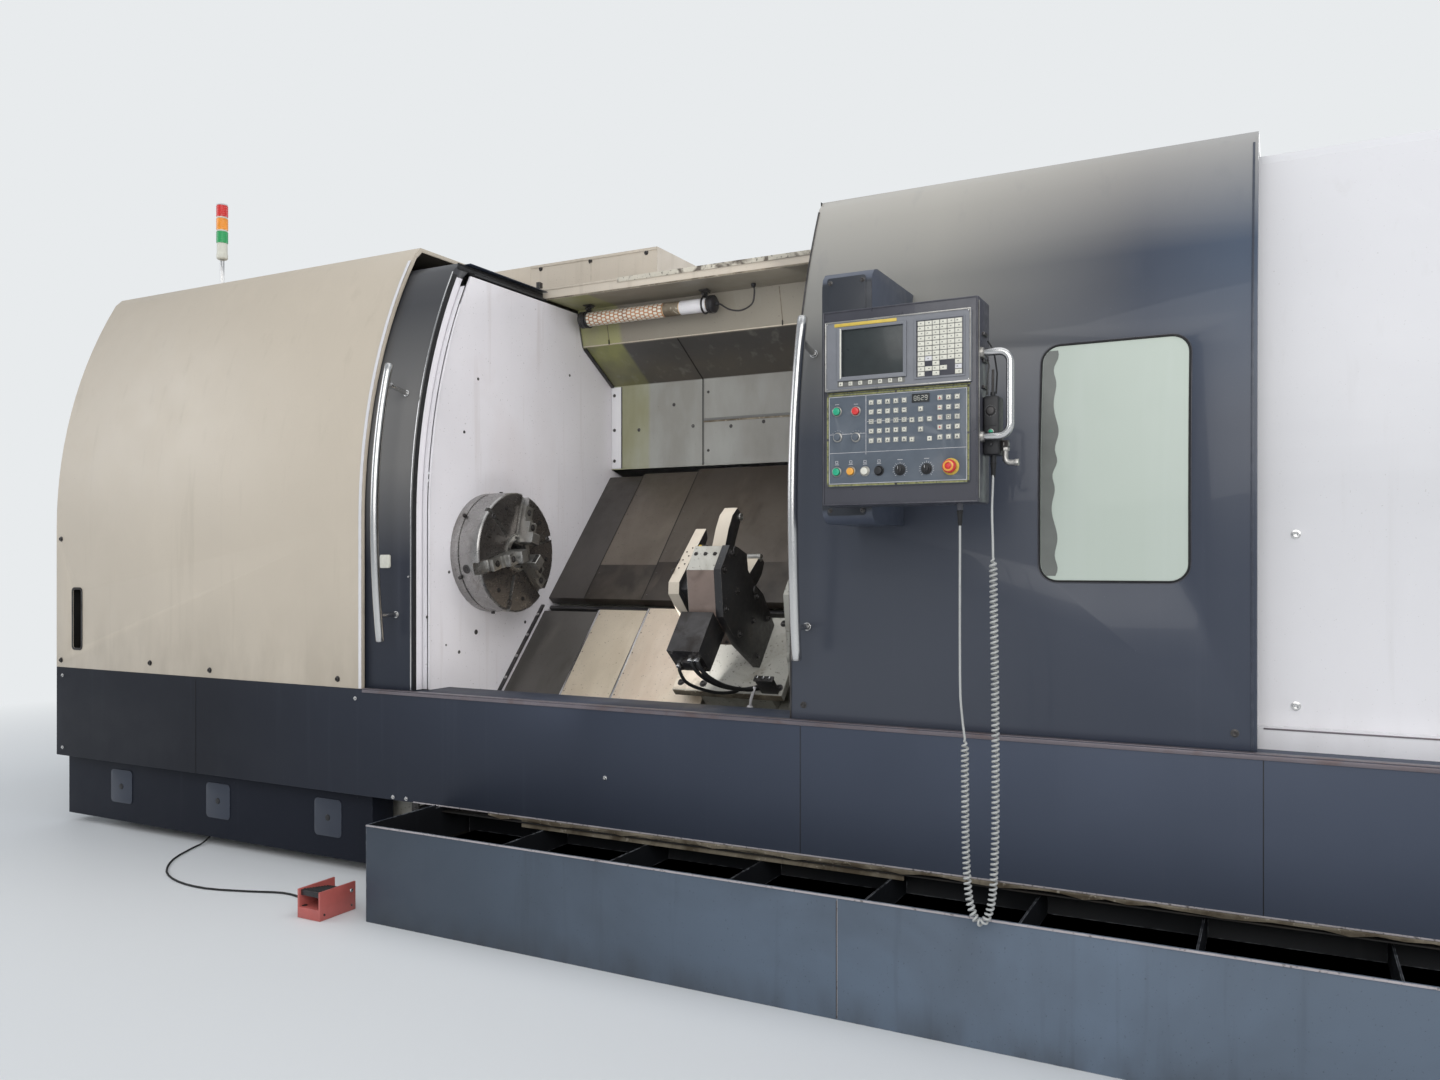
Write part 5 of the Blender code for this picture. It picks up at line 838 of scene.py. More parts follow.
def right_housing():
    face = front(0.12)
    kit = Kit("right_housing_details", "machine", "white_paint", facing(face))
    kit.screws(((2.14, 0.90), (2.14, 1.38), (3.30, 0.90), (3.30, 1.38), (2.72, 0.90)), 0.009, 0.0,
               look=BRIGHT)
    kit.frame = WORLD
    ledge = face - 0.045
    kit.box((2.06, ledge - 0.0022, 0.836), (SILL_RIGHT, ledge - 0.0003, 0.8405), MIRROR_STRIP)
    for x in (1.4, 2.2, 3.0):
        for depth in (0.60, 0.80):
            kit.turn(cap(0.010, 0.022, 0.006, 0.026, 0.0004), DARK_STEEL, (x, front(depth), RIGHT_TOP),
                     steps=16)
    kit.frame = lengthwise(RIGHT_X)
    for index in range(14):
        z = 1.05 + index * 0.035
        kit.box((0.10, z, 0.0004), (0.62, z + 0.006, 0.010), WHITE)
        # Near-black between the slats: painted shade.
        kit.box((0.10, z + 0.007, 0.0004), (0.62, z + 0.020, 0.0012), RECESS_SHADE)
    kit.prism(rounded(0.06, 0.66, 1.02, 1.56, 0.02), 0.0002, 0.0036, WHITE)
    kit.screws(((-0.45, 1.0), (-0.45, 2.2), (0.9, 1.0), (0.9, 2.2), (0.2, 0.9), (0.2, 2.3)), 0.009, 0.0)
    kit.box((-0.06, 0.82, 0.0003), (-0.052, 2.50, 0.0016), WHITE)
    kit.done(0.0006)


def roof():
    """The roof's front edge, its raised box, seams, bolts and lifting eyes."""
    kit = Kit("roof_details", "machine", "white_paint", facing(front(0.88)))
    left, right = HEAD_RIGHT_X + 0.01, 3.34
    kit.box((left, 2.598, 0.0003), (right, 2.604, 0.0040), ROOF_CREAM)
    kit.box((left, 2.5525, 0.0003), (right, 2.559, 0.0024), OILY)
    kit.prism([(-0.60, 2.5875), (0.62, 2.5905), (0.62, 2.6095), (-0.60, 2.6095)], 0.0042, 0.0050, ROOF_DIRT)
    hump = front(1.10)
    kit.frame = facing(hump)
    kit.screws([(x, z) for z in (2.63, 2.778) for x in (-1.20, -0.90, -0.58)], 0.008, 0.0)
    kit.box((-0.90, 2.6105, 0.0003), (-0.894, 2.797, 0.0016), ROOF_CREAM)
    kit.box((-1.262, 2.786, 0.0003), (-0.522, 2.792, 0.0030), ROOF_CREAM)
    kit.frame = WORLD
    kit.box((-1.66, hump + 0.0005, HEAD_TOP + 0.0005), (-1.2645, hump + 0.38, 2.7995), ROOF_CREAM)
    kit.box((-1.10, front(0.93), 2.6103), (-1.08, front(0.955), 2.66), DARK_STEEL)
    kit.box((-1.12, front(0.93), 2.6103), (-1.06, front(0.99), 2.614), DARK_STEEL)
    for x in (0.4, 1.2, 2.0, 2.8):
        kit.box((x, front(0.90), 2.6102), (x + 0.02, front(1.92), 2.613), ROOF_CREAM)
        kit.screws([(x + 0.01, front(depth)) for depth in (1.05, 1.75)], 0.008, 2.613)
    for x in (0.0, 1.6, 3.1):
        eye_bolt(kit, x, front(1.4), ROOF_TOP)
    kit.done(0.0006)


def rear():
    """Louvres, doors with hinges and knobs, the main switch, the conduit and the seams at the rear."""
    kit = Kit("rear_details", "machine", "white_paint", behind(REAR_Y))
    for x in (2.6, -1.9):
        for index in range(8):
            z = 1.55 + index * 0.045 + 0.016
            kit.box((x - 0.25, z, 0.0003), (x + 0.25, z + 0.004, 0.016), WHITE)
        kit.box((x - 0.28, 1.50, 0.0003), (x - 0.27, 1.95, 0.004), WHITE)
        kit.box((x + 0.27, 1.50, 0.0003), (x + 0.28, 1.95, 0.004), WHITE)
    for sides in REAR_DOORS:
        left, right, low, top = sides
        kit.prism(rounded(*sides, 0.02), 0.0003, 0.010, WHITE)
        kit.prism(rounded(*inset(sides, 0.02), 0.015), 0.010, 0.0112, WHITE)
        for z in (low + 0.12, top - 0.12):
            kit.patch(about(left, z, 0.012, 0.03), (0.0003, 0.016), DARK_STEEL)
            kit.turn(cap(0.022, 0.011, 0.018, 0.013, 0.0112), BLACK, (right - 0.05, z, 0.0), steps=14)
        kit.screws([(x, z) for x in (left + 0.04, right - 0.04) for z in (low + 0.04, top - 0.04)], 0.007,
                   0.0112)
    kit.prism(rounded(1.02, 1.18, 1.20, 1.36, 0.012), 0.0003, 0.006, YELLOW)
    kit.turn([(0, 0.034), (0.018, 0.034), (0.030, 0.020), (0.032, 0.006), (0, 0.006)], RED, (1.10, 1.28, 0.0))
    kit.box((1.094, 1.245, 0.030), (1.106, 1.315, 0.042), RED)
    kit.tube([(3.0, 0.42, 0.02), (3.0, 0.30, 0.02), (2.6, 0.26, 0.02), (1.4, 0.25, 0.02), (1.0, 0.30, 0.02),
              (0.95, 0.42, 0.02)], 0.014, RUBBER)
    for x in (3.0, 0.95):
        kit.turn([(0.015, 0.05), (0.022, 0.05), (0.024, 0.0), (0.015, 0.0)], BLACK, (x, 0.40, 0.02),
                 (0, 1, 0), 12)
    for x in (-1.8, -1.0, 1.0, 2.25):
        kit.box((x, 0.36, 0.0003), (x + 0.006, 2.60, 0.0018), WHITE)
        kit.screws([(x + 0.03, z) for z in (0.50, 1.00, 1.50, 2.0, 2.5)], 0.007, 0.0)
    kit.done(0.0008)


# Doors
TRIM_LOW = 0.784
EDGE_TOP = 2.53
ROOF_EDGE_DEPTH = 0.872
WINDOW = (1.465, 1.873, 1.248, 1.952)
WINDOW_RADIUS = 0.05
BAR_LOW, BAR_TOP = 0.99, 2.10
POST_LEVELS = (1.09, 2.00)
LEFT_BAR_X = LEFT_DOOR_X[1] - 0.081
RIGHT_BAR_X = RIGHT_DOOR_X[0] + 0.063
GRIP_LOW, GRIP_TOP = 1.631, 1.851


def window_ring(kit, grow, radius, out, look, steps=8):
    """A round bead along the window's edge, on the bowed door."""
    outline = rounded(*inset(WINDOW, -grow), WINDOW_RADIUS + grow, 7)
    dense = []
    for (x0, z0), (x1, z1) in zip(outline, outline[1:] + outline[:1]):
        parts = max(1, round(math.hypot(x1 - x0, z1 - z0) / 0.05))
        dense += [(x0 + (x1 - x0) * i / parts, z0 + (z1 - z0) * i / parts) for i in range(parts)]
    kit.tube([(x, bowed(z, out), z) for x, z in dense], radius, look, steps, True)


def left_door_trim():
    """The left door's edge seals, its inner lip, the catch plate and the handle's flanges."""
    kit = Kit("left_door_details", "left_door", "blue_grey_paint")
    x, rear = LEFT_DOOR_X[1], front(ROOF_EDGE_DEPTH)
    for low, high, inner, outer, top, look in (
            (0.0002, 0.0014, -0.026, -0.003, EDGE_TOP, RUBBER), (0.0002, 0.0012, -0.059, -0.0265, 2.52, WALL),
            (-0.022, 0.0225, -0.0650, -0.0618, 2.485, WALL), (-0.006, 0, 0.0005, 0.0024, 2.54, BRIGHT)):
        kit.strip(x + low, x + high, inner, outer, TRIM_LOW, top, look, 24)
    for low, high, look in ((2.5562, 2.5640, RUBBER), (2.5652, 2.5740, BLACK), (2.5752, 2.5840, RUBBER)):
        kit.box((x + 0.0002, bowed(EDGE_TOP) + 0.03, low), (x + 0.0014, rear, high), look)
    inner = bowed(2.50) + 0.13
    for left, right, low, high, look in ((-0.022, 0.019, 2.5500, 2.5546, RUBBER),
                                         (0.0195, 0.0225, 2.5440, 2.5546, BLACK),
                                         (-0.022, 0.0195, 2.5440, 2.5498, BLACK)):
        kit.box((x + left, inner, low), (x + right, rear, high), look)
    kit.box((x - 0.010, bowed(2.55) + 0.07, DOOR_TOP + 0.0004), (x + 0.030, front(0.874), DOOR_TOP + 0.0035),
            NAVY)
    kit.frame = facing(DOOR_Y)
    kit.prism(rounded(-1.185, -1.131, 1.280, 1.334, 0.008), 0.0004, 0.008, IVORY)
    kit.turn(cap(0.004, 0.004, 0.002, 0.005, 0.0004), BRIGHT, (-1.034, 1.2446, 0))
    kit.frame = WORLD
    post_flanges(kit, LEFT_BAR_X)
    kit.done(0.0006)


def right_door_trim():
    """The right door's edge seals, the window's beads and the handle's flanges."""
    kit = Kit("right_door_details", "right_door", "blue_grey_paint")
    x = RIGHT_DOOR_X[0]
    kit.strip(x - 0.0014, x - 0.0002, -0.058, -0.003, TRIM_LOW, EDGE_TOP, RUBBER, 24)
    kit.strip(x, x + 0.006, 0.0005, 0.0024, TRIM_LOW, 2.54, DARK_STEEL, 24)
    kit.strip(2.030, 2.036, 0.0005, 0.0020, TRIM_LOW, 2.54, NAVY, 24)
    kit.box((x - 0.0014, bowed(EDGE_TOP) + 0.03, 2.5562), (x - 0.0002, front(ROOF_EDGE_DEPTH), 2.5840),
            RUBBER)
    window_ring(kit, 0.0015, 0.0030, 0.0005, RUBBER)
    window_ring(kit, 0.0060, 0.0016, 0.0004, BOX_DARK, 6)
    post_flanges(kit, RIGHT_BAR_X)
    for depth in (0.30, 0.62):
        y = front(depth) + 0.12
        kit.box((0.80, y, DOOR_TOP + 0.0004), (1.92, y + 0.010, DOOR_TOP + 0.004), NAVY)
    kit.frame = facing(DOOR_Y)
    kit.screws(((0.70, 0.83), (1.99, 0.83)), 0.008, 0.0)
    kit.done(0.0006)


def window_film():
    """The torn film that is left along the window's left side."""
    kit = Kit("window_film", "right_door", "black_plastic")
    left, _, low, top = WINDOW
    count, edge = 56, left + 0.0025
    points = []
    for i in range(count + 1):
        z = 1.262 + 0.676 * i / count
        wave = 0.5 + 0.5 * math.sin(i * 0.72 + 1.1 * math.sin(i * 0.23))
        narrow = 0.030 + 0.010 * wave + 0.010 * math.sin(i * 0.11 + 1)**2
        corner = max(0.0, WINDOW_RADIUS - min(z - low, top - z))
        inside = WINDOW_RADIUS - math.sqrt(max(0.0, WINDOW_RADIUS**2 - corner**2))
        x0, x1 = edge + inside, edge + max(inside + 0.006, narrow)
        points += [(x, bowed(z, out), z) for x, out in ((x0, 0.0002), (x1, 0.0002), (x1, 0.0012),
                                                        (x0, 0.0012))]
    faces = [(a + k, a + (k + 1) % 4, a + 4 + (k + 1) % 4, a + 4 + k) for a in range(0, 4 * count,
                                                                                     4) for k in range(4)]
    kit.raw(points, faces + [(3, 2, 1, 0), tuple(range(len(points) - 4, len(points)))], FILM)
    kit.done(0)


def bar_reach(z):
    """How far the handle stands out from its door, less toward its lower end."""
    return 0.12 - 0.03 * max(0.0, (1.48 - z) / 0.49)**2


def post_foot(x, z):
    """Where a handle's post meets the bowed door, and the way it points."""
    lean = math.asin(max(0, z - KNEE_Z) / ARC)
    out = Vector((0, -math.cos(lean), math.sin(lean)))
    return Vector((x, front(ARC), min(z, KNEE_Z))) + out * ARC, out


def post_flanges(kit, x):
    for z in POST_LEVELS:
        foot, out = post_foot(x, z)
        kit.turn([(0.0102, 0.005), (0.0135, 0.005), (0.0145, 0.003), (0.0145, 0.0004), (0.0102, 0.0004)],
                 BRIGHT, foot, out, 20)
        kit.turn([(0.0102, 0.101), (0.0125, 0.101), (0.0135, 0.096), (0.0135, 0.088), (0.0102, 0.084)],
                 BRIGHT, foot, out, 20)
    lean = math.asin((BAR_TOP - KNEE_Z) / ARC)
    for z, along in ((BAR_LOW, Vector((0, 0.122, -1))), (BAR_TOP,
                                                         Vector((0, math.sin(lean), math.cos(lean))))):
        tip = Vector((x, bowed(z, bar_reach(z)), z))
        kit.turn([(0, 0.0065), (0.0125, 0.0060), (0.0158, 0.0035), (0.0165, 0.0006), (0, 0.0006)], BRIGHT,
                 tip, along, 20)


def door_bar(name, body, x, node):
    """A door's bowed handle on its two posts, rounder than its CAD solid."""
    kit = Kit(name, body, "bright_steel")
    levels = [BAR_LOW + (BAR_TOP - BAR_LOW) * i / 36 for i in range(37)]
    kit.tube([(x, bowed(z, bar_reach(z)), z) for z in levels], 0.017, BRIGHT, 24)
    for z in POST_LEVELS:
        foot, out = post_foot(x, z)
        kit.tube([foot + out * 0.0004, foot + out * 0.115], 0.010, BRIGHT, 16)
    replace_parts(kit.done(0.001), node)


def handles():
    door_bar("left_door_bar", "left_door", LEFT_BAR_X, "left_door_handle")
    door_bar("right_door_bar", "right_door", RIGHT_BAR_X, "right_door_handle")
    kit = Kit("pendant_grip", "pendant", "bright_steel")
    side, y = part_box("pendant_box")[1][0] + 0.0005, front(-0.475)
    corner, reach = 0.03, 1.482
    points = [(side, y, GRIP_LOW)]
    for z, start in ((GRIP_LOW + corner, -90), (GRIP_TOP - corner, 0)):
        for step in range(9):
            angle = math.radians(start + 11.25 * step)
            points.append((reach - corner + corner * math.cos(angle), y, z + corner * math.sin(angle)))
    kit.tube(points + [(side, y, GRIP_TOP)], 0.010, BRIGHT, 18)
    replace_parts(kit.done(0.001), "pendant_handle")


# Walls around the work
WALL_DEPTH = 1.433
WALL_LOW, WALL_TOP = 1.79, 2.212
WALL_SEAMS = (-0.4533, 0.35, 1.15, 1.95)
FASCIA_DEPTH = 1.174
SIDE = -0.9935
BULKHEAD_PLUGS = ((-0.5147, 1.2624, 0.006), (-0.3437, 1.0011, 0.010), (-0.4526, 0.9223, 0.007),
                  (-0.6461, 1.0795, 0.006), (-0.533, 0.9575, 0.004), (-0.0021, 1.0279, 0.007),
                  (-0.4776, 1.3973, 0.006), (-0.33, 2.10, 0.006), (-0.42, 1.86, 0.006), (0.35, 2.22, 0.006))
WALL_PLUGS = ((-0.8273, 1.984), (-0.5102, 1.986), (-0.2969, 1.9735), (-0.62, 2.10), (-0.12, 1.985),
              (0.15, 1.97))


def bulkhead_fittings():
    kit = Kit("bulkhead_fittings", "machine", "white_paint", lengthwise(BULKHEAD_X))
    for y, z, radius in BULKHEAD_PLUGS:
        kit.turn([(0, 0.0004), (radius * 0.6, 0.0004), (radius * 0.75, 0.0020), (radius, 0.0020),
                  (radius * 1.15, 0.0002), (0, 0.0002)], DARK_STEEL, (y, z, 0.0), steps=14)
    kit.turn([(0.225, 0.0005), (0.222, 0.0032), (0.218, 0.0030), (0.215, 0.0005), (0.185, 0.0005)],
             DARK_STEEL, (AXIS_Y, AXIS_Z, 0.0), steps=48)
    kit.frame = SLOPE
    kit.prism([(0.456, -0.5445), (0.456, -0.430), (0.446, -0.430), (0.446, -0.5445)], SIDE, -0.03,
              BLACK_PAINT)
    kit.box((-0.060, -0.444, SIDE), (0.452, -0.436, -0.976), BLACK_PAINT)
    for along in (0.0, 0.12, 0.24, 0.36, 0.44):
        kit.screw((along, -0.436, -0.984), 0.005, (0, 1, 0), BRIGHT)
    kit.prism([(0.438, -0.4355), (0.480, -0.4355), (0.492, -0.456), (0.470, -0.52), (0.456, -0.52)], SIDE,
              -0.93, BLACK_PAINT)
    kit.frame = WORLD
    kit.strip(SIDE, -0.988, -0.0745, -0.066, TRIM_LOW, 2.40, WALL)
    kit.frame = lengthwise()
    kit.prism([(-0.641, 0.7825), (-0.60, 0.7825), (-0.612, 0.84), (-0.630, 0.875), (-0.641, 0.875)], -1.001,
              -0.9945, BLACK_PAINT)
    kit.done(0.0006)


def between(low, high):
    """(along, out, x) of a sloping sheet, from its lower edge to its upper one."""
    rise = (high - low).normalized()
    return Matrix(((0, 0, 1, 0), (rise.y, -rise.z, 0, low.y), (rise.z, rise.y, 0, low.z), (0, 0, 0, 1)))


def wall_fittings():
    """Seams, screws and plugs of the rear wall, the sloping ceiling and the lamp's fascia."""
    wall = front(WALL_DEPTH)
    kit = Kit("wall_fittings", "machine", "grey_panel", facing(wall))
    kit.box((-0.9925, WALL_LOW, 0.0004), (-0.9335, WALL_TOP, 0.0030), WHITE)
    kit.box((-0.9330, WALL_LOW, 0.0004), (-0.9290, WALL_TOP, 0.0050), BLACK_PAINT)
    for z in (1.83, 1.99, 2.17):
        kit.screw((-0.975, z, 0.003), 0.006)
    for x in WALL_SEAMS:
        kit.box((x - 0.0025, 1.788, 0.0004), (x + 0.0025, 2.2165, 0.0022), RECESS_SHADE)
        kit.box((x + 0.004, 1.788, 0.0004), (x + 0.007, 2.2165, 0.0016), GREY)
        for z in (1.86, 2.15):
            kit.screw((x + 0.03, z, 0.0), 0.005)
    kit.box((-0.4480, 2.008, 0.0004), (2.78, 2.020, 0.0060), GREY)
    kit.box((-0.4480, 2.000, 0.0004), (2.78, 2.0076, 0.0030), OILY)
    for x, z in WALL_PLUGS:
        kit.turn([(0, 0.0004), (0.004, 0.0004), (0.006, 0.0022), (0.008, 0.0022), (0.0095, 0.0004),
                  (0, 0.0002)], DARK_STEEL, (x, z, 0.0), steps=12)
    across = Vector((0, -0.259, 0.158)).normalized()
    inward = Vector((0, -0.158, -0.259)).normalized()
    kit.frame = Matrix(((0, 0, 1, 0), (across.y, inward.y, 0, wall), (across.z, inward.z, 0, 2.217),
                        (0, 0, 0, 1)))
    for x in WALL_SEAMS:
        kit.box((0.002, 0.0006, x - 0.003), (0.300, 0.0022, x + 0.003), RECESS_SHADE)
    kit.box((0.002, 0.0006, -0.9925), (0.300, 0.010, -0.975), BLACK_PAINT)
    fascia = front(FASCIA_DEPTH)
    for x in (-0.835, 0.10, 1.05, 1.95):
        kit.frame = WORLD
        kit.box((x - 0.0015, fascia - 0.012, 2.377), (x + 0.0015, fascia - 0.0005, 2.40), RECESS_SHADE)
        kit.frame = between(Vector((0, fascia, 2.375)), Vector((0, front(1.129), 2.551)))
        kit.box((0.004, 0.0006, x - 0.0018), (0.176, 0.0018, x + 0.0018), OILY)
    kit.frame = WORLD
    kit.box((-0.992, fascia - 0.0040, 2.376), (2.79, fascia - 0.0008, 2.381), CREAM)
    kit.done(0.0004)


def cover_edge(name, body, x, alongs, out, look, bolts):
    """The edge of a way's cover: its bright or dark rim, its wiper and its rivets."""
    kit = Kit(name, body, "stained_steel", SLOPE)
    low, high = alongs
    width = 0.010 if look is BRIGHT else 0.0025
    kit.box((low + 0.004, out + 0.0003, x + 0.0005), (high - 0.004, out + 0.0016, x + width), look)
    kit.box((low + 0.004, out - 0.0076, x - 0.0024), (high - 0.004, out - 0.0003, x - 0.0004), RUBBER)
    for index in range(bolts):
        along = low + 0.03 + (high - low - 0.06) * index / (bolts - 1)
        kit.turn(disc(0.0026, 0.0024, 0.0016, 0.0034), DARK_STEEL, (along, out, x + 0.018), (0, 1, 0), 10)
    kit.done(0.0003)


def cover_details():
    upper, lower, layer = (-0.945, -0.105), (-0.070, 0.430), 0.008
    cover_edge("upper_middle_edge", "upper_middle", -0.785, (upper[0] + layer, upper[1] - layer), -0.453,
               RECESS_SHADE, 7)
    cover_edge("upper_carriage_edge", "carriage", -0.464, upper, -0.445, RECESS_SHADE, 7)
    cover_edge("lower_middle_edge", "lower_middle", -0.684, (lower[0] + layer, lower[1] - layer), -0.467,
               BRIGHT, 5)
    cover_edge("lower_steady_edge", "steady", -0.417, lower, -0.459, BRIGHT, 5)
    kit = Kit("cover_shelf", "machine", "stained_steel", SLOPE)
    kit.prism([(-0.095, -0.5445), (-0.095, -0.488), (-0.080, -0.488), (-0.080, -0.5445)], -0.985, 1.9,
              BLACK_PAINT)
    kit.done(0.0006)


# Spindle end
CHUCK_FACE = -0.844
JAW_TURN = 76  # degrees, the first jaw's place round the axis
JAW_STEPS = ((0.040, 0.0066), (0.205, 0.0066), (0.205, 0.030), (0.152, 0.030), (0.152, 0.036), (0.134, 0.036),
             (0.134, 0.058), (0.128, 0.062), (0.085, 0.062), (0.085, 0.084), (0.080, 0.088), (0.042, 0.088),
             (0.038, 0.080))


def chuck_fittings():
    """Bolts, rings and plugs on the chuck's face and its rim."""
    kit = Kit("chuck_fittings", "spindle", "bright_steel", lengthwise(CHUCK_FACE, AXIS_Y, AXIS_Z))
    for index in range(3):
        middle = JAW_TURN + 120 * index + 60
        for spread in (24, -24):
            kit.screws(circle(1, 0.205, math.radians(middle + spread)), 0.007, 0.0, look=RECESS_SHADE)
        kit.turn([(0, 0.0005), (0.006, 0.0005), (0.009, 0.003), (0.012, 0.003), (0.0135, 0.0003),
                  (0, 0.0003)], DARK_STEEL, (*circle(1, 0.222, math.radians(middle))[0], 0.0), steps=14)
    for inner, outer, high in ((0.0555, 0.078, 0.0055), (0.080, 0.083, 0.002)):
        kit.turn([(inner, high), (outer, high), (outer, 0.0003), (inner, 0.0003)], SILVER, steps=40)
    for index in range(6):
        angle = math.radians(60 * index + 24)
        out = Vector((math.cos(angle), math.sin(angle), 0))
        kit.turn(cap(0.010, 0.008, 0.008, 0.009, -0.004), DARK_STEEL, out * 0.2592 + Vector((0, 0, -0.112)),
                 out, 6)
    kit.screws(circle(6, 0.067, math.radians(JAW_TURN + 30)), 0.0045, 0.0055)
    for index in range(3):
        angle = math.radians(JAW_TURN + 120 * index)
        out = (math.cos(angle), math.sin(angle), 0)
        spot = (0.2602 * out[0], 0.2602 * out[1], -0.07)
        kit.turn(disc(0.0012, 0.018, 0.0004, 0.020), DARK_STEEL, spot, out, 20)
        # The key hole's near-black inside is painted shade.
        kit.turn([(0, -0.006), (0.0105, 0.0012), (0.0105, 0.0020), (0.0065, 0.0020), (0.0065, -0.004),
                  (0, -0.004)], RECESS_SHADE, spot, out, 6)
    kit.done(0.0006)


def jaw(number):
    """One stepped jaw on its toothed base, with its two bolts and the grooves of its grip."""
    angle = math.radians(JAW_TURN + 120 * (number - 1))
    kit = Kit(f"jaw_{number}_detail", f"jaw_{number}", "bright_steel", Matrix((
        (0, 1, 0, CHUCK_FACE), (math.cos(angle), 0, -math.sin(angle), AXIS_Y),
        (math.sin(angle), 0, math.cos(angle), AXIS_Z), (0, 0, 0, 1))))
    kit.box((0.035, -0.034, -0.0255), (0.215, 0.0025, 0.0255), SILVER)
    teeth = []
    for i in range(27):
        r = 0.044 + i * 0.0062
        teeth += [(r, 0.0028), (r + 0.0031, 0.0062)]
    kit.prism([(0.042, 0.0028)] + teeth + [(0.212, 0.0028)], -0.0235, 0.0235, SILVER)
    kit.prism(JAW_STEPS, -0.0255, 0.0255, SILVER)
    for r, height in ((0.110, 0.062), (0.178, 0.030)):
        kit.turn([(0.0075, 0.0006), (0.0135, 0.0006), (0.0145, 0.0002), (0.0075, 0.0002)], DARK_STEEL,
                 (r, height, 0.0), (0, 1, 0), 18)
        kit.turn([(0, 0.0003), (0.0035, 0.0003), (0.004, 0.0042), (0.0068, 0.0045), (0.0075, 0.0035),
                  (0.0075, 0.0002), (0, 0.0002)], DARK_STEEL, (r, height, 0.0), (0, 1, 0), 14)
    for i in range(8):
        high = 0.068 + i * 0.0022
        kit.box((0.0362, high, -0.022), (0.0392, high + 0.0012, 0.022), DARK_STEEL)
    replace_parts(kit.done(0.0009), f"chuck_jaw_{number}")


def chuck():
    chuck_fittings()
    for number in (1, 2, 3):
        jaw(number)


# Steady rest, turret and tailstock, in (along the slope, out of it, x)
PLATE = ((0.112, 0.160), (0.225, 0.155), (0.345, 0.025), (0.345, -0.15), (0.300, -0.3497), (0.090, -0.3497),
         (0.062, -0.185), (0.081, -0.099), (0.080, -0.02), (0.040, 0.030), (0.070, 0.100))
CASE = ((0.113, 0.157), (0.225, 0.150), (0.341, 0.023), (0.341, -0.150), (0.113, -0.150))
CASE_EDGE = ((0.2265, 0.1515), (0.3425, 0.0245), (0.3425, -0.149), (0.3415, -0.149), (0.3415, 0.0238),
             (0.2258, 0.1505))
GUIDE = ((-0.040, 0.088), (0.255, 0.114), (0.290, 0.087), (0.304, -0.072), (0.270, -0.110), (0.120, -0.110),
         (0.095, -0.030), (0.050, 0.045), (-0.020, 0.055))
CYLINDER = ((0.343, 0.05), (0.52, 0.045), (0.52, -0.075), (0.343, -0.075))
GUIDE_SCREWS = ((0.14, 0.10), (0.20, 0.11), (0.25, 0.06), (0.25, -0.06), (0.16, -0.08), (0.02, 0.078))
PLATE_SCREWS = ((0.13, 0.135), (0.21, 0.135), (0.31, 0.03), (0.31, -0.12), (0.11, -0.28), (0.28, -0.30),
                (0.11, -0.14), (0.20, 0.0), (0.20, -0.18))
LONG_HOSE = ((0.52, 0.010, 0.215), (0.545, 0.0, 0.222), (0.55, -0.06, 0.235), (0.52, -0.16, 0.255),
             (0.46, -0.27, 0.28), (0.415, -0.325, 0.30), (0.39, -0.340, 0.33))
SHORT_HOSE = ((0.52, -0.03, 0.150), (0.545, -0.05, 0.150), (0.55, -0.12, 0.16), (0.50, -0.24, 0.20),
              (0.44, -0.32, 0.235), (0.405, -0.341, 0.24))
CLAW = ((0.104, 0.098), (0.108, 0.138), (0.030, 0.163), (-0.030, 0.172), (-0.080, 0.160),
        (-0.082, 0.120), (-0.050, 0.105), (0.010, 0.092), (0.060, 0.080))
# The ways that things point in this frame
DOWN_SLOPE, OUT, RIGHT, LEFT = (1, 0, 0), (0, 1, 0), (0, 0, 1), (0, 0, -1)


def steady_screws(kit):
    kit.screws(GUIDE_SCREWS, 0.009, 0.063, LEFT)
    kit.screws(PLATE_SCREWS, 0.010, 0.290, RIGHT)
    for x in (0.16, 0.20, 0.24):
        kit.screw((0.150, 0.1545, x), 0.006, OUT)
    for x in (0.158, 0.245):
        for out in (0.000, -0.130):
            kit.screw((0.341, out, x), 0.007, DOWN_SLOPE)
    for x, out in ((0.14, 0.03), (0.24, 0.03), (0.14, -0.06), (0.24, -0.06)):
        kit.screw((0.52, out, x), 0.009, DOWN_SLOPE, DARK_STEEL, True)
    kit.turn([(0, 0.020), (0.016, 0.020), (0.022, 0.014), (0.024, 0.0003), (0, 0.0003)], DARK_STEEL,
             (0.52, -0.015, 0.19), DOWN_SLOPE, 24)


def steady_oiling(kit):
    """The oil pipes' ends, the guide's marks and the claws' pins."""
    for x in (0.115, 0.128, 0.140):
        kit.turn(cap(0.030, 0.006, 0.020, 0.008, 0.0), YELLOW if x < 0.12 else DARK_STEEL,
                 (0.06, 0.062, x), (-0.4, 1, 0), 12)
    for index in range(6):
        kit.turn(disc(0.0012, 0.0035, 0.0002), RECESS_SHADE,
                 (0.07 + 0.022 * index, 0.0985 + 0.022 * index * 0.088, 0.085 + 0.008 * (-1)**index), OUT, 10)
    for out in (0.115, -0.115):
        kit.turn(cap(0.006, 0.016, 0.003, 0.018, 0.0003), DARK_STEEL, (0.10, out, 0.2903), RIGHT, 18)


def hose(kit, points, radius, fitting):
    route = smooth_route(points, 5)
    kit.tube(route, radius, RUBBER, 10)
    kit.turn(fitting, BRIGHT, route[0], DOWN_SLOPE, 6)


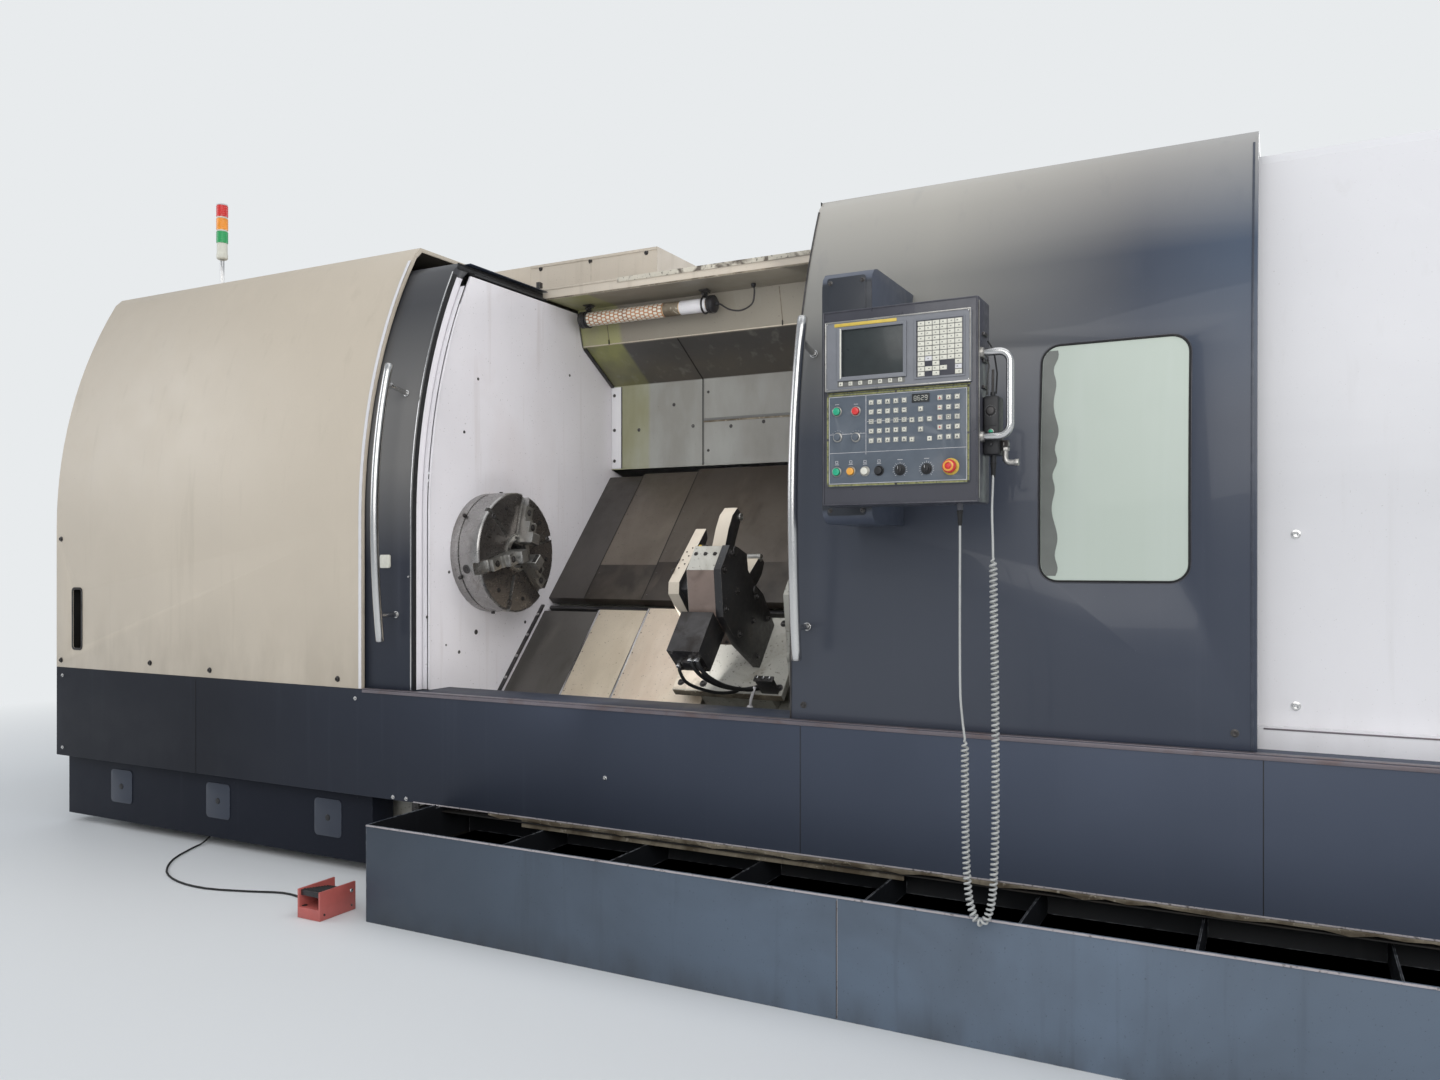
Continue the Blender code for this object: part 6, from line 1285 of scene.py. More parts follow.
def steady_frame():
    """The steady rest's plate, guide and cylinder."""
    kit = Kit("steady_frame", "steady", "black_paint", SLOPE)
    kit.prism(PLATE, 0.260, 0.290, BLACK_PAINT)
    kit.prism(CASE, 0.144, 0.2597, CASTING)
    kit.prism(CASE_EDGE, 0.146, 0.2585, STAND_BROWN)
    kit.prism(GUIDE, 0.063, 0.109, BLACK_PAINT, CREAM)
    kit.box((0.14, 0.09, 0.1093), (0.27, -0.09, 0.1437), BLACK_PAINT)
    kit.prism(CYLINDER, 0.124, 0.257, BLACK_PAINT, DARK_STEEL)
    # A near-black plate in the gap between the case and the cylinder: painted shade.
    kit.box((0.3413, 0.045, 0.13), (0.3427, -0.070, 0.25), RECESS_SHADE)
    steady_screws(kit)
    steady_oiling(kit)
    for shift in (0.0, 0.026):
        hose(kit, [(along, out, x + shift) for along, out, x in LONG_HOSE], 0.0075,
             disc(0.022, 0.011, 0.0, 0.012))
    hose(kit, SHORT_HOSE, 0.0065, disc(0.020, 0.010, 0.0, 0.011))
    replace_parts(kit.done(0.0016), "steady_housing")


def claw(name, sign):
    """One claw of the steady rest, with its worn pad, its pin and its screws."""
    kit = Kit(name + "_detail", name, "black_paint", SLOPE)
    kit.prism([(along, sign * out) for along, out in CLAW], 0.2047, 0.2597, BLACK_PAINT, CREAM)
    along, out = -0.081, sign * 0.140
    kit.box((along - 0.004, out - 0.016, 0.2147), (along - 0.0003, out + 0.016, 0.2497), SILVER)
    # The hole's near-black disc is painted shade.
    kit.turn(disc(0.0012, 0.009, 0.0002), RECESS_SHADE, (along - 0.004, out, 0.2322), (-1, 0, 0), 4)
    kit.turn([(0.006, 0.006), (0.014, 0.006), (0.016, 0.003), (0.016, -0.0580), (0.006, -0.0580)], SILVER,
             (-0.070, sign * 0.118, 0.2597), RIGHT, 20)
    kit.screws(((0.02, sign * 0.130), (0.075, sign * 0.118)), 0.007, 0.2047, LEFT)
    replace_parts(kit.done(0.0014), name)


def steady_foot():
    kit = Kit("steady_base_details", "steady", "casting_paint", SLOPE)
    kit.box((0.052, -0.3498, -0.058), (0.423, -0.3488, 0.060), CREAM)
    kit.box((0.4253, -0.384, -0.058), (0.4275, -0.351, 0.418), OILY)
    for x in (-0.03, 0.07, 0.33, 0.40):
        for along in (0.08, 0.39):
            kit.screw((along, -0.350, x), 0.011, OUT)
    kit.done(0.0012)


def steady_valve():
    kit = Kit("steady_valve", "steady", "black_paint", SLOPE)
    kit.box((0.400, -0.3497, 0.335), (0.420, -0.27, 0.405), BLACK_PAINT)
    kit.box((0.398, -0.2697, 0.330), (0.422, -0.262, 0.410), DARK_STEEL)
    kit.tube([(0.425, -0.30, 0.325), (0.46, -0.33, 0.31), (0.475, -0.36, 0.30)], 0.006, WHITE, 10)
    kit.turn([(0, 0.012), (0.008, 0.010), (0.012, 0), (0.008, -0.010), (0, -0.012)], WHITE,
             (0.478, -0.364, 0.298), RIGHT, 14)
    for x in (0.345, 0.37, 0.395):
        kit.turn(disc(0.010, 0.007, 0.0003, 0.008), BRIGHT, (0.41, -0.262, x), OUT, 6)
    kit.done(0.0008)


def steady_rest():
    steady_frame()
    claw("upper_claw", 1)
    claw("lower_claw", -1)
    steady_foot()
    steady_valve()


TAIL_FACE = 0.4700
QUILL_FACE = 0.858
TOOL_FACE = 0.5867
DISC_FACE = 0.5897


def tailstock_details():
    kit = Kit("tailstock_details", "tailstock", "casting_paint", SLOPE)
    kit.tube([(0.05, -0.095, 0.60), (0.12, -0.022, 0.60), (0.19, -0.018, 0.60), (0.24, -0.15, 0.60),
              (0.36, -0.275, 0.60)], 0.026, CASTING, 14)
    plug = (0.33, -0.22, TAIL_FACE)
    kit.turn([(0.016, 0.0012), (0.026, 0.0012), (0.030, 0.0004), (0.030, -0.010), (0.016, -0.010)], CASTING,
             plug, LEFT, 22)
    # The plug's near-black middle is painted shade in its hole.
    kit.turn(disc(0.0010, 0.0165, 0.0003), RECESS_SHADE, plug, LEFT, 22)
    kit.screws(((0.10, -0.32), (0.30, -0.42), (0.12, -0.14)), 0.010, TAIL_FACE, LEFT)
    kit.frame = lengthwise(0, AXIS_Y, AXIS_Z)
    kit.turn([(0.0556, 0.0), (0.105, 0.0), (0.108, 0.003), (0.108, 0.016), (0.085, 0.020), (0.0556, 0.020)],
             CASTING, (0, 0, QUILL_FACE), LEFT, 36)
    kit.screws(circle(6, 0.090), 0.007, QUILL_FACE - 0.0185, LEFT)
    kit.turn(cap(0.03, 0.03, 0.02, 0.035, 0.0004), DARK_STEEL, (0, 0, 1.40), RIGHT, 20)
    kit.done(0.0014)


def turret_tools():
    """The disc's six tools with their clamps, and its hub."""
    kit = Kit("turret_tools", "turret", "dark_steel")
    centre = Matrix.Translation((0, *slant(-0.66, 0)))
    for index in range(6):
        kit.frame = centre @ Matrix.Rotation(math.tau * index / 6 + SLANT / 2, 4, "X") @ lengthwise()
        for x in (TOOL_FACE + 0.02, TOOL_FACE + 0.07):
            kit.screw((0.0, 0.3003, x), 0.007, OUT)
        kit.box((-0.012, 0.262, TOOL_FACE - 0.060), (0.012, 0.286, TOOL_FACE - 0.0004), SILVER)
        kit.prism([(-0.008, 0.2865), (0.008, 0.2865), (0.0, 0.298)], TOOL_FACE - 0.060, TOOL_FACE - 0.048,
                  YELLOW)
        for across in (-0.016, 0.016):
            kit.screw((across, 0.245, TOOL_FACE), 0.005, LEFT)
    kit.frame = centre @ lengthwise()
    kit.turn(cap(0.012, 0.05, 0.008, 0.06, 0.0004), SILVER, (0, 0, DISC_FACE), LEFT, 28)
    kit.screws(circle(8, 0.12), 0.008, DISC_FACE, LEFT)
    kit.done(0.0008)


def turret_head():
    kit = Kit("turret_head_details", "cross_slide", "casting_paint", SLOPE)
    for along in (-0.80, -0.52):
        for x in (0.74, 1.06):
            kit.screw((along, -0.28, x), 0.012, OUT)
    kit.box((-0.93, -0.2797, 0.74), (-0.90, -0.25, 1.08), CASTING)
    kit.tube([(-0.66, 0.10, 1.079), (-0.66, 0.10, 1.11), (-0.72, 0.02, 1.13), (-0.86, -0.18, 1.13),
              (-0.91, -0.26, 1.10)], 0.012, RUBBER)
    kit.done(0.0014)


# Skirt, tank and floor level
def skirt_details():
    """The skirt's sill, seams, lower rim, screws and the oil along its lower edge."""
    kit = Kit("skirt_details", "machine", "blue_grey_paint", facing(HEAD_FRONT))
    kit.box((SILL_LEFT, 0.7665, 0.0003), (SILL_RIGHT, 0.7788, 0.0022), MIRROR_STRIP)
    for x in (-2.30, 0.70, 2.06):
        kit.box((x, 0.342, 0.0002), (x + 0.0022, 0.7655, 0.0009), RECESS_SHADE)
    kit.box((-0.98, 0.3402, 0.0003), (SILL_RIGHT, 0.3450, 0.0022), RIM)
    kit.screws(((-0.0648, 0.5232), (-1.0901, 0.352), (-1.02, 0.352), (-3.30, 0.74), (-3.30, 0.38),
                (-1.30, 0.74)), 0.006, 0.0, look=BRIGHT)
    kit.frame = WORLD
    kit.box((SILL_LEFT, HEAD_FRONT + 0.0005, SKIRT_TOP + 0.0002),
            (SILL_RIGHT, DOOR_Y - 0.0035, SKIRT_TOP + 0.0032), MIRROR_STRIP)
    kit.box((-0.45, HEAD_FRONT + 0.012, 0.300), (1.05, HEAD_FRONT + 0.016, 0.3396), OILY)
    # A near-black sheet under the skirt's lower edge: painted shade over the tank's slit.
    kit.box((-0.98, HEAD_FRONT + 0.004, 0.3175), (3.32, HEAD_FRONT + 0.10, 0.3215), RECESS_SHADE)
    count = 64
    drips = [(-0.60 + 3.9 * i / count, 0.3385 - 0.006 - 0.012 * abs(math.sin(i * 1.7) * math.cos(i * 0.6)))
             for i in range(count + 1)]
    kit.frame = facing(HEAD_FRONT)
    kit.prism(drips + [(3.30, 0.3392), (-0.60, 0.3392)], -0.0012, 0.0012, OILY)
    kit.box((-0.985, 0.20, -0.004), (-0.95, 0.339, 0.004), RECESS_SHADE)
    for index in range(6):
        kit.screw((-0.967, 0.215 + index * 0.022, 0.004), 0.005)
    kit.done(0.0004)


def lower_skirt():
    """The three round-cornered covers of the lower skirt, each with its knob."""
    kit = Kit("lower_skirt_details", "machine", "blue_grey_paint", facing(front(0.03)))
    for x in (-3.0, -2.3, -1.6):
        kit.prism(rounded(x, x + 0.16, 0.13, 0.29, 0.02), 0.0003, 0.0030, NAVY)
        kit.turn(cap(0.004, 0.012, 0.001, 0.014, 0.0003), BLACK, (x + 0.08, 0.21, 0.003))
    kit.done(0.0008)


def tank_details():
    """The tank's front rim, its seam and drain plug, and the coolant in its channel."""
    kit = Kit("tank_details", "machine", "tank_paint", facing(front(-0.42)))
    kit.box((-0.838, 0.3465, 0.0003), (3.298, 0.3519, 0.0030), RIM)
    kit.box((0.979, 0.003, 0.0002), (0.9815, 0.339, 0.0008), RECESS_SHADE)
    kit.turn([(0, 0.024), (0.014, 0.024), (0.016, 0.020), (0.016, 0.006), (0.024, 0.006), (0.024, 0.0003),
              (0, 0.0003)], DARK_STEEL, (3.10, 0.05, 0.0), steps=6)
    kit.box((0.9818, 0.003, 0.0002), (0.9835, 0.345, 0.0008), RIM)
    kit.frame = WORLD
    low, high = front(-0.414) + 0.0004, front(0.133)
    kit.box((-0.8336, low, 0.18), (3.2936, high, 0.215), COOLANT)
    kit.done(0.0008)


def levelling_feet():
    """The rear row of feet with their bolts and nuts."""
    pads = Kit("levelling_feet", "machine", "dark_steel")
    left, right, y = LEFT_X + 0.15, RIGHT_X - 0.15, front(1.60) + 0.081
    for index in range(5):
        x = left + 0.16 + (right - left - 0.32) * index / 4
        pads.box((x - 0.05, y, 0.0), (x + 0.05, y + 0.06, 0.018), DARK_STEEL)
        pads.turn(cap(0.085, 0.011, 0.080, 0.012, 0.018), BRIGHT, (x, y + 0.03, 0.0))
        pads.turn(disc(0.034, 0.020, 0.020, 0.021), DARK_STEEL, (x, y + 0.03, 0.0), steps=6)
    pads.done(0.0012)


PEDAL_FRONT, PEDAL_REAR = front(-0.500), front(-0.330)
PIN_Y, PIN_Z = PEDAL_REAR - 0.022, 0.075


def foot_switch():
    """The pedal's pin ends, side screws and rubber feet."""
    kit = Kit("pedal_details", "machine", "red_button")
    for x, way in ((-1.1006, -1), (-0.9844, 1)):
        kit.turn(cap(0.004, 0.006, 0.002, 0.0075, 0.0), BRIGHT, (x, PIN_Y, PIN_Z), (way, 0, 0))
        for y in (PEDAL_FRONT + 0.02, PEDAL_REAR - 0.02):
            kit.screw((x, y, 0.02), 0.003, (way, 0, 0))
    for index in range(4):
        kit.turn(disc(0.0, 0.010, 0.0015), RUBBER,
                 (-1.085 + 0.085 * (index % 2), PEDAL_FRONT + 0.02 + 0.13 * (index // 2), 0.0402))
    kit.done(0.0006)


def treadle_pad():
    """The treadle's nine raised ribs."""
    kit = Kit("treadle_pad", "treadle", "black_rubber")
    reach, rise = PEDAL_FRONT - PIN_Y + 0.008, 0.022
    length = math.hypot(reach, rise)
    along = Vector((0, reach / length, rise / length))
    up = Vector((0, -along.z, along.y))
    up = up if up.z > 0 else -up
    start = Vector((0, PIN_Y, PIN_Z + 0.005))
    for index in range(9):
        foot = start + along * (0.018 + index * 0.0135) + up * 0.0004
        points = [Vector((x, 0, 0)) + foot + along * s + up * h for x in (-1.086, -0.999)
                  for s, h in ((0, 0), (0.008, 0), (0.0065, 0.0028), (0.0015, 0.0028))]
        kit.raw(points, [(0, 1, 2, 3), (7, 6, 5, 4), (0, 4, 5, 1), (1, 5, 6, 2), (2, 6, 7, 3), (3, 7, 4, 0)],
                RUBBER)
    kit.done(0.0003)


def cord_reliefs():
    """The boots at both ends of the foot switch's cord."""
    kit = Kit("floor_cord_reliefs", "machine", "black_rubber")
    boot = [(0.0042, 0.034), (0.0056, 0.034), (0.0075, 0.012), (0.0085, 0.0), (0.0042, 0.0)]
    kit.turn(boot, RUBBER, FOOT_END + Vector((-0.0004, 0, 0)), (-1, 0, 0), 14)
    kit.turn([(r * 1.3, h) for r, h in boot], RUBBER, FOOT_START + Vector((0, -0.0004, 0)), (0, -1, 0), 14)
    kit.done(0.0003)


# Lamp and signal tower
LAMP_Y, LAMP_Z = front(1.05), 2.480
LAMP_LEFT, LAMP_RIGHT = -0.919, -0.182
LAMP_SIDES = 28
CEILING = 2.5485


def sleeve(kit, inner, outer, near, far, look):
    """A tube round the lamp, between two distances from its left end."""
    kit.turn([(inner, far), (outer, far), (outer, near), (inner, near)], look, (LAMP_LEFT, LAMP_Y, LAMP_Z),
             (1, 0, 0), LAMP_SIDES)


def hanger(kit, x):
    """A ring round the lamp that hangs from the ceiling, with its clamp's wing bolt."""
    y, z = LAMP_Y, LAMP_Z
    kit.tube([(x, y + a, z + b) for a, b in circle(24, 0.038)], 0.0045, BLACK_PAINT, 8, True)
    kit.box((x - 0.012, y - 0.005, z + 0.038), (x + 0.012, y + 0.005, CEILING - 0.0005), BLACK_PAINT)
    kit.box((x - 0.022, y - 0.020, 2.5440), (x + 0.022, y + 0.020, CEILING), BLACK_PAINT)
    kit.turn(cap(0.018, 0.008, 0.012, 0.010, 0.0), DARK_STEEL, (x, y - 0.0055, z + 0.048), (0, -1, 0), 6)
    kit.tube([(x + 0.004, y - 0.012, z + 0.05), (x + 0.022, y - 0.016, z + 0.056),
              (x + 0.036, y - 0.016, z + 0.050)], 0.003, DARK_STEEL, 8)


def lamp():
    """The tubular work lamp: its end caps, glass, studded sleeve, hangers and cable."""
    kit = Kit("work_lamp_detail", "machine", "ivory_plastic")
    y, z, length = LAMP_Y, LAMP_Z, LAMP_RIGHT - LAMP_LEFT
    for x, way in ((LAMP_LEFT, 1), (LAMP_RIGHT, -1)):
        kit.turn([(0, -0.004), (0.022, -0.004), (0.036, 0.0), (0.040, 0.004), (0.040, 0.014), (0.036, 0.016),
                  (0.036, 0.020), (0.040, 0.022), (0.040, 0.033), (0.034, 0.036), (0, 0.036)], BLACK_PAINT,
                 (x, y, z), (way, 0, 0), LAMP_SIDES)
    kit.turn(disc(length - 0.0365, 0.029, 0.0365), LAMP_GLASS, (LAMP_LEFT, y, z), (1, 0, 0), LAMP_SIDES)
    sleeve(kit, 0.0305, 0.0325, 0.037, 0.47, LAMP_SLEEVE)
    for row in range(12):
        for column in range(18):
            turn = Matrix.Rotation(math.tau * (row + 0.5 * (column % 2)) / 12, 4, "X")
            kit.frame = Matrix.Translation((LAMP_LEFT + 0.053 + column * 0.0238, y, z)) @ turn
            kit.prism(rounded(-0.0088, 0.0088, -0.0058, 0.0058, 0.003, 2), 0.0324, 0.0332, IVORY)
    kit.frame = WORLD
    sleeve(kit, 0.0295, 0.0318, 0.56, length - 0.04, WHITE)
    sleeve(kit, 0.0295, 0.0330, 0.475, 0.555, OILY)
    for x in (LAMP_LEFT + 0.045, LAMP_RIGHT - 0.055):
        hanger(kit, x)
    cable = ((0.004, 0, 0), (0.025, 0, -0.005), (0.075, -0.004, -0.035), (0.135, -0.006, -0.045),
             (0.185, 0, -0.020), (0.197, 0, 0.030), (0.192, 0, 0.067))
    kit.tube(smooth_route([(LAMP_RIGHT + dx, y + dy, z + dz) for dx, dy, dz in cable], 6), 0.0040,
             BLACK_PAINT, 10)
    kit.turn(disc(0.012, 0.010, 0.0, 0.012), BLACK, (LAMP_RIGHT + 0.004, y, z), (1, 0, 0), 12)
    kit.turn(disc(0.014, 0.009, 0.0, 0.012), BLACK, (LAMP_RIGHT + 0.192, y, CEILING), (0, 0, -1), 12)
    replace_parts(kit.done(0.0005), "work_lamp")


def tower():
    """The signal tower: its foot, stem, socket, three ribbed lenses and lid."""
    kit = Kit("signal_tower_detail", "machine", "ivory_plastic")
    x, y, z = -2.93, front(0.60), HEAD_TOP + 0.0003
    kit.turn([(0, 0.012), (0.030, 0.012), (0.042, 0.007), (0.045, 0.003), (0.045, 0.0), (0, 0.0)], BLACK,
             (x, y, z), steps=28)
    kit.screws([(x + a, y + b) for a, b in circle(3, 0.034)], 0.004, z + 0.009)
    kit.turn(disc(0.236, 0.011, 0.0125), BRIGHT, (x, y, z), steps=20)
    kit.turn([(0.0112, 0.045), (0.018, 0.040), (0.020, 0.030), (0.020, 0.0124), (0.0112, 0.0124)], BLACK,
             (x, y, z), steps=20)
    low = z + 0.235
    kit.turn([(0, 0.085), (0.0265, 0.085), (0.0265, 0.030), (0.0285, 0.028), (0.0285, 0.006), (0.024, 0.0),
              (0, 0.0)], IVORY, (x, y, low), steps=28)
    low += 0.085
    ribs = [(0.0300 if i % 2 else 0.0285, 0.0605 - i * 0.0048) for i in range(13)]
    for look, lid in ((GREEN_LENS, IVORY), (AMBER_LENS, IVORY), (RED_LENS, WHITE)):
        kit.turn([(0, 0.062)] + ribs + [(0.0285, 0.0005), (0, 0.0005)], look, (x, y, low), steps=32)
        low += 0.062
        kit.turn(disc(0.0078, 0.0275, 0.0005), lid, (x, y, low), steps=28)
        low += 0.008
    kit.turn([(0, 0.0), (0.012, -0.0005), (0.024, -0.0045), (0.0274, -0.0074), (0, -0.0074)], WHITE,
             (x, y, low), steps=28)
    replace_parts(kit.done(0.0005), "signal_tower")


# Pendant
SCREEN_FACE = -1.2203
PANEL_FACE = -1.2163
PANEL_LEFT, PANEL_RIGHT, PANEL_LOW, PANEL_TOP = 0.986, 1.385, 1.510, 1.765
BOX_RIGHT = 1.406
INK = (0.0001, 0.0004)
LINE = (0.0001, 0.0005)
KEY_PITCH_X, KEY_PITCH_Z = 0.0232, 0.0260
KEY_TOP_SHARE, KEY_MARK_SHARE = 0.86, 0.42
# Places on the operator panel, from its lower left corner
CURSOR_SPOTS = ((0.268, 0.200), (0.244, 0.172), (0.268, 0.172), (0.292, 0.172), (0.268, 0.146),
                (0.244, 0.120), (0.292, 0.120))
LOCK_SPOTS = ((0.033, 0.136), (0.086, 0.134))
BUTTON_SPOTS = ((0.031, 0.207), (0.086, 0.205), (0.030, 0.041), (0.071, 0.041), (0.112, 0.040),
                (0.152, 0.040))
DIAL_SPOTS = {"spindle_dial": (0.211, 0.040), "feed_dial": (0.284, 0.040)}
COUNTER_SPOT = (0.268, 0.229)
STOP_SPOT = (0.349, 0.043)


def on_panel(spot):
    return PANEL_LEFT + spot[0], PANEL_LOW + spot[1]


def hollow_frame(kit, outer, inner, levels, look):
    """A rectangular ring, standing out between two levels."""
    (ox0, ox1, oz0, oz1), (ix0, ix1, iz0, iz1) = outer, inner
    kit.prism([(ox0, oz0), (ix0, iz0), (ix0, iz1), (ox0, oz1)], *levels, look)
    kit.prism([(ox1, oz0), (ox1, oz1), (ix1, iz1), (ix1, iz0)], *levels, look)
    kit.prism([(ox0, oz1), (ix0, iz1), (ix1, iz1), (ox1, oz1)], *levels, look)
    kit.prism([(ox0, oz0), (ox1, oz0), (ix1, iz0), (ix0, iz0)], *levels, look)


def pad(kit, x, z, foot, top, high, look):
    """A key's cap, narrower at its top; foot and top are half sizes."""
    points = [(x + sx * half_x, z + sz * half_z, level) for level,
              (half_x, half_z) in ((0.0, foot), (high, top)) for sx,
              sz in ((-1, -1), (1, -1), (1, 1), (-1, 1))]
    kit.raw(points, [(3, 2, 1, 0), (4, 5, 6, 7), (0, 1, 5, 4), (1, 2, 6, 5), (2, 3, 7, 6), (3, 0, 4, 7)],
            look)


def round_key(kit, x, z, half, high):
    """A square key with a round mark."""
    pad(kit, x, z, (half, half), (half * KEY_TOP_SHARE, half * KEY_TOP_SHARE), high, IVORY)
    size = half * KEY_MARK_SHARE
    kit.turn(disc(high + INK[1], size * 0.8, high + INK[0]), GREY, (x, z, 0), steps=12)


def soft_key(kit, x, z, half, high, first):
    """A key under the screen: a triangle on the first one, a frame on the others."""
    pad(kit, x, z, (half, half), (half * KEY_TOP_SHARE, half * KEY_TOP_SHARE), high, IVORY)
    size, levels = half * KEY_MARK_SHARE, (high + INK[0], high + INK[1])
    if first:
        kit.prism([(x - size, z - size), (x + size, z - size), (x, z + size)], *levels, GREY)
    else:
        hollow_frame(kit, about(x, z, size), about(x, z, size * 0.55), levels, GREY)


def screen_unit():
    kit = Kit("screen_unit_detail", "pendant", "grey_panel", facing(SCREEN_FACE))
    kit.prism(rounded(0.982, 1.390, 1.772, 1.965, 0.005), -0.0118, -0.0030, SCREEN_GREY)
    kit.prism(rounded(0.984, 1.388, 1.774, 1.963, 0.005), -0.0029, 0.0, SCREEN_GREY)
    hollow_frame(kit, (0.983, 1.389, 1.773, 1.964), (0.9865, 1.3855, 1.7765, 1.9605), (0.0001, 0.0016),
                 SILVER)
    hollow_frame(kit, (1.021, 1.217, 1.799, 1.9465), (1.033, 1.208, 1.810, 1.939), (0.0001, 0.0058),
                 SCREEN_GREY)
    kit.prism([(1.0285, 1.8035), (1.0325, 1.8075), (1.0325, 1.9415), (1.0285, 1.9435)], 0.0059, 0.0064, IVORY)
    kit.box((1.0335, 1.8105, 0.0001), (1.2075, 1.9385, 0.0010), LCD)
    kit.prism(rounded(1.011, 1.189, 1.9487, 1.9578, 0.0015), 0.0001, 0.0011, YELLOW)
    hollow_frame(kit, (1.238, 1.375, 1.788, 1.948), (1.243, 1.370, 1.793, 1.943), (0.0001, 0.0030),
                 SCREEN_GREY)
    kit.box((1.244, 1.794, 0.0001), (1.369, 1.942, 0.0008), BOX_DARK)
    kit.frame = facing(SCREEN_FACE - 0.0008)
    gaps = ((1, 4), (2, 4), (2, 1), (2, 3), (0, 1), (0, 3), (0, 4))
    for column in range(6):
        for row in range(11):
            if (row, column) in gaps:
                continue
            x, z = 1.2565 + column * 0.0201, 1.8006 + row * 0.0134
            odd = (column + 2 * row) % 13 == 7 and row <= 3
            pad(kit, x, z, (0.0094, 0.0061), (0.0086, 0.0053), 0.0018, WHITE if odd else IVORY)
            shift = 0.0022 * ((row + column) % 3 - 1)
            kit.box((x - 0.0026 + shift, z - 0.0009, 0.0019), (x + 0.0016 + shift, z + 0.0012, 0.0021), GREY)
    kit.frame = facing(SCREEN_FACE)
    kit.prism(rounded(1.020, 1.212, 1.7835, 1.7985, 0.002), 0.0001, 0.0009, GREY)
    for index in range(7):
        soft_key(kit, 1.030 + index * 0.0282, 1.7912, 0.0058, 0.0032, index == 0)
    for x, z in ((0.989, 1.779), (1.383, 1.779), (0.989, 1.958), (1.383, 1.958)):
        kit.turn(disc(0.0012, 0.0018, 0.0001, 0.0024), BRIGHT, (x, z, 0), steps=10)
    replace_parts(kit.done(0.0003), "screen_unit")


def panel_lines(kit):
    """The gasket, the printed lines and the rivets of the operator panel."""
    sides = (PANEL_LEFT, PANEL_RIGHT, PANEL_LOW, PANEL_TOP)
    hollow_frame(kit, inset(sides, 0.001), inset(sides, 0.006), (0.0001, 0.0006), WORN_EDGE)
    hollow_frame(kit, inset(sides, 0.0075), inset(sides, 0.0087), LINE, WHITE)
    for x0, x1, z0, z1 in ((1.1002, 1.1014, 1.596, 1.7565), (0.995, 1.376, 1.6020, 1.6030),
                           (0.995, 1.0985, 1.6535, 1.6545), (1.104, 1.2215, 1.6845, 1.6855)):
        kit.box((x0, z0, LINE[0]), (x1, z1, LINE[1]), WHITE)
    left, right, low, top = inset(sides, 0.0035)
    middle = (PANEL_LEFT + PANEL_RIGHT) / 2
    rivets = [(left, low), (left, top), (right, low), (right, top), (middle, low), (middle, top),
              (left, 1.640), (right, 1.640)]
    for x, z in rivets:
        kit.turn([(0, 0.0012), (0.0012, 0.0012), (0.0014, 0.0022), (0.0028, 0.0022), (0.0034, 0.0004),
                  (0, 0.0004)], DARK_STEEL, (x, z, 0), steps=12)


def panel_keys(kit):
    """The operator panel's flat keys, each with one of four plain marks."""
    kit.frame = facing(PANEL_FACE - 0.0026)
    spots = []
    for sx, columns in ((0.130, 5), (0.320, 3)):
        left, low = on_panel((sx, 0.122))
        spots += [(left + c * KEY_PITCH_X, low + r * KEY_PITCH_Z) for c in range(columns) for r in range(5)]
    spots += [on_panel(spot) for spot in CURSOR_SPOTS[:-1]]
    for index, (x, z) in enumerate(spots):
        kit.patch(about(x, z, 0.0065), (-0.0024, 0.0), IVORY)
        ink = (0.0, 0.0003)
        hollow_frame(kit, about(x, z, 0.0060), about(x, z, 0.0052), ink, GREY)
        size = 0.0025 + 0.0006 * ((index * 7) % 3)
        look = PINK_RED if 25 < index < 30 else GREY
        kind = (index * 7 + index // 5) % 4
        if kind == 0:
            kit.prism([(x - size, z - size), (x + size, z - size), (x, z + size)], *ink, look)
        elif kind == 1:
            kit.patch(about(x, z, size, 0.001), ink, look)
            kit.prism([(x - 0.001, z + 0.0012), (x + 0.001, z + 0.0012), (x, z + 0.0034)], *ink, look)
        elif kind == 2:
            hollow_frame(kit, about(x, z, size), about(x, z, size * 0.5), ink, look)
        else:
            kit.turn(disc(ink[1], size * 0.8, ink[0]), look, (x, z, 0), steps=10)
    kit.frame = facing(PANEL_FACE)
    round_key(kit, *on_panel(CURSOR_SPOTS[-1]), 0.0062, 0.0025)


def counter(kit):
    """The four digits of the tool counter, made of bars."""
    wx, wz = on_panel(COUNTER_SPOT)
    hollow_frame(kit, about(wx, wz, 0.024, 0.0115), about(wx, wz, 0.0215, 0.009), (0.0001, 0.0016), BLACK)
    kit.patch(about(wx, wz, 0.0213, 0.0088), (0.0001, 0.0008), LCD)
    lit = (0.0009, 0.0011)
    for digit in range(4):
        cx = wx - 0.0150 + digit * 0.0100
        for low, high in ((0.0052, 0.0062), (-0.0005, 0.0005), (-0.0062, -0.0052)):
            kit.patch((cx - 0.0028, cx + 0.0028, wz + low, wz + high), lit, IVORY)
        for side in (-1, 1):
            for low, high in ((0.0007, 0.0050), (-0.0050, -0.0007)):
                if (digit + (side > 0) + (low > 0)) % 4 == 3:
                    continue
                bar = cx + side * 0.0032
                kit.patch((bar - 0.0004, bar + 0.0004, wz + low, wz + high), lit, IVORY)


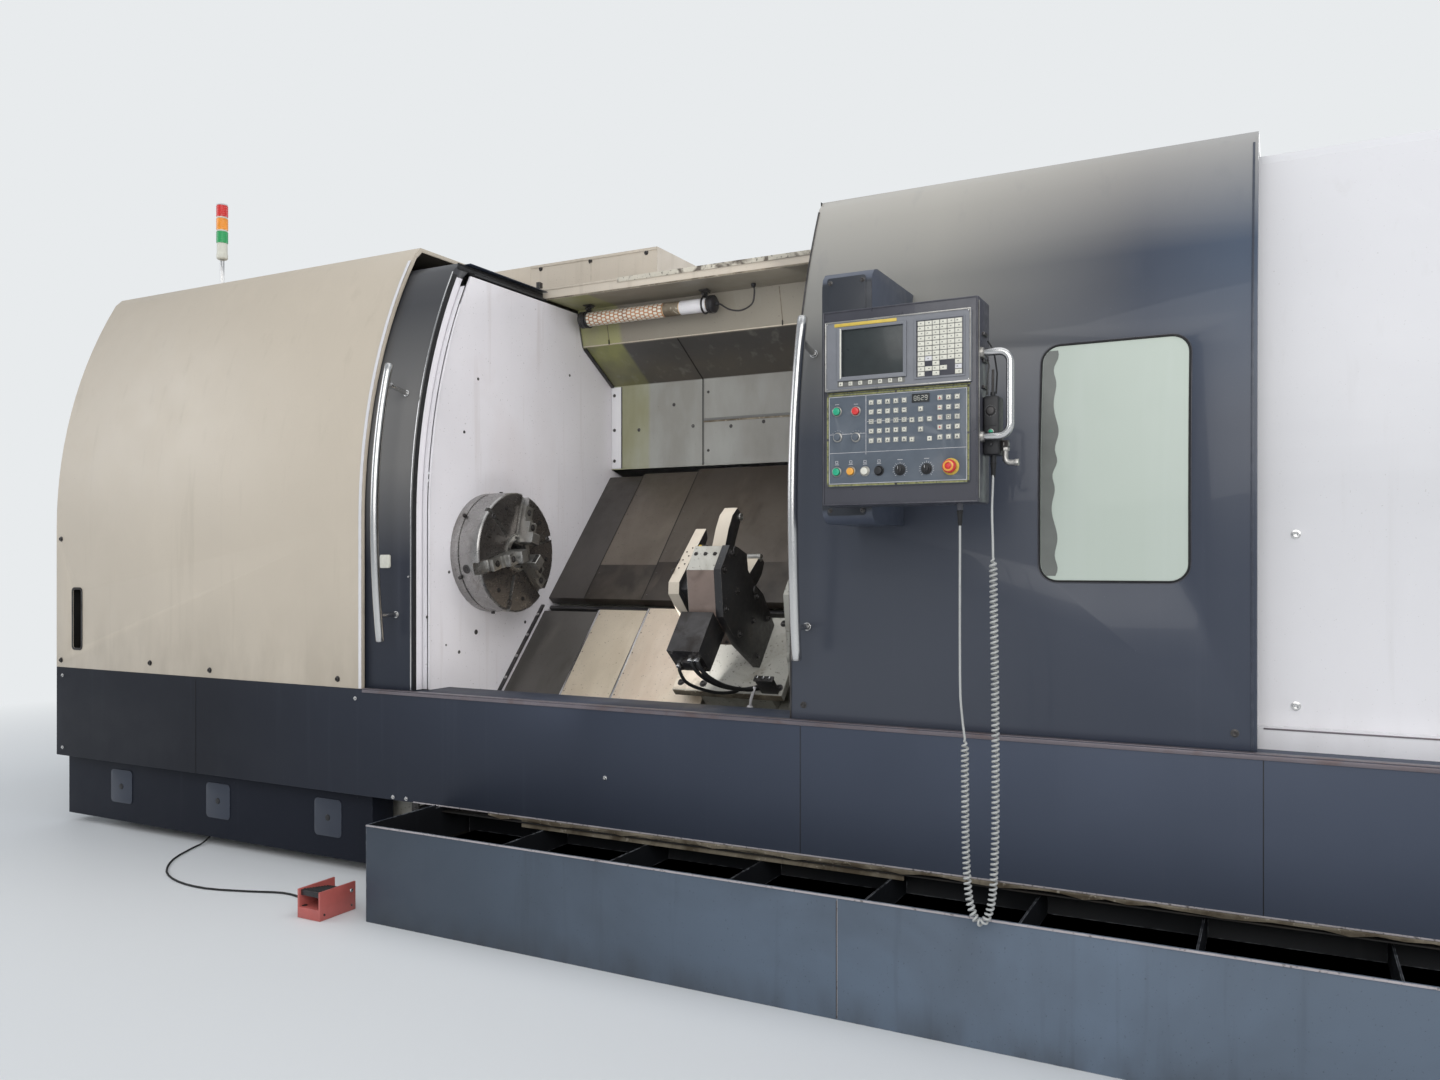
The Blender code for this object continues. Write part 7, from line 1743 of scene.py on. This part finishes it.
def panel_controls(kit):
    """The key switches, the rings round the buttons and the dials' scales."""
    for x, z in map(on_panel, LOCK_SPOTS):
        kit.turn([(0.0102, 0.004), (0.0128, 0.003), (0.0140, 0.0002), (0.0102, 0.0002)], SILVER, (x, z, 0),
                 steps=24)
        kit.patch(about(x, z, 0.0008, 0.0042), (0.0062, 0.0068), RECESS_SHADE)
        for index in range(5):
            angle = math.radians(40 + 25 * index)
            kit.turn(disc(LINE[1], 0.0008, LINE[0]), WHITE,
                     (x + 0.0185 * math.cos(angle), z + 0.0185 * math.sin(angle), 0), steps=8)
    for index, (x, z) in enumerate(map(on_panel, BUTTON_SPOTS)):
        kit.turn([(0.01045, 0.0016), (0.0118, 0.0028), (0.0135, 0.0022), (0.0142, 0.0002), (0.01045, 0.0002)],
                 BLACK if index == 5 else SILVER, (x, z, 0), steps=28)
        kit.patch((x - 0.006, x + 0.006, z + 0.0190, z + 0.0202), INK, WHITE)
        if index > 1:
            hollow_frame(kit, (x - 0.004, x + 0.004, z + 0.0225, z + 0.0300),
                         (x - 0.003, x + 0.003, z + 0.0235, z + 0.0290), INK, WHITE)
    for x, z in map(on_panel, DIAL_SPOTS.values()):
        kit.turn(disc(LINE[1], 0.0140, LINE[0], 0.0152), BLACK, (x, z, 0), steps=32)
        for index in range(17):
            angle = math.radians(-50 + index * 280 / 16)
            near, far, half = 0.0168, 0.0198 if index % 2 else 0.0212, 0.00045
            c, s = math.cos(angle), math.sin(angle)
            kit.prism([(x + near * c - half * s, z + near * s + half * c),
                       (x + near * c + half * s, z + near * s - half * c),
                       (x + far * c + half * s, z + far * s - half * c),
                       (x + far * c - half * s, z + far * s + half * c)], *INK, WHITE)
        kit.patch((x - 0.007, x + 0.007, z + 0.0268, z + 0.0282), INK, WHITE)
    kit.turn([(0.0134, 0.0012), (0.0215, 0.0012), (0.0225, 0.0001), (0.0134, 0.0001)], YELLOW,
             (*on_panel(STOP_SPOT), 0), steps=36)


def operator_panel():
    kit = Kit("operator_panel_details", "pendant", "grey_panel", facing(PANEL_FACE))
    for add in (panel_lines, panel_keys, counter, panel_controls):
        add(kit)
    kit.done(0.0002)
    for name, spot in DIAL_SPOTS.items():
        kit = Kit(name + "_mark", name, "black_plastic", facing(PANEL_FACE))
        x, z = on_panel(spot)
        count = 24
        knurl = [(0.0098 if index % 2 else 0.0091, math.tau * index / count) for index in range(count)]
        kit.prism([(x + reach * math.cos(angle), z + reach * math.sin(angle)) for reach, angle in knurl],
                  0.0086, 0.0172, BLACK)
        kit.patch(about(x, z, 0.0016, 0.009), (0.0173, 0.0208), BLACK)
        kit.patch((x - 0.0005, x + 0.0005, z + 0.001, z + 0.0085), (0.0209, 0.0214), WHITE)
        kit.done(0.0003)
    stop = Kit("emergency_stop_rings", "emergency_stop", "red_button", facing(PANEL_FACE))
    centre = (*on_panel(STOP_SPOT), 0)
    top = PANEL_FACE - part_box("emergency_stop")[0][1]
    stop.turn([(0.0095, top + 0.0012), (0.0125, top + 0.0010), (0.0140, top + 0.0001),
               (0.0090, top + 0.0001)], ORANGE, centre, steps=32)
    stop.turn([(0, top + 0.0016), (0.0050, top + 0.0012), (0.0062, top + 0.0001), (0, top + 0.0001)], RED,
              centre, steps=24)
    stop.done(0.0002)


def box_fittings(kit):
    """The screws, edges and the grip's feet on the pendant's box."""
    kit.frame = facing(-1.208)
    hollow_frame(kit, (0.972, 1.404, 1.460, 1.996), (0.9755, 1.4005, 1.4635, 1.9925), (0.0001, 0.0016),
                 BOX_DARK)
    kit.box((PANEL_LEFT, 1.7667, 0.0001), (PANEL_RIGHT, 1.7705, 0.0030), WORN_EDGE)
    kit.frame = WORLD
    kit.box((BOX_RIGHT + 0.0001, -1.2060, 1.470), (BOX_RIGHT + 0.0012, -1.2010, 1.985), SILVER)
    kit.box((0.985, -1.150, 1.9982), (1.392, -1.100, 2.0004), SCREEN_GREY)
    for x in (1.02, 1.20, 1.37):
        kit.screw((x, -1.125, 2.0004), 0.004)
    for z in (GRIP_LOW, GRIP_TOP):
        kit.turn([(0.0103, 0.010), (0.0135, 0.008), (0.0160, 0.0003), (0.0103, 0.0003)], SILVER,
                 (BOX_RIGHT, front(-0.475), z), (1, 0, 0), 24)


def pulse_fittings(kit):
    """The pulse generator's wheel and buttons, and the clips and wires round it."""
    kit.frame = facing(-1.163)
    kit.prism(rounded(1.410, 1.4435, 1.660, 1.732, 0.004), 0.0001, 0.0012, BLACK)
    wheel_x, wheel_z, level = 1.4266, 1.700, 0.0012
    kit.turn([(0, 0.006), (0.009, 0.006), (0.012, 0.003), (0.0125, 0.0002), (0, 0.0002)], DARK_STEEL,
             (wheel_x, wheel_z, level), steps=24)
    for a, b in circle(20, 0.0145):
        kit.turn(disc(0.0005, 0.0006, 0.0), WHITE, (wheel_x + a, wheel_z + b, level), steps=6)
    kit.turn([(0, 0.0045), (0.003, 0.0045), (0.0055, 0.003), (0.0062, 0.0002), (0, 0.0002)], GREEN,
             (1.427, 1.645, 0.0), steps=20)
    kit.turn([(0.0063, 0.0022), (0.0078, 0.0018), (0.0082, 0.0002), (0.0063, 0.0002)], SILVER,
             (1.427, 1.645, 0.0), steps=20)
    kit.turn([(0, 0.006), (0.0045, 0.005), (0.0055, 0.0002), (0, 0.0002)], BLACK, (1.427, 1.612, 0.0),
             steps=16)
    kit.frame = WORLD
    kit.tube([(1.427, -1.140, 1.742), (1.427, -1.140, 1.775), (1.4275, -1.140, 1.812)], 0.0035, DARK_STEEL,
             10)
    kit.turn(disc(0.012, 0.006, 0.0, 0.007), BLACK, (1.427, -1.140, 1.7405), steps=14)
    kit.tube([(1.438, -1.150, 1.746), (1.441, -1.152, 1.80), (1.433, -1.156, 1.86), (1.418, -1.160, 1.885)],
             0.0022, RUBBER, 8)
    kit.tube([(1.4120, -1.142, 1.746), (1.4130, -1.144, 1.79), (1.4190, -1.146, 1.82),
              (1.4125, -1.147, 1.85)], 0.0018, DARK_STEEL, 8)
    for z in (1.760, 1.830, 1.900):
        kit.box((BOX_RIGHT + 0.0002, -1.170, z), (BOX_RIGHT + 0.006, -1.130, z + 0.008), DARK_STEEL)
    x, y, low = 1.4575, -1.130, 1.565
    elbow = [(x, y, 1.618), (x, y, 1.590), (x, y, 1.577), (1.4610, y, 1.5685), (1.470, y, low),
             (1.492, y, low)]
    kit.tube(smooth_route(elbow, 3), 0.0075, SILVER, 16)
    for z in (1.618, 1.604):
        kit.turn([(0.0078, 0.008), (0.0108, 0.008), (0.0108, 0.0), (0.0078, 0.0)], SILVER, (x, y, z),
                 (0, 0, -1), 6)
    kit.turn([(0.0078, 0.010), (0.0100, 0.010), (0.0100, 0.0), (0.0078, 0.0)], SILVER, (1.482, y, low),
             (1, 0, 0), 6)
    kit.box((1.4475, -1.140, 1.606), (1.4660, -1.120, 1.624), DARK_STEEL)


def rear_plate(kit):
    """The pendant's rear plate with its screws and slots."""
    kit.frame = behind(-1.088)
    kit.prism(rounded(-1.385, -0.991, 1.476, 1.980, 0.01), 0.0002, 0.0022, BOX_DARK)
    kit.screws([(x, z) for x in (-1.375, -1.001) for z in (1.49, 1.728, 1.966)], 0.004, 0.0022)
    for index in range(9):
        z = 1.60 + index * 0.014
        kit.box((-1.33, z, 0.0023), (-1.10, z + 0.004, 0.0045), BOX_DARK)
    kit.frame = WORLD


def pendant_fittings():
    kit = Kit("pendant_fittings", "pendant", "grey_panel")
    for add in (box_fittings, pulse_fittings, rear_plate):
        add(kit)
    boot = [(0.0031, 0.040), (0.0046, 0.040), (0.0060, 0.028), (0.0060, 0.020), (0.0085, 0.0), (0.0031, 0.0)]
    for gland in (GLAND, PULSE_GLAND):
        kit.turn(boot, RUBBER, gland + Vector((0, 0, -0.0004)), (0, 0, -1), 16)
    for index in range(4):
        for gland in (GLAND, PULSE_GLAND):
            kit.turn([(0.0052, 0.0024), (0.0064, 0.0018), (0.0064, 0.0006), (0.0052, 0.0)], RUBBER,
                     gland + Vector((0, 0, -0.030 + index * 0.0050)), (0, 0, -1), 14)
    kit.done(0.0004)


def bracket():
    kit = Kit("bracket_details", "machine", "black_plastic", facing(-1.008))
    kit.prism(rounded(0.905, 1.026, 1.440, 2.145, 0.008), 0.0002, 0.0026, BRACKET)
    kit.screws([(x, z) for x in (0.915, 1.016) for z in (1.455, 1.57, 1.95, 2.13)], 0.005, 0.0026)
    kit.frame = WORLD
    for z, way in ((1.5597, -1), (1.9400, 1)):
        kit.turn(cap(0.012, 0.014, 0.006, 0.017, 0.0002), BRIGHT, (0.992, -1.053, z), (0, 0, way), 20)
    kit.done(0.0006)


for build in (left_housing, right_housing, roof, rear, left_door_trim, right_door_trim, window_film, handles,
              bulkhead_fittings, wall_fittings, cover_details, chuck, steady_rest, tailstock_details,
              turret_tools, turret_head, skirt_details, lower_skirt, tank_details, levelling_feet,
              foot_switch, treadle_pad, cord_reliefs, lamp, tower, screen_unit, operator_panel,
              pendant_fittings, bracket):
    build()


# Room
def plain(name, colour, rough=0.6):
    material = bpy.data.materials.new(name)
    material.use_nodes = True
    shader = material.node_tree.nodes["Principled BSDF"]
    shader.inputs["Base Color"].default_value = (*linear(*colour), 1)
    shader.inputs["Roughness"].default_value = rough
    return material


def slab(name, points, material):
    data = bpy.data.meshes.new(name)
    data.from_pydata(points, [], [(0, 1, 2, 3)])
    data.materials.append(material)
    return placed(name, data)


PALE = (*linear(232, 235, 237), 1)
FLOOR = plain("pale_floor", (222, 224, 226), 0.55)
fade = FLOOR.node_tree
ground = node(fade, "ShaderNodeNewGeometry").outputs["Position"]
reach = node(fade, "ShaderNodeVectorMath", {0: ground}, operation="LENGTH").outputs["Value"]
pale_glow = node(fade, "ShaderNodeEmission", {"Color": PALE})
faded = node(fade, "ShaderNodeMixShader")
fade.links.new(span(fade, reach, 4.5, 8.5), faded.inputs["Fac"])
fade.links.new(fade.nodes["Principled BSDF"].outputs["BSDF"], faded.inputs[1])
fade.links.new(pale_glow.outputs["Emission"], faded.inputs[2])
fade.links.new(faded.outputs["Shader"], fade.nodes["Material Output"].inputs["Surface"])
floor = slab("floor", [(-14, -12, -0.0005), (14, -12, -0.0005), (14, 14, -0.0005), (-14, 14, -0.0005)], FLOOR)


def area(name, place, target, width, height, power, colour=(1, 1, 1), spread=180):
    data = bpy.data.lights.new(name, "AREA")
    data.shape = "RECTANGLE"
    data.size, data.size_y = width, height
    data.energy, data.color = power, colour
    data.spread = math.radians(spread)
    thing = placed(name, data)
    thing.location = place
    thing.rotation_euler = (Vector(target) - Vector(place)).to_track_quat("-Z", "Y").to_euler()
    return thing


area("key_light", (3.4, -6.8, 4.4), (0.0, 0.0, 1.2), 8.0, 5.0, 310, (1.0, 0.99, 0.97))
area("left_light", (-6.5, -3.5, 3.6), (0.0, 0.0, 1.2), 4.0, 3.0, 70, (0.97, 0.98, 1.0))
area("top_light", (0.0, -0.5, 7.0), (0.0, 0.2, 1.0), 9.0, 6.0, 150, (0.98, 0.99, 1.0))
area("rear_light", (3.0, 7.0, 4.5), (0.0, 0.5, 1.2), 6.0, 3.0, 150)
inside = area("inside_light", (0.15, -0.45, 2.25), (-0.9, 0.1, 1.4), 1.3, 0.7, 7.5, (1.0, 0.99, 0.98))
low = area("low_inside_light", (-0.05, -0.64, 1.00), (-1.0, -0.15, 1.15), 0.9, 0.3, 3.0, (1.0, 0.99, 0.98))
for lamp_inside in (inside, low):
    lamp_inside.visible_camera = False
    lamp_inside.visible_glossy = False

world = bpy.data.worlds.new("world")
bpy.context.scene.world = world
world.use_nodes = True
tree = world.node_tree
back = tree.nodes["Background"]
path = node(tree, "ShaderNodeLightPath")
pale = node(tree, "ShaderNodeBackground", {"Color": PALE})
back.inputs["Color"].default_value = (*linear(206, 212, 218), 1)
back.inputs["Strength"].default_value = 0.68
mix = node(tree, "ShaderNodeMixShader", {
    "Fac": path.outputs["Is Camera Ray"], 1: back.outputs["Background"], 2: pale.outputs["Background"]})
tree.links.new(mix.outputs["Shader"], tree.nodes["World Output"].inputs["Surface"])
